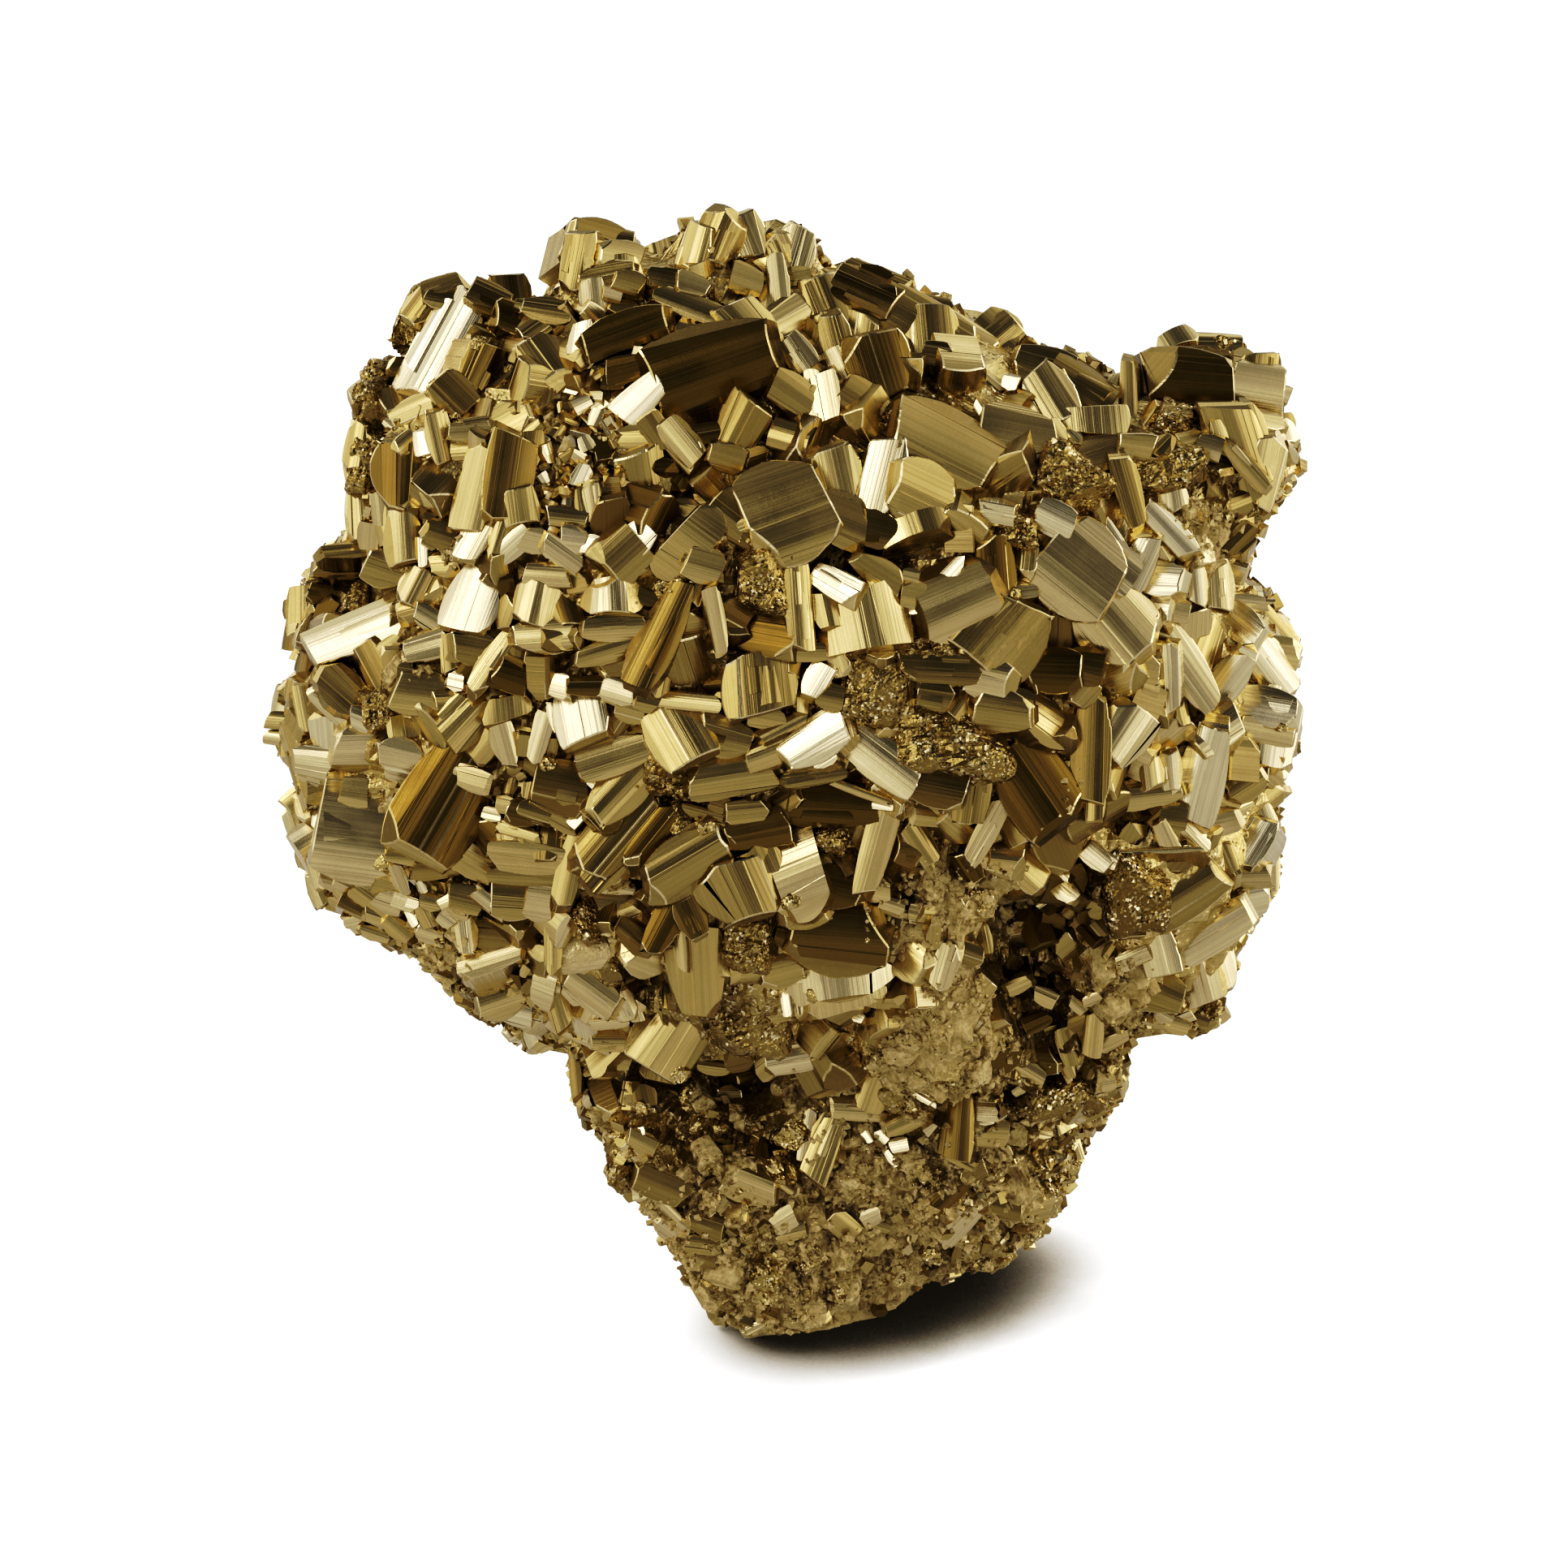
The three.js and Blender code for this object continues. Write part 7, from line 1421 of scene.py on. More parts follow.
def strips(rng, lo, hi, n, scale, slope, rough):
    """n boundaries between lo and hi, and a height at each: a smooth slope,
    small changes of tilt from strip to strip, and a few sharp little risers."""
    if n == 0:
        return np.zeros(0), np.zeros(0)
    if n == 1:
        at = np.array([(lo + hi) / 2])
        return at, slope(at)
    w = rng.uniform(0.25, 1.0, n - 1)
    narrow = rng.uniform(size=n - 1) < 0.22
    w[narrow] *= 0.16
    w = w / w.sum() * (hi - lo)
    at = np.concatenate([[lo], lo + np.cumsum(w)])
    tilt = rng.normal(0, rough, n - 1)
    tilt[narrow] += rng.choice([-1, 1], narrow.sum()) * rng.uniform(0.25, 0.6, narrow.sum())
    add = np.concatenate([[0], np.cumsum(tilt * w)])
    add -= np.interp(at, [lo, hi], [add[0], add[-1]])
    return at, slope(at) + add


def extend(at, height, lo, hi, slope):
    """Knots and heights that reach past both ends."""
    k = np.concatenate([[lo * 1.5 if lo < 0 else lo - 1], at, [hi * 1.5 if hi > 0 else hi + 1]])
    h = np.concatenate([[slope(k[:1])[0]], height, [slope(k[-1:])[0]]])
    return k, h


def block(rng, a, b, t, n, curve=0.12, side=0.12, rough=0.05):
    """A curved striated block, its outer face at z = 0: verts and polygons."""
    nx, ny, nz = n
    key = (nx, ny, nz)
    if key not in TOPOLOGY:
        TOPOLOGY[key] = topology(nx, ny, nz)
    count, faces, (T, B, EU, EV, EB, EZ) = TOPOLOGY[key]
    P = np.zeros((count, 3))
    kg = side * rng.uniform(0.5, 1.3)
    kh = side * rng.uniform(0.5, 1.3)
    kf = curve
    mid = rng.uniform(-0.25, 0.25) * b
    low = min(t, 1.3 * max(a, b))
    deep = 0.5 * low

    def base_f(y):
        return -kf * (y - mid) ** 2 / b

    def base_g(x):
        return b * (1 + kg * (0.5 - (x / a) ** 2))

    def base_h(z):
        s = np.clip((z + deep) / deep, -2, 1)
        return a * (1 + kh * (1 - s ** 2))

    inner_b = b * (1 - 0.62 * kg) * 0.93
    fy, fz = strips(rng, -inner_b, inner_b, ny, b, base_f, rough)
    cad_, fh = extend(fy, fz, -b, b, base_f)
    top = lambda y: np.interp(y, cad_, fh)
    g, h, xs, zs = [], [], [], []
    for s in (0, 1):
        x, y = strips(rng, -0.93 * a, 0.93 * a, nx, b, base_g, rough)
        kx, ky = extend(x, y, -a, a, base_g)
        g.append((kx, ky))
        xs.append(x)
        z0 = min(-0.10 * low, -1.25 * kf * b)
        z, xx = strips(rng, -0.92 * low, z0, nz, a, base_h, rough)
        kz = np.concatenate([[-t - 1], z, [0.3 * low]]) if nz else np.array([-t - 1, 0.3 * low])
        kx2 = np.concatenate([[base_h(np.array([-low]))[0]], xx, [base_h(np.array([0.0]))[0] * 1.0]])
        if nz:
            last = xx[-1] + (base_h(np.array([0.0]))[0] - xx[-1]) * (0.3 * low - z[-1]) / (0 - z[-1])
            kx2[-1] = last
        else:
            kx2 = np.array([a, a])
        h.append((kz, kx2))
        zs.append(z[::-1])
    G = lambda s, x: np.interp(x, *g[s])
    H = lambda s, z: np.interp(z, *h[s])
    sign = (-1, 1)
    for s in (0, 1):
        if ny:
            bow = a * rng.uniform(0.0, 0.20) * (1 - (fy / b) ** 2)
            P[EU[s]] = np.stack([sign[s] * (H(s, fz) + bow), fy, fz], -1)
        if nx:
            y = sign[s] * G(s, xs[s])
            P[EV[s]] = np.stack([xs[s], y, top(y)], -1)
            P[EB[s]] = np.stack([xs[s], y, np.full(nx, -t)], -1)
        for q in (0, 1):
            if nz:
                x = sign[s] * H(s, zs[s])
                P[EZ[s][q]] = np.stack([x, sign[q] * G(q, x), zs[s]], -1)
            z = 0.0
            for _ in range(5):
                x = sign[s] * H(s, z)
                y = sign[q] * G(q, x)
                z = float(top(y))
            P[T[s][q]] = (x, y, z)
            x = sign[s] * H(s, -t)
            P[B[s][q]] = (x, sign[q] * G(q, x), -t)
    # no face outline is quite square
    tx, ty, shear = rng.uniform(-0.18, 0.18, 3)
    P[:, 0] *= 1 + tx * P[:, 1] / b
    P[:, 1] *= 1 + ty * P[:, 0] / a
    P[:, 0] += shear * P[:, 1]
    P[:, 2] += rng.uniform(-0.03, 0.03) * P[:, 0]
    return P, faces


def cut(P, faces, planes):
    """Takes corners and edges off a block and closes each cut."""
    bm = bmesh.new()
    vs = [bm.verts.new(p) for p in P]
    for f in faces:
        try:
            bm.faces.new([vs[i] for i in f])
        except ValueError:
            pass
    for co, no in planes:
        geom = bm.verts[:] + bm.edges[:] + bm.faces[:]
        r = bmesh.ops.bisect_plane(bm, geom=geom, plane_co=co, plane_no=no, dist=1e-5, clear_outer=True)
        edges = [g for g in r["geom_cut"] if isinstance(g, bmesh.types.BMEdge)]
        if edges:
            bmesh.ops.contextual_create(bm, geom=edges)
    bm.verts.index_update()
    P = np.array([v.co[:] for v in bm.verts])
    faces = [[v.index for v in f.verts] for f in bm.faces]
    closed = all(len(e.link_faces) == 2 for e in bm.edges)
    bm.free()
    return (P, faces) if closed and len(faces) > 3 else None


def soften(P, faces, width, deep):
    """Wears the sharp edges of a block above a depth. Also says which faces are wear."""
    bm = bmesh.new()
    vs = [bm.verts.new(p) for p in P]
    for f in faces:
        try:
            bm.faces.new([vs[i] for i in f])
        except ValueError:
            pass
    bm.normal_update()
    edges = [e for e in bm.edges if len(e.link_faces) == 2 and e.calc_face_angle(0.0) > 0.62
             and (e.verts[0].co.z + e.verts[1].co.z) / 2 > -deep]
    if not edges:
        bm.free()
        return None
    r = bmesh.ops.bevel(bm, geom=edges, offset=width, offset_type="OFFSET", segments=1, affect="EDGES",
                        clamp_overlap=False, loop_slide=True)
    fresh = set(r["faces"])
    bm.verts.index_update()
    Q = np.array([v.co[:] for v in bm.verts])
    faces = [[v.index for v in f.verts] for f in bm.faces]
    worn = np.array([f in fresh for f in bm.faces])
    closed = all(len(e.link_faces) == 2 for e in bm.edges)
    bm.free()
    fits = (Q.max(0) < P.max(0) + 0.02).all() and (Q.min(0) > P.min(0) - 0.02).all()
    return (Q, faces, worn) if closed and fits else None


def facet_uv(P, faces, offset):
    """For each corner: how far along the striations and how far across them.
    Also which kind of face it is: 0 outer, 1 side across z, 2 side across x, 3 cut."""
    loops = np.concatenate([np.asarray(f) for f in faces])
    sizes = np.array([len(f) for f in faces])
    starts = np.concatenate([[0], np.cumsum(sizes)[:-1]])
    nxt = np.arange(len(loops)) + 1
    nxt[starts + sizes - 1] = starts
    p, q = P[loops], P[loops[nxt]]
    normal = np.add.reduceat(np.cross(p, q), starts)
    normal /= np.maximum(np.linalg.norm(normal, axis=1), 1e-9)[:, None]
    an = np.abs(normal)
    kind = np.where(an[:, 2] > 0.80, 0, np.where(an[:, 0] > 0.80, 1, np.where(an[:, 1] > 0.80, 2, 3)))
    k = np.repeat(kind, sizes)
    x, y, z = p.T
    u = np.choose(k, [x, y, z, x + y])
    v = np.choose(k, [y, z, x, z * 0.3])
    uv = np.stack([u + offset[0] + 37 * k, v + offset[1] + 91 * k], -1)
    return loops, sizes, uv, kind


WEAR = {"edges": 0}
# how dark each tone paints a face: W a painted highlight, K painted shade, partly tarnish
SHADE_AND_TARNISH = {"W": 0.0, "L": 0.25, "M": 0.5, "D": 0.78, "K": 0.95}

# Spots of painted shade on the front, partly tarnish, and after them spots of painted light: x, y, radius (px).
SHADE_SPOTS = [(1080, 370, 85), (1290, 425, 60), (1500, 445, 55), (800, 1120, 50), (1250, 1380, 45), (1020, 520, 60), (1140, 500, 60), (1280, 800, 70), (1240, 900, 60), (820, 1000, 70), (900, 1020, 60), (1010, 1020, 70), (1090, 1080, 60), (640, 400, 70), (800, 600, 70), (420, 790, 95), (1290, 1170, 85), (1310, 1290, 75), (1180, 1430, 55), (1320, 1440, 50), (830, 1300, 60), (650, 1040, 60), (1530, 610, 50), (640, 800, 85), (850, 1230, 70), (560, 620, 60), (1090, 560, 80), (870, 560, 80), (880, 800, 95), (890, 1110, 95), (1060, 650, 70), (900, 1400, 80), (1210, 960, 60), (1330, 1120, 60)]
LIT_SPOTS = [(1300, 600, 80), (1390, 690, 75), (1545, 800, 110), (1535, 960, 90), (1545, 1110, 70), (430, 890, 60), (410, 1050, 55), (650, 1290, 60)]


def near_spots(px, spots, edge=0.35):
    w = np.zeros(len(px))
    for s in spots:
        d = np.hypot(px[:, 0] - s[0], px[:, 1] - s[1]) / s[2]
        w = np.maximum(w, smooth((1 + edge - d) / (2 * edge)))
    return w


# painted shade in the shade spots and painted light in the lit spots, partly tarnish; none on crystals at the back
# that face away
def spot_shade_and_tarnish(c, N):
    if (EYE - c) @ N < 0 and c[1] > 20:
        return 0.0
    q = to_frame(np.asarray(c)[None])
    return float(0.22 * near_spots(q, SHADE_SPOTS)[0] - 0.22 * near_spots(q, LIT_SPOTS)[0])



def place_crystal(gather, rng, c, U, N, a, b, t, tone, flags, fine=1.0, cuts=True, rough=None, guard=False, wild=1.0, wear=False):
    U = U - (U @ N) * N
    U = U / np.linalg.norm(U)
    V = np.cross(N, U)
    big = max(a, b)
    k = fine * big
    n = (int(np.clip(2 + k * 0.9, 2, 18)), int(np.clip(3 + k * 1.25, 3, 24)), int(np.clip(1 + k * 0.6, 1, 12)))
    curve = rng.uniform(0.07, 0.16) if tone == "W" else rng.uniform(0.12, 0.32)
    if "C" in flags:
        curve = rng.uniform(0.30, 0.42)
    side = rng.uniform(0.14, 0.40)
    if rough is None:
        rough = rng.uniform(0.008, 0.024) if "S" not in flags else rng.uniform(0.035, 0.065)
    P, faces = block(rng, a, b, t, n, curve, side, rough)
    if cuts and big > 2.6:
        planes = []
        m = min(a, b)
        for _ in range(rng.integers(1, 4) if wild > 1 else rng.integers(0, 4)):
            s = rng.choice([-1, 1], 2)
            no = np.array([s[0] * rng.uniform(0.5, 1.2), s[1] * rng.uniform(0.5, 1.2), rng.uniform(0.5, 1.2)])
            no /= np.linalg.norm(no)
            corner = np.array([s[0] * a, s[1] * b, -curve * b])
            planes.append((corner - no * m * rng.uniform(0.06, 0.30) * wild ** 1.5, no))
        if rng.uniform() < 0.22 * wild:
            s = rng.choice([-1, 1])
            if rng.uniform() < 0.5:
                no, corner = np.array([s, 0, rng.uniform(0.6, 1.6)]), np.array([s * a, 0, 0])
            else:
                no, corner = np.array([0, s, rng.uniform(0.6, 1.6)]), np.array([0, s * b, -curve * b])
            no = no / np.linalg.norm(no)
            planes.append((corner - no * m * rng.uniform(0.06, 0.2), no))
        if planes:
            done = cut(P, faces, [(Vector(p), Vector(q)) for p, q in planes])
            if done:
                P, faces = done
    worn = None
    if wear and min(a, b) > 2.4:
        done = soften(P, faces, min(0.34, 0.05 * min(a, b)), 0.9 * min(a, b))
        if done:
            P, faces, worn = done
    loops, sizes, uv, kind = facet_uv(P, faces, rng.uniform(-400, 400, 2))
    world = np.asarray(c) + P[:, :1] * U + P[:, 1:2] * V + P[:, 2:3] * N
    if guard and spills(world):
        return None
    world[:, 2] = np.maximum(world[:, 2], 0.0)
    look = np.zeros((len(sizes), 4))
    # each face is painted by its tone, from a painted highlight (W) to painted shade (K), partly tarnish
    shade_and_tarnish = SHADE_AND_TARNISH.get(tone, 0.5)
    # painted shade and painted light from the spots
    spot_shade = spot_shade_and_tarnish(c, N)
    look[:, 0] = np.clip(shade_and_tarnish + rng.normal(0, 0.06) + spot_shade, 0, 1)
    # the sides of a crystal get part of the face's painted shade and tarnish, a random tone of their own, and the
    # spots' painted shade and light
    for which in (1, 2, 3):
        look[kind == which, 0] = np.clip(0.45 * shade_and_tarnish + rng.uniform(0.12, 0.55) + spot_shade, 0, 1)
    # matrix dust and a little random dust, none on W faces, which keep their painted highlight
    look[:, 1] = (0.55 if "m" in flags else 0.0) + (0.12 * rng.uniform() if tone != "W" else 0)
    look[:, 2] = 0.32 if "B" in flags else (0.75 if "O" in flags else 0.0)
    look[:, 3] = np.where(kind == 3, 0.35, 0.0) + (0.25 if "P" in flags else 0)
    # the bevelled rims are painted lighter than the face: rubbed wear, and a painted highlight along the edges
    if worn is not None:
        WEAR["edges"] += int(worn.sum())
        look[worn, 0] = np.clip(0.35 * shade_and_tarnish + rng.uniform(-0.1, 0.15), 0, 1)
        look[worn, 3] = 0.2
    gather.add(world, loops, sizes, uv, look)
    return U, V


def turned(rng, N, U, angle):
    """N and U tipped by up to angle (radians) about a random axis."""
    ax = rng.normal(size=3)
    ax /= np.linalg.norm(ax)
    w = rng.uniform(-angle, angle)
    cw, sw = math.cos(w), math.sin(w)

    def rot(v):
        return v * cw + np.cross(ax, v) * sw + ax * (ax @ v) * (1 - cw)

    return rot(N), rot(U)


# ------------------------------------------------------- a broken, granular lump
def cube_grid(n):
    s = np.linspace(-1, 1, n + 1)
    index, verts, faces = {}, [], []

    def vid(p):
        key = tuple(np.round(p, 5))
        if key not in index:
            index[key] = len(verts)
            verts.append(p)
        return index[key]

    for axis in range(3):
        for sgn in (-1, 1):
            o = [i for i in range(3) if i != axis]
            for i in range(n):
                for j in range(n):
                    quad = []
                    for di, dj in ((0, 0), (1, 0), (1, 1), (0, 1)):
                        p = np.zeros(3)
                        p[axis] = sgn
                        p[o[0]] = s[i + di]
                        p[o[1]] = s[j + dj]
                        quad.append(vid(p))
                    flip = (axis == 1) ^ (sgn < 0)
                    faces.append(quad[::-1] if flip else quad)
    return np.array(verts), np.array(faces)


CUBES = {n: cube_grid(n) for n in (1, 2, 3, 5, 8, 12, 16)}


def broken(gather, rng, c, U, N, a, b, t, amount=0.16, n=12, look=(0.35, 0.1, 0.0, 1.0), rounding=0.35):
    """A lump whose surface is a patchwork of small tilted facets."""
    U = U - (U @ N) * N
    U = U / np.linalg.norm(U)
    V = np.cross(N, U)
    base, faces = CUBES[n]
    m = min(a, b, t)
    inner = np.clip(base, -(1 - rounding), 1 - rounding)
    d = base - inner
    ln = np.linalg.norm(d, axis=1)
    q = inner + d / np.maximum(ln, 1e-9)[:, None] * rounding
    nrm = d / np.maximum(ln, 1e-9)[:, None]
    nrm[ln < 1e-9] = base[ln < 1e-9]
    half = np.array([a, b, t / 2])
    P = q * half
    kseeds = int(np.clip(6 * (a * b + b * t + a * t) / 9, 24, 420))
    pick = rng.choice(len(P), min(kseeds, len(P)), replace=False)
    seeds = P[pick] + rng.normal(0, 0.05 * m, (len(pick), 3))
    heft = rng.uniform(0, 1, len(pick)) ** 3 * (0.16 * m) ** 2 * 6      # some facets are much wider
    tip = nrm[pick] + rng.normal(0, 0.36, (len(pick), 3))
    tip /= np.linalg.norm(tip, axis=1)[:, None]
    off = rng.uniform(-1, 1, len(pick)) * min(amount * m * 0.35, 0.16)
    reach = ((P[:, None, :] - seeds[None]) ** 2).sum(2) - heft[None]
    planes = []
    for near in np.argpartition(reach, 3, axis=1)[:, :3].T:
        den = np.maximum((nrm * tip[near]).sum(1), 0.35)
        planes.append(((seeds[near] - P) * tip[near]).sum(1) / den + off[near])
    h = np.median(planes, 0)
    limit = min(amount * m, 0.55)
    P = P + nrm * np.clip(h, -limit, limit)[:, None]
    # slow swells and hollows
    slow = noise3(P / (0.8 * m) + rng.uniform(-50, 50, 3), 12)
    P = P + nrm * (slow * 0.22 * m)[:, None]
    # chips taken off it, and a fine tooth
    for _ in range(rng.integers(2, 5)):
        no = rng.normal(size=3)
        no[2] = abs(no[2])
        no /= np.linalg.norm(no)
        reach = (P @ no).max()
        past = np.maximum(P @ no - reach * rng.uniform(0.62, 0.85), 0)
        P = P - past[:, None] * no * 0.85
    P = P + rng.normal(0, min(0.014 * m, 0.05), P.shape)
    world = np.asarray(c) + P[:, :1] * U + P[:, 1:2] * V + (P[:, 2:3] - t / 2) * N
    world[:, 2] = np.maximum(world[:, 2], 0.0)
    loops = faces.ravel()
    sizes = np.full(len(faces), 4)
    uv = np.stack([P[loops][:, 0] + P[loops][:, 2] * 0.7, P[loops][:, 1] + P[loops][:, 2] * 0.7], -1) + rng.uniform(-300, 300, 2)
    lk = np.tile(np.array(look), (len(faces), 1))
    gather.add(world, loops, sizes, uv, lk)
    return world


# ------------------------------------------------------- many small crystals
def small_many(gather, rng, centres, normals, halves, look, n=1, taper=0.18, squash=(0.55, 1.0)):
    """Small rough cubes, all built at once. halves is one half size for each."""
    k = len(centres)
    if not k:
        return
    base, faces = CUBES[n]
    ax = rng.normal(size=(k, 3))
    U = ax - (ax * normals).sum(1)[:, None] * normals
    U /= np.linalg.norm(U, axis=1)[:, None]
    V = np.cross(normals, U)
    scale = np.stack([rng.uniform(0.8, 1.35, k), rng.uniform(squash[0], squash[1], k), rng.uniform(0.8, 1.1, k)], 1) * halves[:, None]
    q = base[None] * (1 + 0.10 * (1 - (base[None] ** 2).sum(2)[:, :, None] / 3)) if n > 1 else np.repeat(base[None], 1, 0)
    P = np.repeat(q, k, 0) * scale[:, None, :]
    tx = rng.uniform(-taper, taper, (k, 1))
    ty = rng.uniform(-taper, taper, (k, 1))
    P[:, :, 0] *= 1 + tx * P[:, :, 1] / scale[:, 1:2] + 0.5 * ty * P[:, :, 2] / scale[:, 2:3]
    P[:, :, 1] *= 1 + ty * P[:, :, 0] / scale[:, :1] - 0.5 * tx * P[:, :, 2] / scale[:, 2:3]
    P += rng.normal(0, 0.045, P.shape) * halves[:, None, None]
    W = centres[:, None, :] + P[:, :, :1] * U[:, None] + P[:, :, 1:2] * V[:, None] + P[:, :, 2:3] * normals[:, None]
    W[:, :, 2] = np.maximum(W[:, :, 2], 0.0)
    nv = len(base)
    nf = len(faces)
    loops = (faces[None] + (np.arange(k) * nv)[:, None, None]).reshape(-1)
    sizes = np.full(nf * k, 4)
    # striations run a different way on each pair of faces
    fn = np.cross(base[faces[:, 1]] - base[faces[:, 0]], base[faces[:, 2]] - base[faces[:, 0]])
    kind = np.abs(fn).argmax(1)
    kk = np.tile(np.repeat(kind, 4), k)
    PL = P[:, faces.ravel(), :].reshape(-1, 3)
    u = np.choose(kk, [PL[:, 1], PL[:, 2], PL[:, 0]])
    v = np.choose(kk, [PL[:, 2], PL[:, 0], PL[:, 1]])
    off = np.repeat(rng.uniform(-400, 400, (k, 2)), nf * 4, 0)
    uv = np.stack([u, v], -1) + off
    gather.add(W.reshape(-1, 3), loops, sizes, uv, np.repeat(look, nf, 0))


# ------------------------------------------------------- the mass
def mass_point(theta, z):
    """Points of the mass (mm) at angles theta and heights z, arrays alike."""
    X0, X1, Y0, Y1, SH = (np.interp(z, LEVELS[:, 0], LEVELS[:, i]) for i in range(1, 6))
    c, s = np.cos(theta), np.sin(theta)
    r = (np.abs(c) ** SQUARENESS + np.abs(s) ** SQUARENESS) ** (-1 / SQUARENESS)
    w = 1 + 0.025 * np.sin(3 * theta + z / 17) + 0.02 * np.sin(5 * theta - z / 11)
    x = (X0 + X1) / 2 + (X1 - X0) / 2 * c * r * w
    y = (Y0 + Y1) / 2 + (Y1 - Y0) / 2 * s * r * w + SH * (x - (X0 + X1) / 2)
    return np.stack([x, y, z], -1)


# Hollows and bulges of the front, in the frame: x, y, half width, half
# height (px), turn (degrees) and how far in or out (mm).
RELIEF = [
    (1290, 1165, 90, 72, 0, -22), (1285, 1255, 62, 50, 0, -15), (900, 1356, 190, 42, 9, -21), (890, 1398, 95, 32, 5, -10),
    (1050, 682, 95, 24, -6, -9), (865, 606, 42, 30, 20, -8), (1226, 588, 16, 30, 0, -8), (1010, 985, 70, 26, 5, -6),
    (770, 1108, 50, 26, 0, -7), (786, 1206, 36, 40, 0, -9), (610, 1088, 52, 22, 20, -8), (625, 1158, 62, 26, 30, -8),
    (1395, 1003, 45, 40, 0, -7), (1095, 955, 30, 50, 0, -6), (1340, 1090, 60, 22, 0, -8), (700, 500, 75, 60, 0, -3),
    (1275, 905, 26, 40, 0, -5), (1190, 1360, 40, 30, 0, -5), (1330, 1330, 40, 26, 0, -8), (980, 1425, 60, 24, 0, -6),
    (925, 1535, 80, 120, 0, 4), (1205, 1480, 120, 75, 0, 4), (1060, 1590, 36, 60, 15, -6), (1000, 1450, 30, 50, 0, -4),
    (900, 1160, 175, 130, 0, 9), (1465, 1130, 95, 110, 0, 7), (1165, 1250, 55, 150, 0, 5), (620, 950, 150, 110, 0, 2),
]


def relief(px):
    inward, outward = np.zeros(len(px)), np.zeros(len(px))
    for x, y, rx, ry, turn, depth in RELIEF:
        c_, s_ = math.cos(math.radians(turn)), math.sin(math.radians(turn))
        dx, dy = px[:, 0] - x, px[:, 1] - y
        q = np.hypot((dx * c_ + dy * s_) / rx, (dy * c_ - dx * s_) / ry)
        w = smooth(1.3 - q) * depth
        inward = np.minimum(inward, w)
        outward = np.maximum(outward, w)
    return inward + outward * (inward > -3)


DRUSE = [(500, 1180, 50), (600, 1215, 50), (660, 1275, 45), (565, 1095, 35), (450, 520, 45), (445, 600, 45), (700, 500, 55), (700, 560, 60), (690, 600, 50), (635, 975, 38), (470, 1110, 60),
         (560, 1150, 50), (430, 1090, 45), (1450, 1255, 40), (690, 640, 45), (1320, 1400, 60), (1180, 1500, 60), (900, 1500, 60)]
PALE = [(1480, 660, 45), (1145, 1090, 30), (1100, 1145, 34), (1210, 1120, 50), (1170, 1150, 45), (1230, 1090, 40),
        (1170, 1230, 50), (1130, 1290, 60), (1200, 1300, 50), (1340, 980, 34), (1385, 1220, 42), (548, 1190, 34),
        (1060, 1440, 60), (1180, 1450, 60), (1230, 1530, 60), (1000, 1510, 50), (820, 1500, 50), (1010, 1340, 40),
        (500, 830, 30), (560, 680, 20), (1090, 1500, 60), (870, 1625, 60), (1000, 1620, 50), (1110, 1585, 50), (850, 1560, 70), (900, 1470, 45), (1240, 1570, 60)]
FIBROUS = [(920, 1180, 60), (930, 1260, 60), (1070, 1270, 60), (830, 1415, 50), (915, 1610, 70), (880, 1560, 60)]


SUNKEN = 3.0      # the mass lies this far below the crystals' roots (mm)
MASS_COLUMNS = 436
mass_z = np.concatenate([np.linspace(0, 104, 124)[:-1], np.linspace(104, 309, 92)])
mass_t = np.linspace(0, 2 * math.pi, MASS_COLUMNS, endpoint=False)
mass_t = mass_t - 0.42 * np.sin(mass_t - 1.5 * math.pi)      # closer together in front
TT, ZZ = np.meshgrid(mass_t, mass_z)
mass_p = mass_point(TT.ravel(), ZZ.ravel())
e = 1e-3
du = mass_point(TT.ravel() + e, ZZ.ravel()) - mass_point(TT.ravel() - e, ZZ.ravel())
dz = mass_point(TT.ravel(), np.minimum(ZZ.ravel() + 1.5, 309)) - mass_point(TT.ravel(), np.maximum(ZZ.ravel() - 1.5, -8))
mass_n = np.cross(du, dz)
mass_n /= np.maximum(np.linalg.norm(mass_n, axis=1), 1e-9)[:, None]
mass_px = to_frame(mass_p)
seen = ((EYE - mass_p) * mass_n).sum(1) > 0
rng = np.random.default_rng(41)

h = 1.5 * noise3(mass_p / 16.0, 3) + 1.0 * noise3(mass_p / 6.5, 4) + 0.5 * noise3(mass_p / 2.6, 5)
h = h * np.where(mass_p[:, 2] < 95, 1.9, 1.0)
h += 0.45 * noise3(mass_p / 1.5, 8) * (mass_p[:, 2] < 110)
toward = EYE - mass_p
facing = (toward / np.linalg.norm(toward, axis=1)[:, None] * mass_n).sum(1)
h += np.where(seen, relief(mass_px) * smooth(facing / 0.45), 0)
cement = np.where(seen, near_spots(mass_px, PALE), 0)
lower = smooth((112 - mass_p[:, 2]) / 30)
h -= SUNKEN * (1 - lower) * (1 - cement) * smooth((mass_p[:, 2] - 2) / 20)
h += 1.1 * cement * smooth((mass_p[:, 2] - 6) / 20)
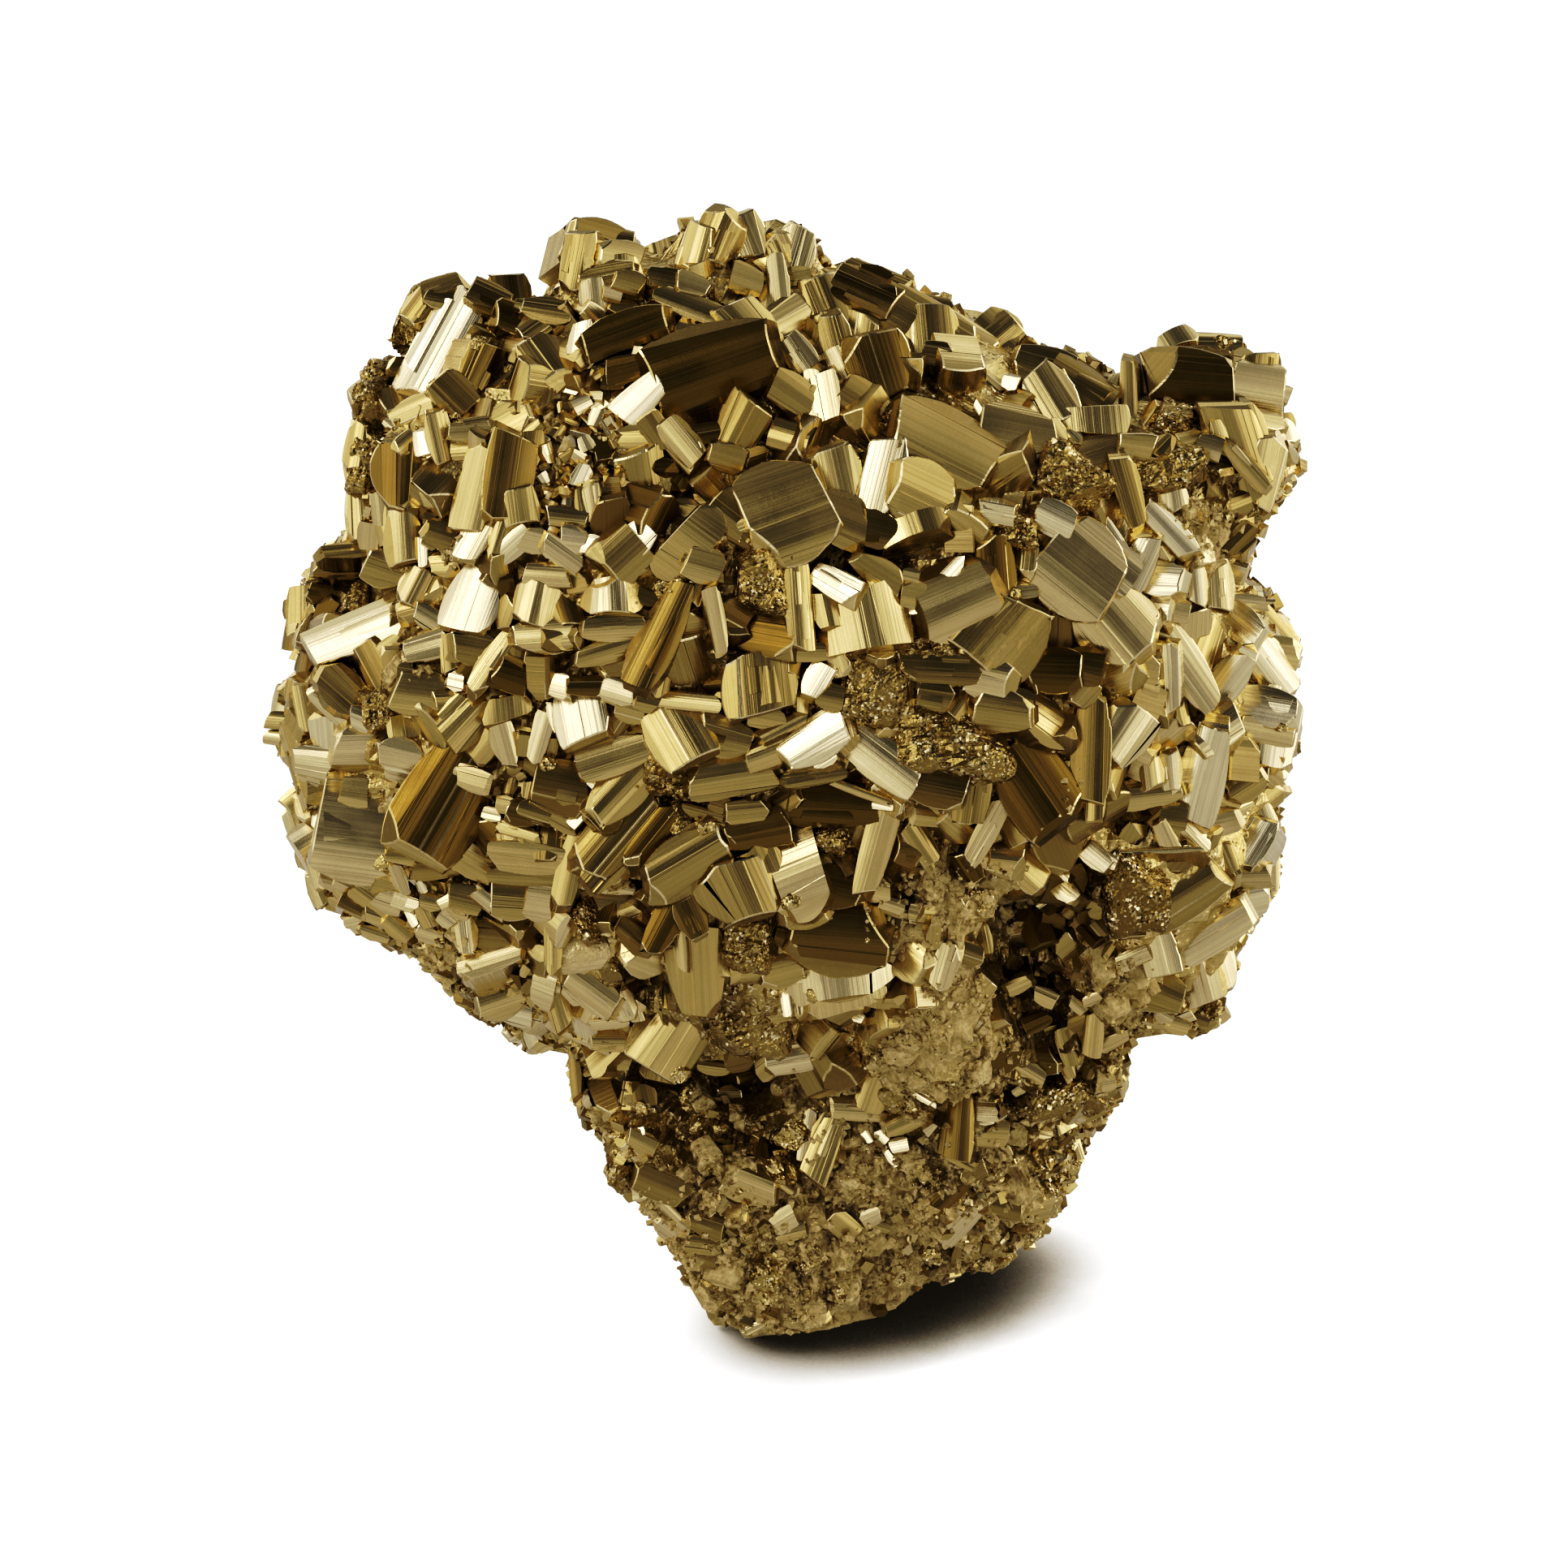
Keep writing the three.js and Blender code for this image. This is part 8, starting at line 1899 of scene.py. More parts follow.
# a patchwork of tilted facets
grow = mass_p + mass_n * h[:, None]
across = np.tile(np.gradient(mass_t), len(mass_z))[:, None]
area = np.linalg.norm(np.cross(du / (2 * e) * across, dz / 3.0), axis=1)
gap = np.gradient(mass_z)
area = area * np.repeat(gap, MASS_COLUMNS)
weight = area / area.sum()
finer = weight * np.where(mass_p[:, 2] < 110, 3.5, 1.0) * np.where(seen, 1.5, 1.0)
picked = rng.choice(len(grow), 9000, p=finer / finer.sum())
tree = KDTree(len(picked))
for i, k in enumerate(picked):
    tree.insert(grow[k], i)
tree.balance()
tips = mass_n[picked] + rng.normal(0, 0.42, (len(picked), 3)) * np.where(mass_p[picked, 2] < 105, 0.75, 1.0)[:, None]
tips /= np.linalg.norm(tips, axis=1)[:, None]
lift = rng.uniform(-0.7, 0.7, len(picked)) * np.where(mass_p[picked, 2] < 105, 0.45, 1.0)
near = np.array([tree.find(p)[1] for p in grow])
den = np.maximum((mass_n * tips[near]).sum(1), 0.35)
f = ((grow[picked[near]] - grow) * tips[near]).sum(1) / den + lift[near]
h = h + np.clip(f, -1.5, 1.5) * np.where(mass_p[:, 2] < 95, 1.2, 1.0)
blocks = np.where(mass_p[:, 2] < 120)[0]
core = rng.choice(blocks, 420, replace=False)
block_tree = KDTree(len(core))
for i, k in enumerate(core):
    block_tree.insert(grow[k], i)
block_tree.balance()
slab = mass_n[core] + rng.normal(0, 0.36, (len(core), 3))
slab /= np.linalg.norm(slab, axis=1)[:, None]
which = np.array([block_tree.find(p)[1] for p in grow[blocks]])
f = ((grow[core[which]] - grow[blocks]) * slab[which]).sum(1) / np.maximum((mass_n[blocks] * slab[which]).sum(1), 0.4)
h[blocks] += np.clip(f + rng.uniform(-1.2, 1.2, len(core))[which], -3.2, 3.2) * lower[blocks] * smooth((mass_p[blocks, 2] - 4) / 14)
h = np.where(mass_p[:, 2] < 1.0, np.minimum(h, 0) * 0.5, h)
mass_v = mass_p + mass_n * h[:, None]
middle = mass_v.reshape(len(mass_z), MASS_COLUMNS, 3).mean(1)[:, None, :].repeat(MASS_COLUMNS, 1).reshape(-1, 3)
INNER = grown_outline(-5.0)
for _ in range(16):
    out = ~in_polygon(to_frame(mass_v), INNER)
    if not out.any():
        break
    mass_v[out, :2] = middle[out, :2] + (mass_v[out, :2] - middle[out, :2]) * 0.982
    mass_v[out & (mass_p[:, 2] > 240), 2] -= 0.7
mass_p = mass_p + (mass_v - mass_n * h[:, None] - mass_p)
mass_v[:, 2] = np.maximum(mass_v[:, 2], 0.0)
mass_v[mass_p[:, 2] < 0.5, 2] = 0.0

mass = Gather()
rings = len(mass_z)
i = np.arange(MASS_COLUMNS)
j = (i + 1) % MASS_COLUMNS
quads = []
for r in range(rings - 1):
    a0 = r * MASS_COLUMNS
    quads.append(np.stack([a0 + i, a0 + j, a0 + MASS_COLUMNS + j, a0 + MASS_COLUMNS + i], 1))
quads = np.concatenate(quads)
mid = mass_v[quads].mean(1)
mid_px = to_frame(mid)
mid_seen = seen[quads[:, 0]]
pale = np.where(mid_seen, near_spots(mid_px, PALE), 0)
fib = np.where(mid_seen, near_spots(mid_px, FIBROUS), 0)
low = smooth((105 - mid[:, 2]) / 40)
mottle = 0.5 + 0.5 * noise3(mid / 11.0, 9)
look = np.zeros((len(quads), 4))
look[:, 0] = 0.55 + 0.2 * noise3(mid / 20.0, 6)
# painted shade: the mass is darker and less pale in the shade spots
shade = np.where(mid_seen, near_spots(mid_px, SHADE_SPOTS), 0)
look[:, 0] += 0.3 * shade
look[:, 1] = np.clip(0.22 + 0.75 * pale + 0.62 * low * mottle - 0.3 * fib + 0.2 * (mottle - 0.5) - 0.4 * shade, 0, 1)
look[:, 2] = 0
look[:, 3] = np.clip(0.6 + 0.4 * fib + 0.3 * low, 0, 1)
loops = quads.ravel()
uv = np.stack([TT.ravel()[loops] * 60, mass_v[loops][:, 2]], -1)
mass.add(mass_v, loops, np.full(len(quads), 4), uv, look)
# the flat of the foot, and the crown
foot_ring = i[::-1]
crown = (rings - 1) * MASS_COLUMNS + i
for ring, centre in ((foot_ring, np.array([mass_v[:MASS_COLUMNS].mean(0)])), (crown, np.array([mass_v[-MASS_COLUMNS:].mean(0)]))):
    ring_v = mass_v[ring]
    tri = np.stack([np.full(MASS_COLUMNS, MASS_COLUMNS), np.arange(MASS_COLUMNS), (np.arange(MASS_COLUMNS) + 1) % MASS_COLUMNS], 1)
    v = np.concatenate([ring_v, centre])
    lk = np.tile([0.55, 0.45, 0.0, 0.8], (MASS_COLUMNS, 1))
    mass.add(v, tri.ravel(), np.full(MASS_COLUMNS, 3), v[tri.ravel()][:, :2], lk)

# ------------------------------------------------------- the measured crystals
front, behind, lumps, grains, small, crumbs = (Gather() for _ in range(6))
fill, far, shattered = Gather(), Gather(), Gather()
SWELL = 1.13      # the outline of a barrel is a little wider than its faces
VIEW = to_row([0.0, 0.0, 1.0])
rng = np.random.default_rng(7)
boxes = []
grain_sites = []
front_px, front_z = [], []

# how near the crystals reach in each small cell of the frame
CELL = 4.0
GRID = int(FRAME_PX / CELL)
top = np.full((GRID, GRID), -1e9)
gy, gx = np.mgrid[0:GRID, 0:GRID]
cell_px = np.stack([(gx + 0.5) * CELL, (gy + 0.5) * CELL], -1)


def corners_of(c, U, V, a, b):
    return np.array([c - U * a - V * b, c + U * a - V * b, c + U * a + V * b, c - U * a + V * b])


def paint(corners):
    q, z = to_frame(corners), to_view(corners)[:, 2].mean()
    x0, y0 = np.maximum(np.floor(q.min(0) / CELL).astype(int), 0)
    x1, y1 = np.ceil(q.max(0) / CELL).astype(int) + 1
    cells = cell_px[y0:y1, x0:x1]
    turn = np.sign((q[1] - q[0])[0] * (q[2] - q[1])[1] - (q[1] - q[0])[1] * (q[2] - q[1])[0])
    inside = np.ones(cells.shape[:2], bool)
    for i in range(4):
        d = q[(i + 1) % 4] - q[i]
        r = cells - q[i]
        inside &= (d[0] * r[..., 1] - d[1] * r[..., 0]) * turn >= 0
    part = top[y0:y1, x0:x1]
    part[inside] = np.maximum(part[inside], z)


def plates(target, rng, c, U, V, N, a, b, t, tone, flags, count):
    """Growth plates on a face, and crystals grown parallel to it."""
    m = min(a, b)
    for _ in range(count):
        if rng.uniform() < 0.3:
            ca, cb = a * rng.uniform(0.3, 0.7), b * rng.uniform(0.25, 0.5)
            x = rng.uniform(-1, 1) * (a - ca)
            y = rng.uniform(-1, 1) * (b - cb) * 0.9
            z = -0.12 * b * (y / b) ** 2 + rng.uniform(0.01, 0.03) * m
            ang = 0.01
        else:
            ca, cb = a * rng.uniform(0.3, 0.65), b * rng.uniform(0.3, 0.65)
            if rng.uniform() < 0.5:
                x = rng.choice([-1, 1]) * (a - ca * rng.uniform(0.3, 0.95))
                y = rng.uniform(-1, 1) * (b - 0.6 * cb)
            else:
                y = rng.choice([-1, 1]) * (b - cb * rng.uniform(0.3, 0.95))
                x = rng.uniform(-1, 1) * (a - 0.6 * ca)
            z = -rng.uniform(0.12, 0.5) * m
            ang = 0.04 if rng.uniform() < 0.75 else 0.4
        N2, U2 = turned(rng, N, U, ang)
        place_crystal(target, rng, c + U * x + V * y + N * z, U2, N2, ca, cb, max(t * 0.6, 0.7 * m), tone,
                      flags.replace("m", ""), fine=0.8, cuts=False, guard=True)


mass_skin = BVHTree.FromPolygons(mass_v.tolist(), quads.tolist())
eased = 0
for k, (r, word) in enumerate(zip(rows, letters)):
    c, U, N, a, b, t = r[0:3], r[3:6], r[6:9], r[9], r[10], r[11]
    N = N / np.linalg.norm(N)
    U = U - (U @ N) * N
    U /= np.linalg.norm(U)
    V = np.cross(N, U)
    tone, flags = word[0], word[1:]
    if k < FRONT_COUNT:
        away = EYE - c
        spot = to_frame(c[None])
        out = 1.7 * float(smooth((spot[0, 1] - 1310) / 50.0)) + 0.9 * near_spots(spot, PALE)[0]
        c = c + away / np.linalg.norm(away) * (relief(spot)[0] + out)
        swell = SWELL * rng.uniform(0.97, 1.07)
        a, b = a * swell, b * swell
        t = t + 7
        # a small crystal that doesn't reach the mass is set down into it
        root = c - N * (t - 0.5)
        foot, outward, _, gap = mass_skin.find_nearest(root.tolist())
        if max(a, b) < 4 and gap > 1.0 and (root - np.array(foot)) @ np.array(outward) > 0:
            c = c - np.array(outward) * (gap + 0.5)
            eased += 1
    else:
        c = c - N * 0.12 * min(a, b)
        t = t + 3
        q = to_frame(c[None])[0]
        if q[1] < 470 and max(a, b) < 6.5 and np.hypot(*(OUTLINE - q).T).min() < 26 and abs(N @ VIEW) < 0.6:
            continue
    for step in range(8):
        # a crystal at the rim is made smaller and eased in until it fits
        if not spills(corners_of(c, U, V, a, b)):
            break
        a, b = a * 0.95, b * 0.95
        if step > 1:
            to_middle = np.array([-8.0, 0.0, c[2]]) - c
            c = c + to_middle / np.linalg.norm(to_middle) * 0.8
    boxes.append((c, U, V, N, a, b, t))
    m = min(a, b)
    if k < FRONT_COUNT:
        paint(corners_of(c, U, V, a, b))
        front_px.append(to_frame(c[None])[0])
        front_z.append(to_view(c)[2])
    target = front if k < FRONT_COUNT else behind
    if "R" in flags:
        broken(shattered, rng, c, U, N, a, b, max(t, m), amount=0.24, n=16 if m > 4 else 12,
               look=(max(SHADE_AND_TARNISH[tone], 0.84), 0.05, 0.5 if "B" in flags else 0.15, 1.0))
        grain_sites.append((c, U, V, N, a, b, t, 1.0))
        continue
    place_crystal(target, rng, c, U, N, a, b, t, tone, flags, fine=1.0 if k < FRONT_COUNT else 0.8, wear=k < FRONT_COUNT or max(a, b) > 3.6)
    if max(a, b) > 3.6:
        plates(target, rng, c, U, V, N, a, b, t, tone, flags, rng.integers(0, 3))
    if m > 4.5 and rng.uniform() < 0.13:
        # a chipped, glittering corner
        s = rng.choice([-1, 1], 2)
        p = c + U * s[0] * a * rng.uniform(0.6, 0.95) + V * s[1] * b * rng.uniform(0.6, 0.95) - N * 0.10 * m
        q = m * rng.uniform(0.2, 0.36)
        broken(lumps, rng, p + N * q * 0.12, U, N, q * rng.uniform(0.9, 1.8), q, q * 1.4, amount=0.25, n=8, look=(0.6, 0.0, 0.0, 1.0), rounding=0.6)

# Bodies of the crystals that make the top of the outline: x, y, half length,
# half width (px), turn (degrees), which way the face looks, letters, and how
# far behind the faces measured there (mm).
CROWNS = """
706 322 40 26 78 -.38 .05 DC 2
742 284 39 17 -14 .05 .60 D 3
764 318 24 22 -10 .25 .0 M 3
748 346 30 20 10 .0 -.1 D 1
853 302 38 30 72 -.42 .05 MC 2
885 290 47 44 68 .0 .10 DC 4
968 308 42 36 -68 .15 .10 MC 3
1066 356 56 42 -26 .0 .30 DC 0
1138 400 60 38 -30 .1 .25 M 1
1231 412 42 42 40 .12 .14 MC -1
1172 412 50 34 -24 .1 .25 M 2
1334 472 52 38 -32 .05 .30 DC 0
1284 452 34 28 -20 .0 .25 M 0
1020 372 34 30 -70 .1 .2 M 1
1476 474 58 54 2 .02 .05 DC 2
1490 418 50 20 0 .0 .62 L 4
1552 482 56 38 84 .22 .0 DC 3
1576 590 72 27 -84 .42 .0 LC 1
1530 560 50 34 -70 .15 -.1 M 4
545 350 34 21 22 -.1 .5 D 1
606 362 33 26 -25 .1 .4 D 1
672 380 28 16 -12 .0 .4 M 1
640 390 30 20 -20 .1 .3 D 2
516 372 24 18 55 -.35 .3 D 1
452 480 22 18 30 -.3 .4 L 1
436 548 26 14 80 -.45 .1 M 1
365 770 36 30 80 -.4 .0 DC 2
352 915 30 20 85 -.4 .0 M 1
1570 820 52 34 -50 .35 .05 LC 2
1580 900 40 26 80 .4 .0 L 2
1545 1090 52 34 -80 .35 .0 M 2
1500 1190 46 36 -70 .3 -.1 L 2
""".split("\n")[1:-1]
front_px_, front_z_ = np.array(front_px), np.array(front_z)
for line in CROWNS:
    f = line.split()
    x, y, ha, hb, turn, nx, ny = map(float, f[:7])
    tone, flags, back = f[7][0], f[7][1:], float(f[8])
    d = np.hypot(front_px_[:, 0] - x, front_px_[:, 1] - y)
    close = d < 70
    z = np.median(front_z_[close]) if close.sum() > 2 else front_z_[d.argmin()]
    z = z - back
    k_ = (DISTANCE - z) / DISTANCE
    c = to_row([(x - 966) / PX_PER_MM * k_ - OFF_X, (966 - y) / PX_PER_MM * k_ - OFF_Y, z])
    N = to_row([nx, ny, math.sqrt(1 - nx * nx - ny * ny)])
    U = to_row([math.cos(math.radians(turn)), math.sin(math.radians(turn)), 0.0])
    U = U - (U @ N) * N
    U /= np.linalg.norm(U)
    V = np.cross(N, U)
    a, b = ha / PX_PER_MM * k_, hb / PX_PER_MM * k_
    for _ in range(7):
        if not spills(corners_of(c, U, V, a, b)):
            break
        a, b = a * 0.95, b * 0.95
    t = min(a, b) * 1.7
    boxes.append((c, U, V, N, a, b, t))
    paint(corners_of(c, U, V, a, b))
    if "R" in flags:
        broken(shattered, rng, c, U, N, a, b, t, amount=0.24, n=16, look=(max(SHADE_AND_TARNISH[tone], 0.84), 0.05, 0.1, 1.0))
        grain_sites.append((c, U, V, N, a, b, t, 1.0))
        continue
    for scale in (1.0, 0.93, 0.86, 0.8):
        if place_crystal(front, rng, c, U, N, a * scale, b * scale, t, tone, flags, fine=1.0, guard=True, wear=True):
            plates(front, rng, c, U, V, N, a * scale, b * scale, t, tone, flags, 2)
            break

print("worn edges", WEAR["edges"])
box_c, box_R, box_h = None, None, None


def refresh():
    global box_c, box_R, box_h
    box_c = np.array([x[0] for x in boxes])
    box_R = np.array([np.stack([x[1], x[2], x[3]]) for x in boxes])
    box_h = np.array([[x[4], x[5], x[6]] for x in boxes])


def buried(p, share=0.92, skin=0.12):
    """Which points lie well inside a crystal."""
    out = np.zeros(len(p), bool)
    for i in range(len(boxes)):
        d = p - box_c[i]
        a, b, t = box_h[i]
        close = (d ** 2).sum(1) < (a * a + b * b + t * t)
        if not close.any():
            continue
        q = d[close] @ box_R[i].T
        m = min(a, b)
        inside = (np.abs(q[:, 0]) < a * share) & (np.abs(q[:, 1]) < b * share) & (q[:, 2] < -skin * m) & (q[:, 2] > -t)
        idx = np.where(close)[0][inside]
        out[idx] = True
    return out


def tipped(rng, n, spread):
    v = n + rng.normal(0, spread, n.shape)
    return v / np.linalg.norm(v, axis=1)[:, None]


refresh()

# ------------------------------------------------------- gaps in front
# Each gap between the front crystals gets a crystal as wide as the gap, set
# lower than its neighbours. The narrowest stay open as crevices.
print("set down", eased)
rng = np.random.default_rng(19)
seen_idx = np.where(facing > 0.02)[0]
seen_px = to_frame(mass_v[seen_idx])
mass_tree = KDTree(len(seen_idx))
for i_, q_ in enumerate(seen_px):
    mass_tree.insert((q_[0], q_[1], 0.0), i_)
mass_tree.balance()


def mass_at(x, y):
    """The point of the mass seen at a place in the frame: index."""
    best, best_z = None, -1e9
    for _, i_, _ in mass_tree.find_n((x, y, 0.0), 5):
        z = to_view(mass_v[seen_idx[i_]])[2]
        if z > best_z:
            best, best_z = seen_idx[i_], z
    return best, best_z


flat_px = cell_px.reshape(-1, 2)
flat_top = top.ravel()
within = in_polygon(flat_px, grown_outline(-6.0))
covered = flat_top > -1e8
done_tree = KDTree(int((covered & within).sum()))
done_idx = np.where(covered & within)[0]
for i_, k_ in enumerate(done_idx):
    done_tree.insert((flat_px[k_, 0], flat_px[k_, 1], 0.0), i_)
done_tree.balance()
open_idx = np.where(within & ~covered)[0]
open_px = flat_px[open_idx]
gap_to = np.zeros(len(open_idx))
gap_top = np.zeros(len(open_idx))
for i_, q_ in enumerate(open_px):
    _, j_, d_ = done_tree.find((q_[0], q_[1], 0.0))
    gap_to[i_] = d_
    gap_top[i_] = flat_top[done_idx[j_]]
druse_w = near_spots(open_px, DRUSE)
pale_w = near_spots(open_px, PALE)
low_w = smooth((open_px[:, 1] - 1300) / 60.0) * (np.abs(open_px[:, 0] - 1040) < 360)
hollow_w = relief(open_px)
print("open cells", len(open_idx), "of", int(within.sum()))
made = lumped = 0
while made < 1500:
    i_ = int((gap_to + rng.uniform(0, 3.0, len(gap_to))).argmax())
    room = gap_to[i_]
    if room < 6.5:
        break
    x, y = open_px[i_]
    cap = 40.0
    hollow = hollow_w[i_] < -5
    if druse_w[i_] > 0.3:
        cap = rng.uniform(7, 14)
    elif hollow:
        cap = rng.uniform(8, 18)
    elif low_w[i_] > 0.5:
        cap = rng.uniform(14, 46)
    half_px = min(room * rng.uniform(1.05, 1.4) + 4.5, cap * rng.uniform(0.65, 1.0))
    if (low_w[i_] > 0.5 or pale_w[i_] > 0.5 or hollow) and rng.uniform() < (0.3 if pale_w[i_] > 0.5 else 0.5):
        # bare matrix
        made += 1
        d = np.hypot(open_px[:, 0] - x, open_px[:, 1] - y)
        gap_to = np.minimum(gap_to, d - half_px * rng.uniform(0.5, 0.9))
        continue
    mi, mz = mass_at(x, y)
    up = gap_top[i_]
    z = mz + (rng.uniform(0.5, 3.0) if low_w[i_] < 0.5 else rng.uniform(-0.2, 1.6)) + 0.10 * half_px / PX_PER_MM
    if room < 60:
        z = min(z, up - rng.uniform(1.0, 4.5))
    z = max(z, mz + 0.4)
    k_ = (DISTANCE - z) / DISTANCE
    c = to_row([(x - 966) / PX_PER_MM * k_ - OFF_X, (966 - y) / PX_PER_MM * k_ - OFF_Y, z])
    half = half_px / PX_PER_MM * k_
    n_ = mass_n[mi] * 0.75 + VIEW * 0.30 + rng.normal(0, 0.54, 3)
    n_ /= np.linalg.norm(n_)
    if pale_w[i_] > 0.4:
        half = min(half, 3.6)
    root = c - n_ * (half * 1.5 + 4.5)
    foot, outward, _, gap = mass_skin.find_nearest(root.tolist())
    if (root - np.array(foot)) @ np.array(outward) > -0.3:
        # its root reaches the mass
        c = c - np.array(outward) * (gap + 0.6)
    a, b = half * rng.uniform(0.9, 1.2), half * rng.uniform(0.8, 1.05)
    ax = rng.normal(size=3)
    if (low_w[i_] > 0.5 and rng.uniform() < 0.5) or (pale_w[i_] > 0.4 and rng.uniform() < 0.4):
        broken(lumps, rng, c, ax, n_, a, b, half * 1.7, amount=0.3, n=8 if half > 3.5 else 5,
               look=(rng.uniform(0.4, 0.9), rng.uniform(0.15, 0.5) + 0.4 * pale_w[i_], 0.0, 1.0), rounding=0.5)
        lumped += 1
    else:
        word = "MMMMDDLKMD" if druse_w[i_] < 0.3 else "MMLLWDMD"
        # painted shade: crystals in hollows get only dark tones
        word = "DDKMDM" if hollow else word
        got = place_crystal(fill, rng, c, ax, n_, a, b, half * 1.5 + 5, word[rng.integers(0, len(word))],
                            "m" if max(pale_w[i_], low_w[i_]) > 0.3 and rng.uniform() < 0.4 else "", fine=0.95, cuts=True, guard=True, wild=1.35, wear=True)
        if got:
            boxes.append((c, got[0], got[1], n_, a * 0.85, b * 0.85, half * 1.5))
    made += 1
    d = np.hypot(open_px[:, 0] - x, open_px[:, 1] - y)
    gap_to = np.minimum(gap_to, d - half_px * 0.88)
print("gaps filled", made, "of them broken", lumped)
refresh()

# ------------------------------------------------------- the sides and back
def scatter(rng, count, gap, above, keep=None):
    """Points on the mass, no two closer than gap, and the mass's normals there."""
    pick = rng.choice(len(mass_v), count * 5, p=weight)
    p = mass_v[pick] + mass_n[pick] * above
    n = mass_n[pick]
    ok = (mass_p[pick, 2] > 3) & ~buried(p)
    if keep is not None:
        ok &= keep(mass_p[pick], n, mass_px[pick], facing[pick])
    p, n = p[ok], n[ok]
    cell = {}
    chosen = []
    for i, q in enumerate(p):
        key = tuple(np.floor(q / gap).astype(int))
        hit = False
        for dx in (-1, 0, 1):
            for dy in (-1, 0, 1):
                for dz_ in (-1, 0, 1):
                    for o in cell.get((key[0] + dx, key[1] + dy, key[2] + dz_), ()):
                        if ((p[o] - q) ** 2).sum() < gap * gap:
                            hit = True
                            break
                    if hit:
                        break
                if hit:
                    break
            if hit:
                break
        if hit:
            continue
        cell.setdefault(key, []).append(i)
        chosen.append(i)
        if len(chosen) >= count:
            break
    return p[chosen], n[chosen]


LOW_Z = 92.0


def between(count, gap, lo, hi, above, spread, low_share, deep=1.8):
    p, n = scatter(rng, count, gap, above,
                   lambda q, nn, px, f: (f < 0.12) & ((q[:, 2] > LOW_Z) | (rng.uniform(size=len(q)) < low_share)))
    d = tipped(rng, n, spread)
    made = 0
    for q, nn, dd in zip(p, n, d):
        half = lo + (hi - lo) * rng.uniform() ** 1.4
        ax = rng.normal(size=3)
        a, b = half * rng.uniform(0.95, 1.5), half * rng.uniform(0.7, 1.05)
        got = place_crystal(far, rng, q + nn * rng.uniform(0.05, 0.45) * half, ax, dd, a, b, half * deep + 3,
                            "MMMLLDDW"[rng.integers(0, 8)], "", fine=0.85, cuts=True, guard=True, wear=half > 3.6)
        if got:
            boxes.append((q, got[0], got[1], dd, a * 0.8, b * 0.8, half * deep))
            made += 1
    print("between", made)


# along the outline, where no measured crystal reaches it
step = np.roll(OUTLINE, -1, 0) - OUTLINE
length = np.linalg.norm(step, axis=1)
along = np.concatenate([[0], np.cumsum(length)])
rim_idx = np.where(np.abs(facing) < 0.5)[0]
rim_px = to_frame(mass_v[rim_idx])
rim_tree = KDTree(len(rim_idx))
for i_, q_ in enumerate(rim_px):
    rim_tree.insert((q_[0], q_[1], 0.0), i_)
rim_tree.balance()
closed_outline = np.vstack([OUTLINE, OUTLINE[:1]])
s_at = 0.0
rim_made = 0
while s_at < along[-1]:
    size = rng.uniform(2.4, 6.4)
    x = np.interp(s_at, along, closed_outline[:, 0])
    y = np.interp(s_at, along, closed_outline[:, 1])
    i_ = min(np.searchsorted(along, s_at, side="right") - 1, len(step) - 1)
    tx, ty = step[i_] / max(length[i_], 1e-9)
    ox, oy = ty, -tx                     # outward, in the frame
    low_part = y > 1290
    if low_part:
        size *= 0.55
    near_x, near_y = int((x - ox * 13) / CELL), int((y - oy * 13) / CELL)
    s_at += size * PX_PER_MM * rng.uniform(1.1, 1.7)
    if top[near_y, near_x] > -1e8 and not low_part:
        continue
    found = rim_tree.find((x, y, 0.0))
    q = mass_v[rim_idx[found[1]]]
    depth_c = to_view(q)[2]
    k_ = (DISTANCE - depth_c) / DISTANCE
    inset = size * PX_PER_MM * rng.uniform(0.75, 1.0)
    fx, fy = x - ox * inset, y - oy * inset
    p = to_row([(fx - 966) / PX_PER_MM * k_ - OFF_X, (966 - fy) / PX_PER_MM * k_ - OFF_Y, depth_c + rng.uniform(-1, 1) * size])
    outward = to_row([ox, -oy, 0.0])
    tangent = to_row([tx, -ty, 0.0])
    N = VIEW * rng.uniform(0.5, 1.2) + outward * rng.uniform(-0.2, 0.6) + tangent * rng.normal(0, 0.3)
    N /= np.linalg.norm(N)
    U = tangent + outward * rng.normal(0, 0.35)
    if rng.uniform() < 0.5:
        U = outward + tangent * rng.normal(0, 0.35)
    if p[2] > 2.5:
        if low_part and rng.uniform() < 0.35:
            continue
        if low_part and rng.uniform() < 0.7:
            if not spills(corners_of(p + N * size * 0.6, U / np.linalg.norm(U), np.cross(N, U / np.linalg.norm(U)), size, size)):
                broken(lumps, rng, p + N * size * 0.6, U, N, size, size * 0.8, size * 1.8, amount=0.2, n=8, look=(rng.uniform(0.3, 0.8), rng.uniform(0.3, 0.8), 0.0, 1.0), rounding=0.7)
            continue
        got = place_crystal(far, rng, p + N * size * 0.6, U, N, size * rng.uniform(0.85, 1.15), size * rng.uniform(0.75, 1.0), size * 2.2,
                            "MMLDD"[rng.integers(0, 5)], "", fine=1.0, cuts=True, guard=True)
        if got:
            rim_made += 1
            boxes.append((p, got[0], got[1], N, size * 0.8, size * 0.7, size * 2))
print("rim", rim_made)
refresh()
between(300, 9.5, 4.2, 7.6, 0.6, 0.36, 0.15)
refresh()
between(520, 6.0, 2.8, 4.4, 0.6, 0.42, 0.25)
refresh()
between(620, 4.0, 1.7, 2.9, 0.6, 0.5, 0.35)
refresh()
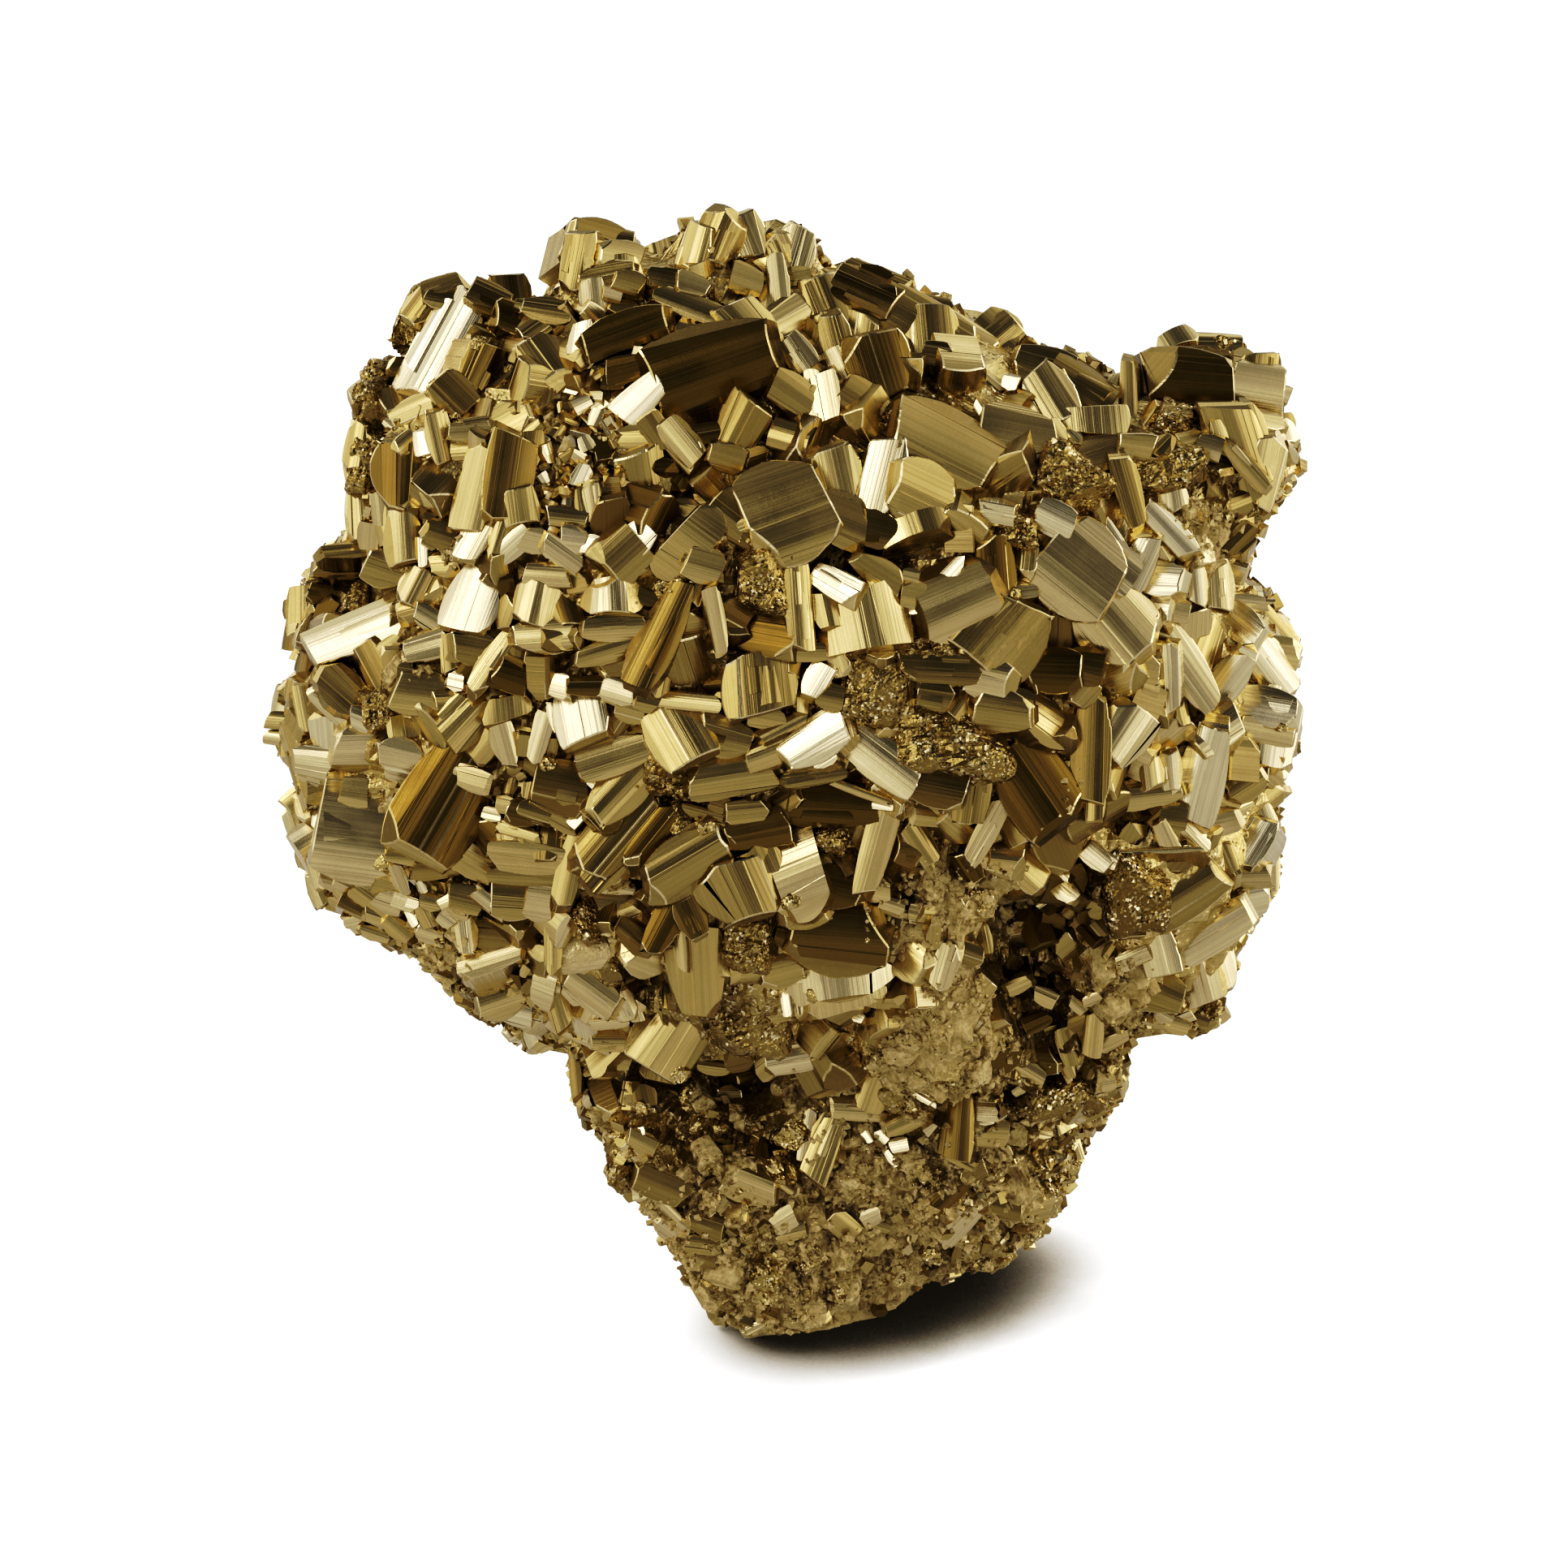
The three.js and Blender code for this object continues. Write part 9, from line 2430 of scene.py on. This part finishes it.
# small ones
p, n = scatter(rng, 2000, 2.9, 0.5, lambda q, nn, px, f: ((f < 0.15) | ((q[:, 2] < LOW_Z) & (rng.uniform(size=len(q)) < 0.14))) & ((q[:, 2] > 60) | (rng.uniform(size=len(q)) < 0.6)))
d = tipped(rng, n, 0.5)
half = rng.uniform(1.0, 1.9, len(p))
look = np.zeros((len(p), 4))
look[:, 0] = rng.uniform(0.3, 1.0, len(p))
look[:, 1] = rng.uniform(0, 0.25, len(p))
look[:, 3] = 0.1
small_many(small, rng, p + n * rng.uniform(-0.4, 0.6, (len(p), 1)), d, half, look, n=2, taper=0.3, squash=(0.4, 1.0))


def ground():
    """One search tree of everything that grains and crumbs can lie on."""
    verts, polys, off = [], [], 0
    for g in (mass, front, behind, fill, far, lumps, shattered, small):
        flat = (np.concatenate(g.loops) + off).tolist()
        start = 0
        for size in np.concatenate(g.sizes).tolist():
            polys.append(flat[start:start + size])
            start += size
        verts += g.verts
        off += g.count
    return BVHTree.FromPolygons(np.concatenate(verts).tolist(), polys)


def settle(pos, nrm, half):
    """Brings every grain that hangs clear of the surface down onto it, and
    leaves out the ones that are buried."""
    keep = np.ones(len(pos), bool)
    pos = pos.copy()
    for i in range(len(pos)):
        spot, normal, _, gap = lying_on.find_nearest(pos[i].tolist())
        if gap < 0.2 * half[i]:
            continue
        spot, normal = np.array(spot), np.array(normal)
        if ((pos[i] - spot) * normal).sum() > 0:
            pos[i] = spot + normal * 0.1 * half[i]
        else:
            keep[i] = False
    return pos[keep], nrm[keep], half[keep], keep


lying_on = ground()


# druse and crushed pyrite
def in_druse(q, nn, px, f):
    w = np.where(f > 0, near_spots(px, DRUSE), 0)
    lowz = smooth((LOW_Z - q[:, 2]) / 30) * np.where(f > 0, 0.12, 0.4)
    back = (f < 0) & (rng.uniform(size=len(q)) < 0.25)
    return (rng.uniform(size=len(q)) < np.maximum(w, lowz * 0.9)) | back


p, n = scatter(rng, 6000, 1.35, 0.6, in_druse)
d = tipped(rng, n, 0.7)
half = rng.uniform(0.45, 1.15, len(p)) * np.where(rng.uniform(size=len(p)) < 0.12, 1.7, 1.0) * np.where(p[:, 2] < LOW_Z, 0.75, 1.0)
look = np.zeros((len(p), 4))
look[:, 0] = rng.uniform(0.2, 1.0, len(p))
look[:, 1] = np.where(rng.uniform(size=len(p)) < 0.3, rng.uniform(0.2, 0.8, len(p)), 0.05)
look[:, 3] = 0.3
p, d, half, kept = settle(p + n * rng.uniform(0.0, 1.0, (len(p), 1)), d, half)
small_many(grains, rng, p, d, half, look[kept], n=1, taper=0.35, squash=(0.35, 1.0))
# grit on the broken crystals
for c, U, V, N, a, b, t, amount in grain_sites:
    k = int(np.clip(a * b * 0.22, 3, 24))
    x, y = rng.uniform(-1, 1, k) * a, rng.uniform(-1, 1, k) * b
    pos = c + x[:, None] * U + y[:, None] * V - N * rng.uniform(-0.1, 0.5, k)[:, None]
    nn = tipped(rng, np.repeat(N[None], k, 0), 0.7)
    look = np.zeros((k, 4))
    look[:, 0] = rng.uniform(0, 0.8, k)
    look[:, 3] = 0.4
    pos, nn, half, kept = settle(pos, nn, 0.2 + 0.5 * rng.uniform(size=k) ** 3)
    small_many(grains, rng, pos, nn, half, look[kept], n=1)
# crumbs of pale matrix in the crevices
pick = np.where(within & (near_spots(flat_px, PALE) > 0.25))[0]
pick = rng.choice(pick, 4600, replace=len(pick) < 4600)
pos, nrm = [], []
for k_ in pick:
    x, y = flat_px[k_] + rng.uniform(-2, 2, 2)
    mi, mz = mass_at(x, y)
    hit = flat_top[k_] > -1e8
    if hit and rng.uniform() < 0.75:
        continue
    z = (flat_top[k_] - rng.uniform(0.0, 1.2)) if hit else mz + rng.uniform(0.0, 2.6)
    kk = (DISTANCE - z) / DISTANCE
    pos.append(to_row([(x - 966) / PX_PER_MM * kk - OFF_X, (966 - y) / PX_PER_MM * kk - OFF_Y, z]))
    nrm.append(mass_n[mi])
pos, nrm = np.array(pos), np.array(nrm)
half = 0.25 + 0.75 * rng.uniform(size=len(pos)) ** 2.5
look = np.zeros((len(pos), 4))
look[:, 0] = 0.7
look[:, 1] = rng.uniform(0.45, 1.0, len(pos))
look[:, 3] = 1.0
pos, nrm, half, kept = settle(pos, tipped(rng, nrm, 0.8), half)
small_many(crumbs, rng, pos, nrm, half, look[kept], n=1, taper=0.4, squash=(0.4, 1.0))
print("crumbs", len(pos))

# ------------------------------------------------------- materials
def nodes_of(name):
    mat = bpy.data.materials.new(name)
    mat.use_nodes = True
    nt = mat.node_tree
    nt.nodes.clear()
    return mat, nt


def N_(nt, kind, **values):
    node = nt.nodes.new(kind)
    for key, value in values.items():
        if key in node.inputs:
            node.inputs[key].default_value = value
        else:
            setattr(node, key, value)
    return node


def math_node(nt, op, a, b=None, c=None, clamp=False):
    node = nt.nodes.new("ShaderNodeMath")
    node.operation = op
    node.use_clamp = clamp
    for i, v in enumerate((a, b, c)):
        if v is None:
            continue
        if isinstance(v, (int, float)):
            node.inputs[i].default_value = v
        else:
            nt.links.new(v, node.inputs[i])
    return node.outputs[0]


def mix_colour(nt, fac, a, b, mode="MIX"):
    node = nt.nodes.new("ShaderNodeMix")
    node.data_type = "RGBA"
    node.blend_type = mode
    for i, v in ((0, fac), (6, a), (7, b)):
        if isinstance(v, (int, float)):
            node.inputs[i].default_value = v
        elif isinstance(v, tuple):
            node.inputs[i].default_value = (*v, 1.0)
        else:
            nt.links.new(v, node.inputs[i])
    return node.outputs[2]


def noise_tex(nt, vector, scale, detail=2.0, rough=0.5, distortion=0.0):
    node = nt.nodes.new("ShaderNodeTexNoise")
    nt.links.new(vector, node.inputs["Vector"])
    node.inputs["Scale"].default_value = scale
    node.inputs["Detail"].default_value = detail
    node.inputs["Roughness"].default_value = rough
    node.inputs["Distortion"].default_value = distortion
    return node.outputs["Fac"]


def ramp(nt, value, lo, hi, a=0.0, b=1.0):
    node = nt.nodes.new("ShaderNodeMapRange")
    node.inputs["From Min"].default_value = lo
    node.inputs["From Max"].default_value = hi
    node.inputs["To Min"].default_value = a
    node.inputs["To Max"].default_value = b
    nt.links.new(value, node.inputs["Value"])
    return node.outputs["Result"]


BRIGHT = (0.93, 0.84, 0.595)
WARM = (0.70, 0.565, 0.27)
DEEP = (0.19, 0.125, 0.032)
BROWN = (0.36, 0.25, 0.075)
RUST = (0.44, 0.29, 0.09)
EARTH = (0.78, 0.65, 0.36)
EARTH_DARK = (0.40, 0.30, 0.12)


def pyrite(name, striated=1.0, granular=0.0, earth=0.0, base_rough=0.2):
    mat, nt = nodes_of(name)
    out = N_(nt, "ShaderNodeOutputMaterial")
    bsdf = N_(nt, "ShaderNodeBsdfPrincipled")
    link = nt.links.new
    coords = N_(nt, "ShaderNodeTexCoord")
    obj = coords.outputs["Object"]
    uvn = N_(nt, "ShaderNodeUVMap", uv_map="grow")
    look = N_(nt, "ShaderNodeAttribute", attribute_name="look")
    sep = N_(nt, "ShaderNodeSeparateColor")
    link(look.outputs["Color"], sep.inputs[0])
    shade_and_tarnish, dust, stain = sep.outputs[0], sep.outputs[1], sep.outputs[2]
    rough_part = look.outputs["Alpha"]
    # striations: long along u, fine across v
    def streak(su, sv, detail, off):
        mp = N_(nt, "ShaderNodeMapping")
        mp.inputs["Scale"].default_value = (su, sv, 1.0)
        mp.inputs["Location"].default_value = (off, off * 0.7, off * 0.3)
        link(uvn.outputs["UV"], mp.inputs["Vector"])
        return noise_tex(nt, mp.outputs["Vector"], 1.0, detail, 0.6)
    s0 = streak(0.0006, 0.26, 0.0, 5.0)
    s1 = streak(0.0010, 0.95, 0.5, 3.0)
    s2 = streak(0.0025, 3.2, 0.5, 11.0)
    s3 = streak(0.010, 8.5, 1.0, 23.0)
    pits = noise_tex(nt, obj, 900.0, 2.0, 0.6)
    blot = noise_tex(nt, obj, 70.0, 3.0, 0.55)
    broad = noise_tex(nt, obj, 24.0, 3.0, 0.55)
    cells = N_(nt, "ShaderNodeTexVoronoi", feature="F1")
    link(obj, cells.inputs["Vector"])
    cells.inputs["Scale"].default_value = 1500.0
    cell_tone = N_(nt, "ShaderNodeSeparateColor")
    link(cells.outputs["Color"], cell_tone.inputs[0])
    # a broken face sparkles in patches
    patchy = ramp(nt, noise_tex(nt, obj, 190.0, 2.0, 0.5), 0.42, 0.60, 0.12, 1.0)
    sparkle = math_node(nt, "MULTIPLY", rough_part, patchy)
    # colour: pale gold for a painted highlight, through warm gold, to deep brown for painted shade and tarnish, by
    # each face's tone
    light_side = math_node(nt, "MULTIPLY", shade_and_tarnish, 2.0, clamp=True)
    dark_side = math_node(nt, "MULTIPLY_ADD", shade_and_tarnish, 2.0, -1.0, clamp=True)
    col = mix_colour(nt, light_side, BRIGHT, WARM)
    col = mix_colour(nt, dark_side, col, DEEP)
    step1 = ramp(nt, s1, 0.45, 0.56)
    step2 = ramp(nt, s2, 0.43, 0.58)
    worn = math_node(nt, "MULTIPLY", step1, 0.10)
    worn = math_node(nt, "MULTIPLY_ADD", step2, 0.13, worn)
    worn = math_node(nt, "ADD", worn, ramp(nt, blot, 0.35, 0.75, 0.0, 0.16), clamp=True)
    col = mix_colour(nt, worn, col, DEEP)
    # here and there a cell of a broken face is fresh
    fresh = math_node(nt, "MULTIPLY", sparkle, ramp(nt, cell_tone.outputs[0], 0.80, 0.88, 0.0, 0.9 * granular), clamp=True)
    col = mix_colour(nt, fresh, col, BRIGHT)
    col = mix_colour(nt, math_node(nt, "MULTIPLY", stain, ramp(nt, broad, 0.35, 0.6), clamp=True), col, BROWN)
    # earth: pale crumbly matrix and dust
    fleck = noise_tex(nt, obj, 420.0, 3.0, 0.7)
    patch = math_node(nt, "ADD", ramp(nt, blot, 0.3, 0.75, -0.32, 0.32), ramp(nt, fleck, 0.3, 0.7, -0.25, 0.25))
    patch = math_node(nt, "MULTIPLY", patch, math_node(nt, "MULTIPLY_ADD", dust, 2.2, 0.15, clamp=True))
    dusty = math_node(nt, "ADD", math_node(nt, "ADD", dust, patch), earth - 0.12)
    dusty = ramp(nt, dusty, 0.30, 0.62)
    soil = mix_colour(nt, ramp(nt, fleck, 0.3, 0.7), EARTH_DARK, EARTH)
    soil = mix_colour(nt, math_node(nt, "MULTIPLY", stain, 0.6), soil, RUST)
    col = mix_colour(nt, dusty, col, soil)
    link(col, bsdf.inputs["Base Color"])
    metal = math_node(nt, "SUBTRACT", 1.0, math_node(nt, "MULTIPLY", dusty, 0.9))
    link(metal, bsdf.inputs["Metallic"])
    # roughness
    r = math_node(nt, "ADD", ramp(nt, blot, 0.3, 0.7, base_rough - 0.05, base_rough + 0.08), math_node(nt, "MULTIPLY", shade_and_tarnish, 0.06))
    r = math_node(nt, "ADD", r, ramp(nt, s2, 0.4, 0.7, 0.0, 0.08))
    r = math_node(nt, "ADD", r, math_node(nt, "MULTIPLY", stain, 0.12))
    r = math_node(nt, "ADD", r, math_node(nt, "MULTIPLY", dusty, 0.5), clamp=True)
    link(r, bsdf.inputs["Roughness"])
    # relief
    h = math_node(nt, "MULTIPLY", s0, 0.16 * striated)
    h = math_node(nt, "MULTIPLY_ADD", s1, 0.020 * striated, h)
    h = math_node(nt, "MULTIPLY_ADD", step1, 0.014 * striated, h)
    h = math_node(nt, "MULTIPLY_ADD", step2, 0.010 * striated, h)
    h = math_node(nt, "MULTIPLY_ADD", s3, 0.005 * striated, h)
    plain = math_node(nt, "SUBTRACT", 1.0, rough_part, clamp=True)
    h = math_node(nt, "MULTIPLY", h, plain)
    h = math_node(nt, "MULTIPLY_ADD", pits, 0.006 + 0.03 * granular, h)
    # faces are never quite flat
    swell = noise_tex(nt, obj, 34.0, 0.0, 0.5)
    h = math_node(nt, "MULTIPLY_ADD", swell, 0.55 * striated, h)
    g = math_node(nt, "MULTIPLY", cells.outputs["Distance"], 0.09 * granular)
    g = math_node(nt, "MULTIPLY", g, rough_part)
    h = math_node(nt, "ADD", h, g)
    e1 = math_node(nt, "MULTIPLY", fleck, dusty)
    h = math_node(nt, "MULTIPLY_ADD", e1, 0.38, h)
    # broken pyrite glitters: each small cell has a facet of its own
    geo = N_(nt, "ShaderNodeNewGeometry")
    spread = N_(nt, "ShaderNodeVectorMath", operation="SUBTRACT")
    link(cells.outputs["Color"], spread.inputs[0])
    spread.inputs[1].default_value = (0.5, 0.5, 0.5)
    scaled = N_(nt, "ShaderNodeVectorMath", operation="SCALE")
    link(spread.outputs[0], scaled.inputs[0])
    # most cells tilt a little, a few a lot
    tilt = math_node(nt, "POWER", cell_tone.outputs[2], 3.0)
    tilt = math_node(nt, "MULTIPLY_ADD", tilt, 2.6 * granular, 0.35 * granular)
    link(math_node(nt, "MULTIPLY", sparkle, tilt), scaled.inputs["Scale"])
    facet = N_(nt, "ShaderNodeVectorMath", operation="ADD")
    link(geo.outputs["Normal"], facet.inputs[0])
    link(scaled.outputs[0], facet.inputs[1])
    facet_n = N_(nt, "ShaderNodeVectorMath", operation="NORMALIZE")
    link(facet.outputs[0], facet_n.inputs[0])
    bump = N_(nt, "ShaderNodeBump")
    link(facet_n.outputs[0], bump.inputs["Normal"])
    bump.inputs["Strength"].default_value = 1.0
    bump.inputs["Distance"].default_value = 0.001
    link(h, bump.inputs["Height"])
    link(bump.outputs["Normal"], bsdf.inputs["Normal"])
    link(bsdf.outputs["BSDF"], out.inputs["Surface"])
    return mat


crystal_mat = pyrite("pyrite_striated", 1.0, 0.15, 0.0, 0.16)
fill_mat = pyrite("pyrite_small", 0.8, 0.2, 0.0, 0.19)
grain_mat = pyrite("pyrite_grain", 0.3, 0.4, 0.0, 0.2)
lump_mat = pyrite("pyrite_broken", 0.2, 1.0, 0.0, 0.15)
mass_mat = pyrite("pyrite_mass", 0.0, 1.0, 0.05, 0.26)

front.piece("crystals_front", crystal_mat, sharp=9)
behind.piece("crystals_behind", crystal_mat, sharp=9)
fill.piece("crystals_between", fill_mat, sharp=10)
far.piece("crystals_far_side", fill_mat, sharp=10)
small.piece("crystals_small", fill_mat, sharp=20)
lumps.piece("broken_pyrite", lump_mat, flat=True)
shattered.piece("broken_crystals", lump_mat, flat=True)
grains.piece("pyrite_grains", grain_mat, flat=True)
crumbs.piece("matrix_crumbs", mass_mat, flat=True)
mass.piece("granular_mass", mass_mat, flat=True)

# ------------------------------------------------------- floor, light, world
def area(name, direction, distance, size, power, colour=(1, 1, 1), size_y=None, aim=(0.0, 0.0, 0.17)):
    data = bpy.data.lights.new(name, "AREA")
    data.shape = "RECTANGLE"
    data.size = size
    data.size_y = size_y or size
    data.energy = power
    data.color = colour
    ob = bpy.data.objects.new(name, data)
    bpy.context.scene.collection.objects.link(ob)
    d = Vector(direction).normalized()
    ob.location = Vector(aim) + d * distance
    ob.rotation_euler = d.to_track_quat("Z", "Y").to_euler()
    return ob


def view_dir(x, y, z):
    return Vector(to_row([x, y, z]))


# key softbox, up and to the left; the bright faces mirror it
area("key", view_dir(-0.52, 0.36, 0.77), 1.5, 1.0, 3.9, (1.0, 0.97, 0.92), size_y=0.9)
area("spark", view_dir(-0.56, 0.46, 0.70), 1.8, 0.28, 1.6, (1.0, 0.97, 0.90))
# narrow strip on the right, for rims
area("rim_right", view_dir(0.93, 0.22, 0.25), 1.5, 0.35, 3.0, (1.0, 0.96, 0.9), size_y=1.3)
# soft top light, from behind
area("top_back", (0.1, 0.75, 1.0), 1.7, 1.2, 2.4, (1.0, 0.98, 0.95), size_y=0.6)
# soft light for the far side
area("far_left", (-0.8, 1.0, 0.5), 1.9, 0.9, 4.0)
area("far_right", (0.9, 0.8, 0.4), 1.9, 0.9, 3.6)

world = bpy.data.worlds.new("studio")
bpy.context.scene.world = world
world.use_nodes = True
nt = world.node_tree
nt.nodes.clear()
out = N_(nt, "ShaderNodeOutputWorld")
coords = N_(nt, "ShaderNodeTexCoord")
split = N_(nt, "ShaderNodeSeparateXYZ")
nt.links.new(coords.outputs["Generated"], split.inputs[0])
left = ramp(nt, split.outputs["X"], -0.08, -0.60, 0.0, 1.15)
right = ramp(nt, split.outputs["X"], 0.20, 0.75, 0.0, 1.60)
low = ramp(nt, split.outputs["Z"], -0.05, 0.28, 0.60, 0.0)
high = ramp(nt, split.outputs["Z"], 0.5, 0.95, 1.0, 0.5)
back = ramp(nt, split.outputs["Y"], -0.2, 0.5, 0.0, 0.25)
glow = math_node(nt, "ADD", math_node(nt, "ADD", left, right), math_node(nt, "ADD", low, back))
glow = math_node(nt, "MULTIPLY", math_node(nt, "ADD", glow, 0.15), high)
room = N_(nt, "ShaderNodeBackground", Color=(1.0, 0.96, 0.88, 1.0))
nt.links.new(glow, room.inputs["Strength"])
white = N_(nt, "ShaderNodeBackground", Color=(1, 1, 1, 1), Strength=1.7)
path = N_(nt, "ShaderNodeLightPath")
pick = N_(nt, "ShaderNodeMixShader")
nt.links.new(path.outputs["Is Camera Ray"], pick.inputs[0])
nt.links.new(room.outputs[0], pick.inputs[1])
nt.links.new(white.outputs[0], pick.inputs[2])
nt.links.new(pick.outputs[0], out.inputs["Surface"])

floor_mesh = bpy.data.meshes.new("floor")
floor_mesh.from_pydata([(-12, -12, 0), (12, -12, 0), (12, 12, 0), (-12, 12, 0)], [], [(0, 1, 2, 3)])
floor = bpy.data.objects.new("floor", floor_mesh)
bpy.context.scene.collection.objects.link(floor)
floor.location = (0, 0, -0.0002)
mat, nt = nodes_of("pale_floor")
out = N_(nt, "ShaderNodeOutputMaterial")
path = N_(nt, "ShaderNodeLightPath")
sheet = N_(nt, "ShaderNodeBsdfDiffuse", Color=(0.55, 0.54, 0.52, 1.0))
glow = N_(nt, "ShaderNodeEmission", Color=(1.0, 0.98, 0.94, 1.0), Strength=0.14)
both = N_(nt, "ShaderNodeAddShader")
nt.links.new(sheet.outputs[0], both.inputs[0])
nt.links.new(glow.outputs[0], both.inputs[1])
# seen directly, the floor is an overexposed white glow with a painted shadow by the foot: ambient occlusion toward the
# light dims the glow
shade = N_(nt, "ShaderNodeAmbientOcclusion", Distance=0.034)
shade.samples = 16
toward_light = N_(nt, "ShaderNodeCombineXYZ")
for axis, share in zip("XYZ", (-0.42, 0.48, 0.77)):
    toward_light.inputs[axis].default_value = share
nt.links.new(toward_light.outputs[0], shade.inputs["Normal"])
floor_shadow = math_node(nt, "SUBTRACT", 1.0, shade.outputs["AO"], clamp=True)
floor_shadow = ramp(nt, floor_shadow, 0.31, 0.80, 0.0, 0.93)
# the painted shadow turns warm brown as it deepens
shadow_tint = mix_colour(nt, floor_shadow, (1.0, 1.0, 1.0), (1.0, 0.80, 0.50))
lit = N_(nt, "ShaderNodeEmission")
nt.links.new(shadow_tint, lit.inputs["Color"])
level = math_node(nt, "POWER", math_node(nt, "SUBTRACT", 1.0, floor_shadow), 1.6)
nt.links.new(math_node(nt, "MULTIPLY", level, 1.75), lit.inputs["Strength"])
pick = N_(nt, "ShaderNodeMixShader")
nt.links.new(path.outputs["Is Camera Ray"], pick.inputs[0])
nt.links.new(both.outputs[0], pick.inputs[1])
nt.links.new(lit.outputs[0], pick.inputs[2])
nt.links.new(pick.outputs[0], out.inputs["Surface"])
floor_mesh.materials.append(mat)

settings = bpy.context.scene.view_settings
settings.view_transform = "Standard"
settings.look = "None"
settings.exposure = 0.0
settings.gamma = 1.0
# the response of a studio camera: deep shadows, soft highlights
settings.use_curve_mapping = True
response = settings.curve_mapping
response.white_level = (1.6, 1.6, 1.6)
curve = response.curves[3]
for spot in ((0.062, 0.033), (0.125, 0.113), (0.21, 0.236), (0.31, 0.408), (0.43, 0.562), (0.62, 0.74)):
    curve.points.new(*spot)
response.update()
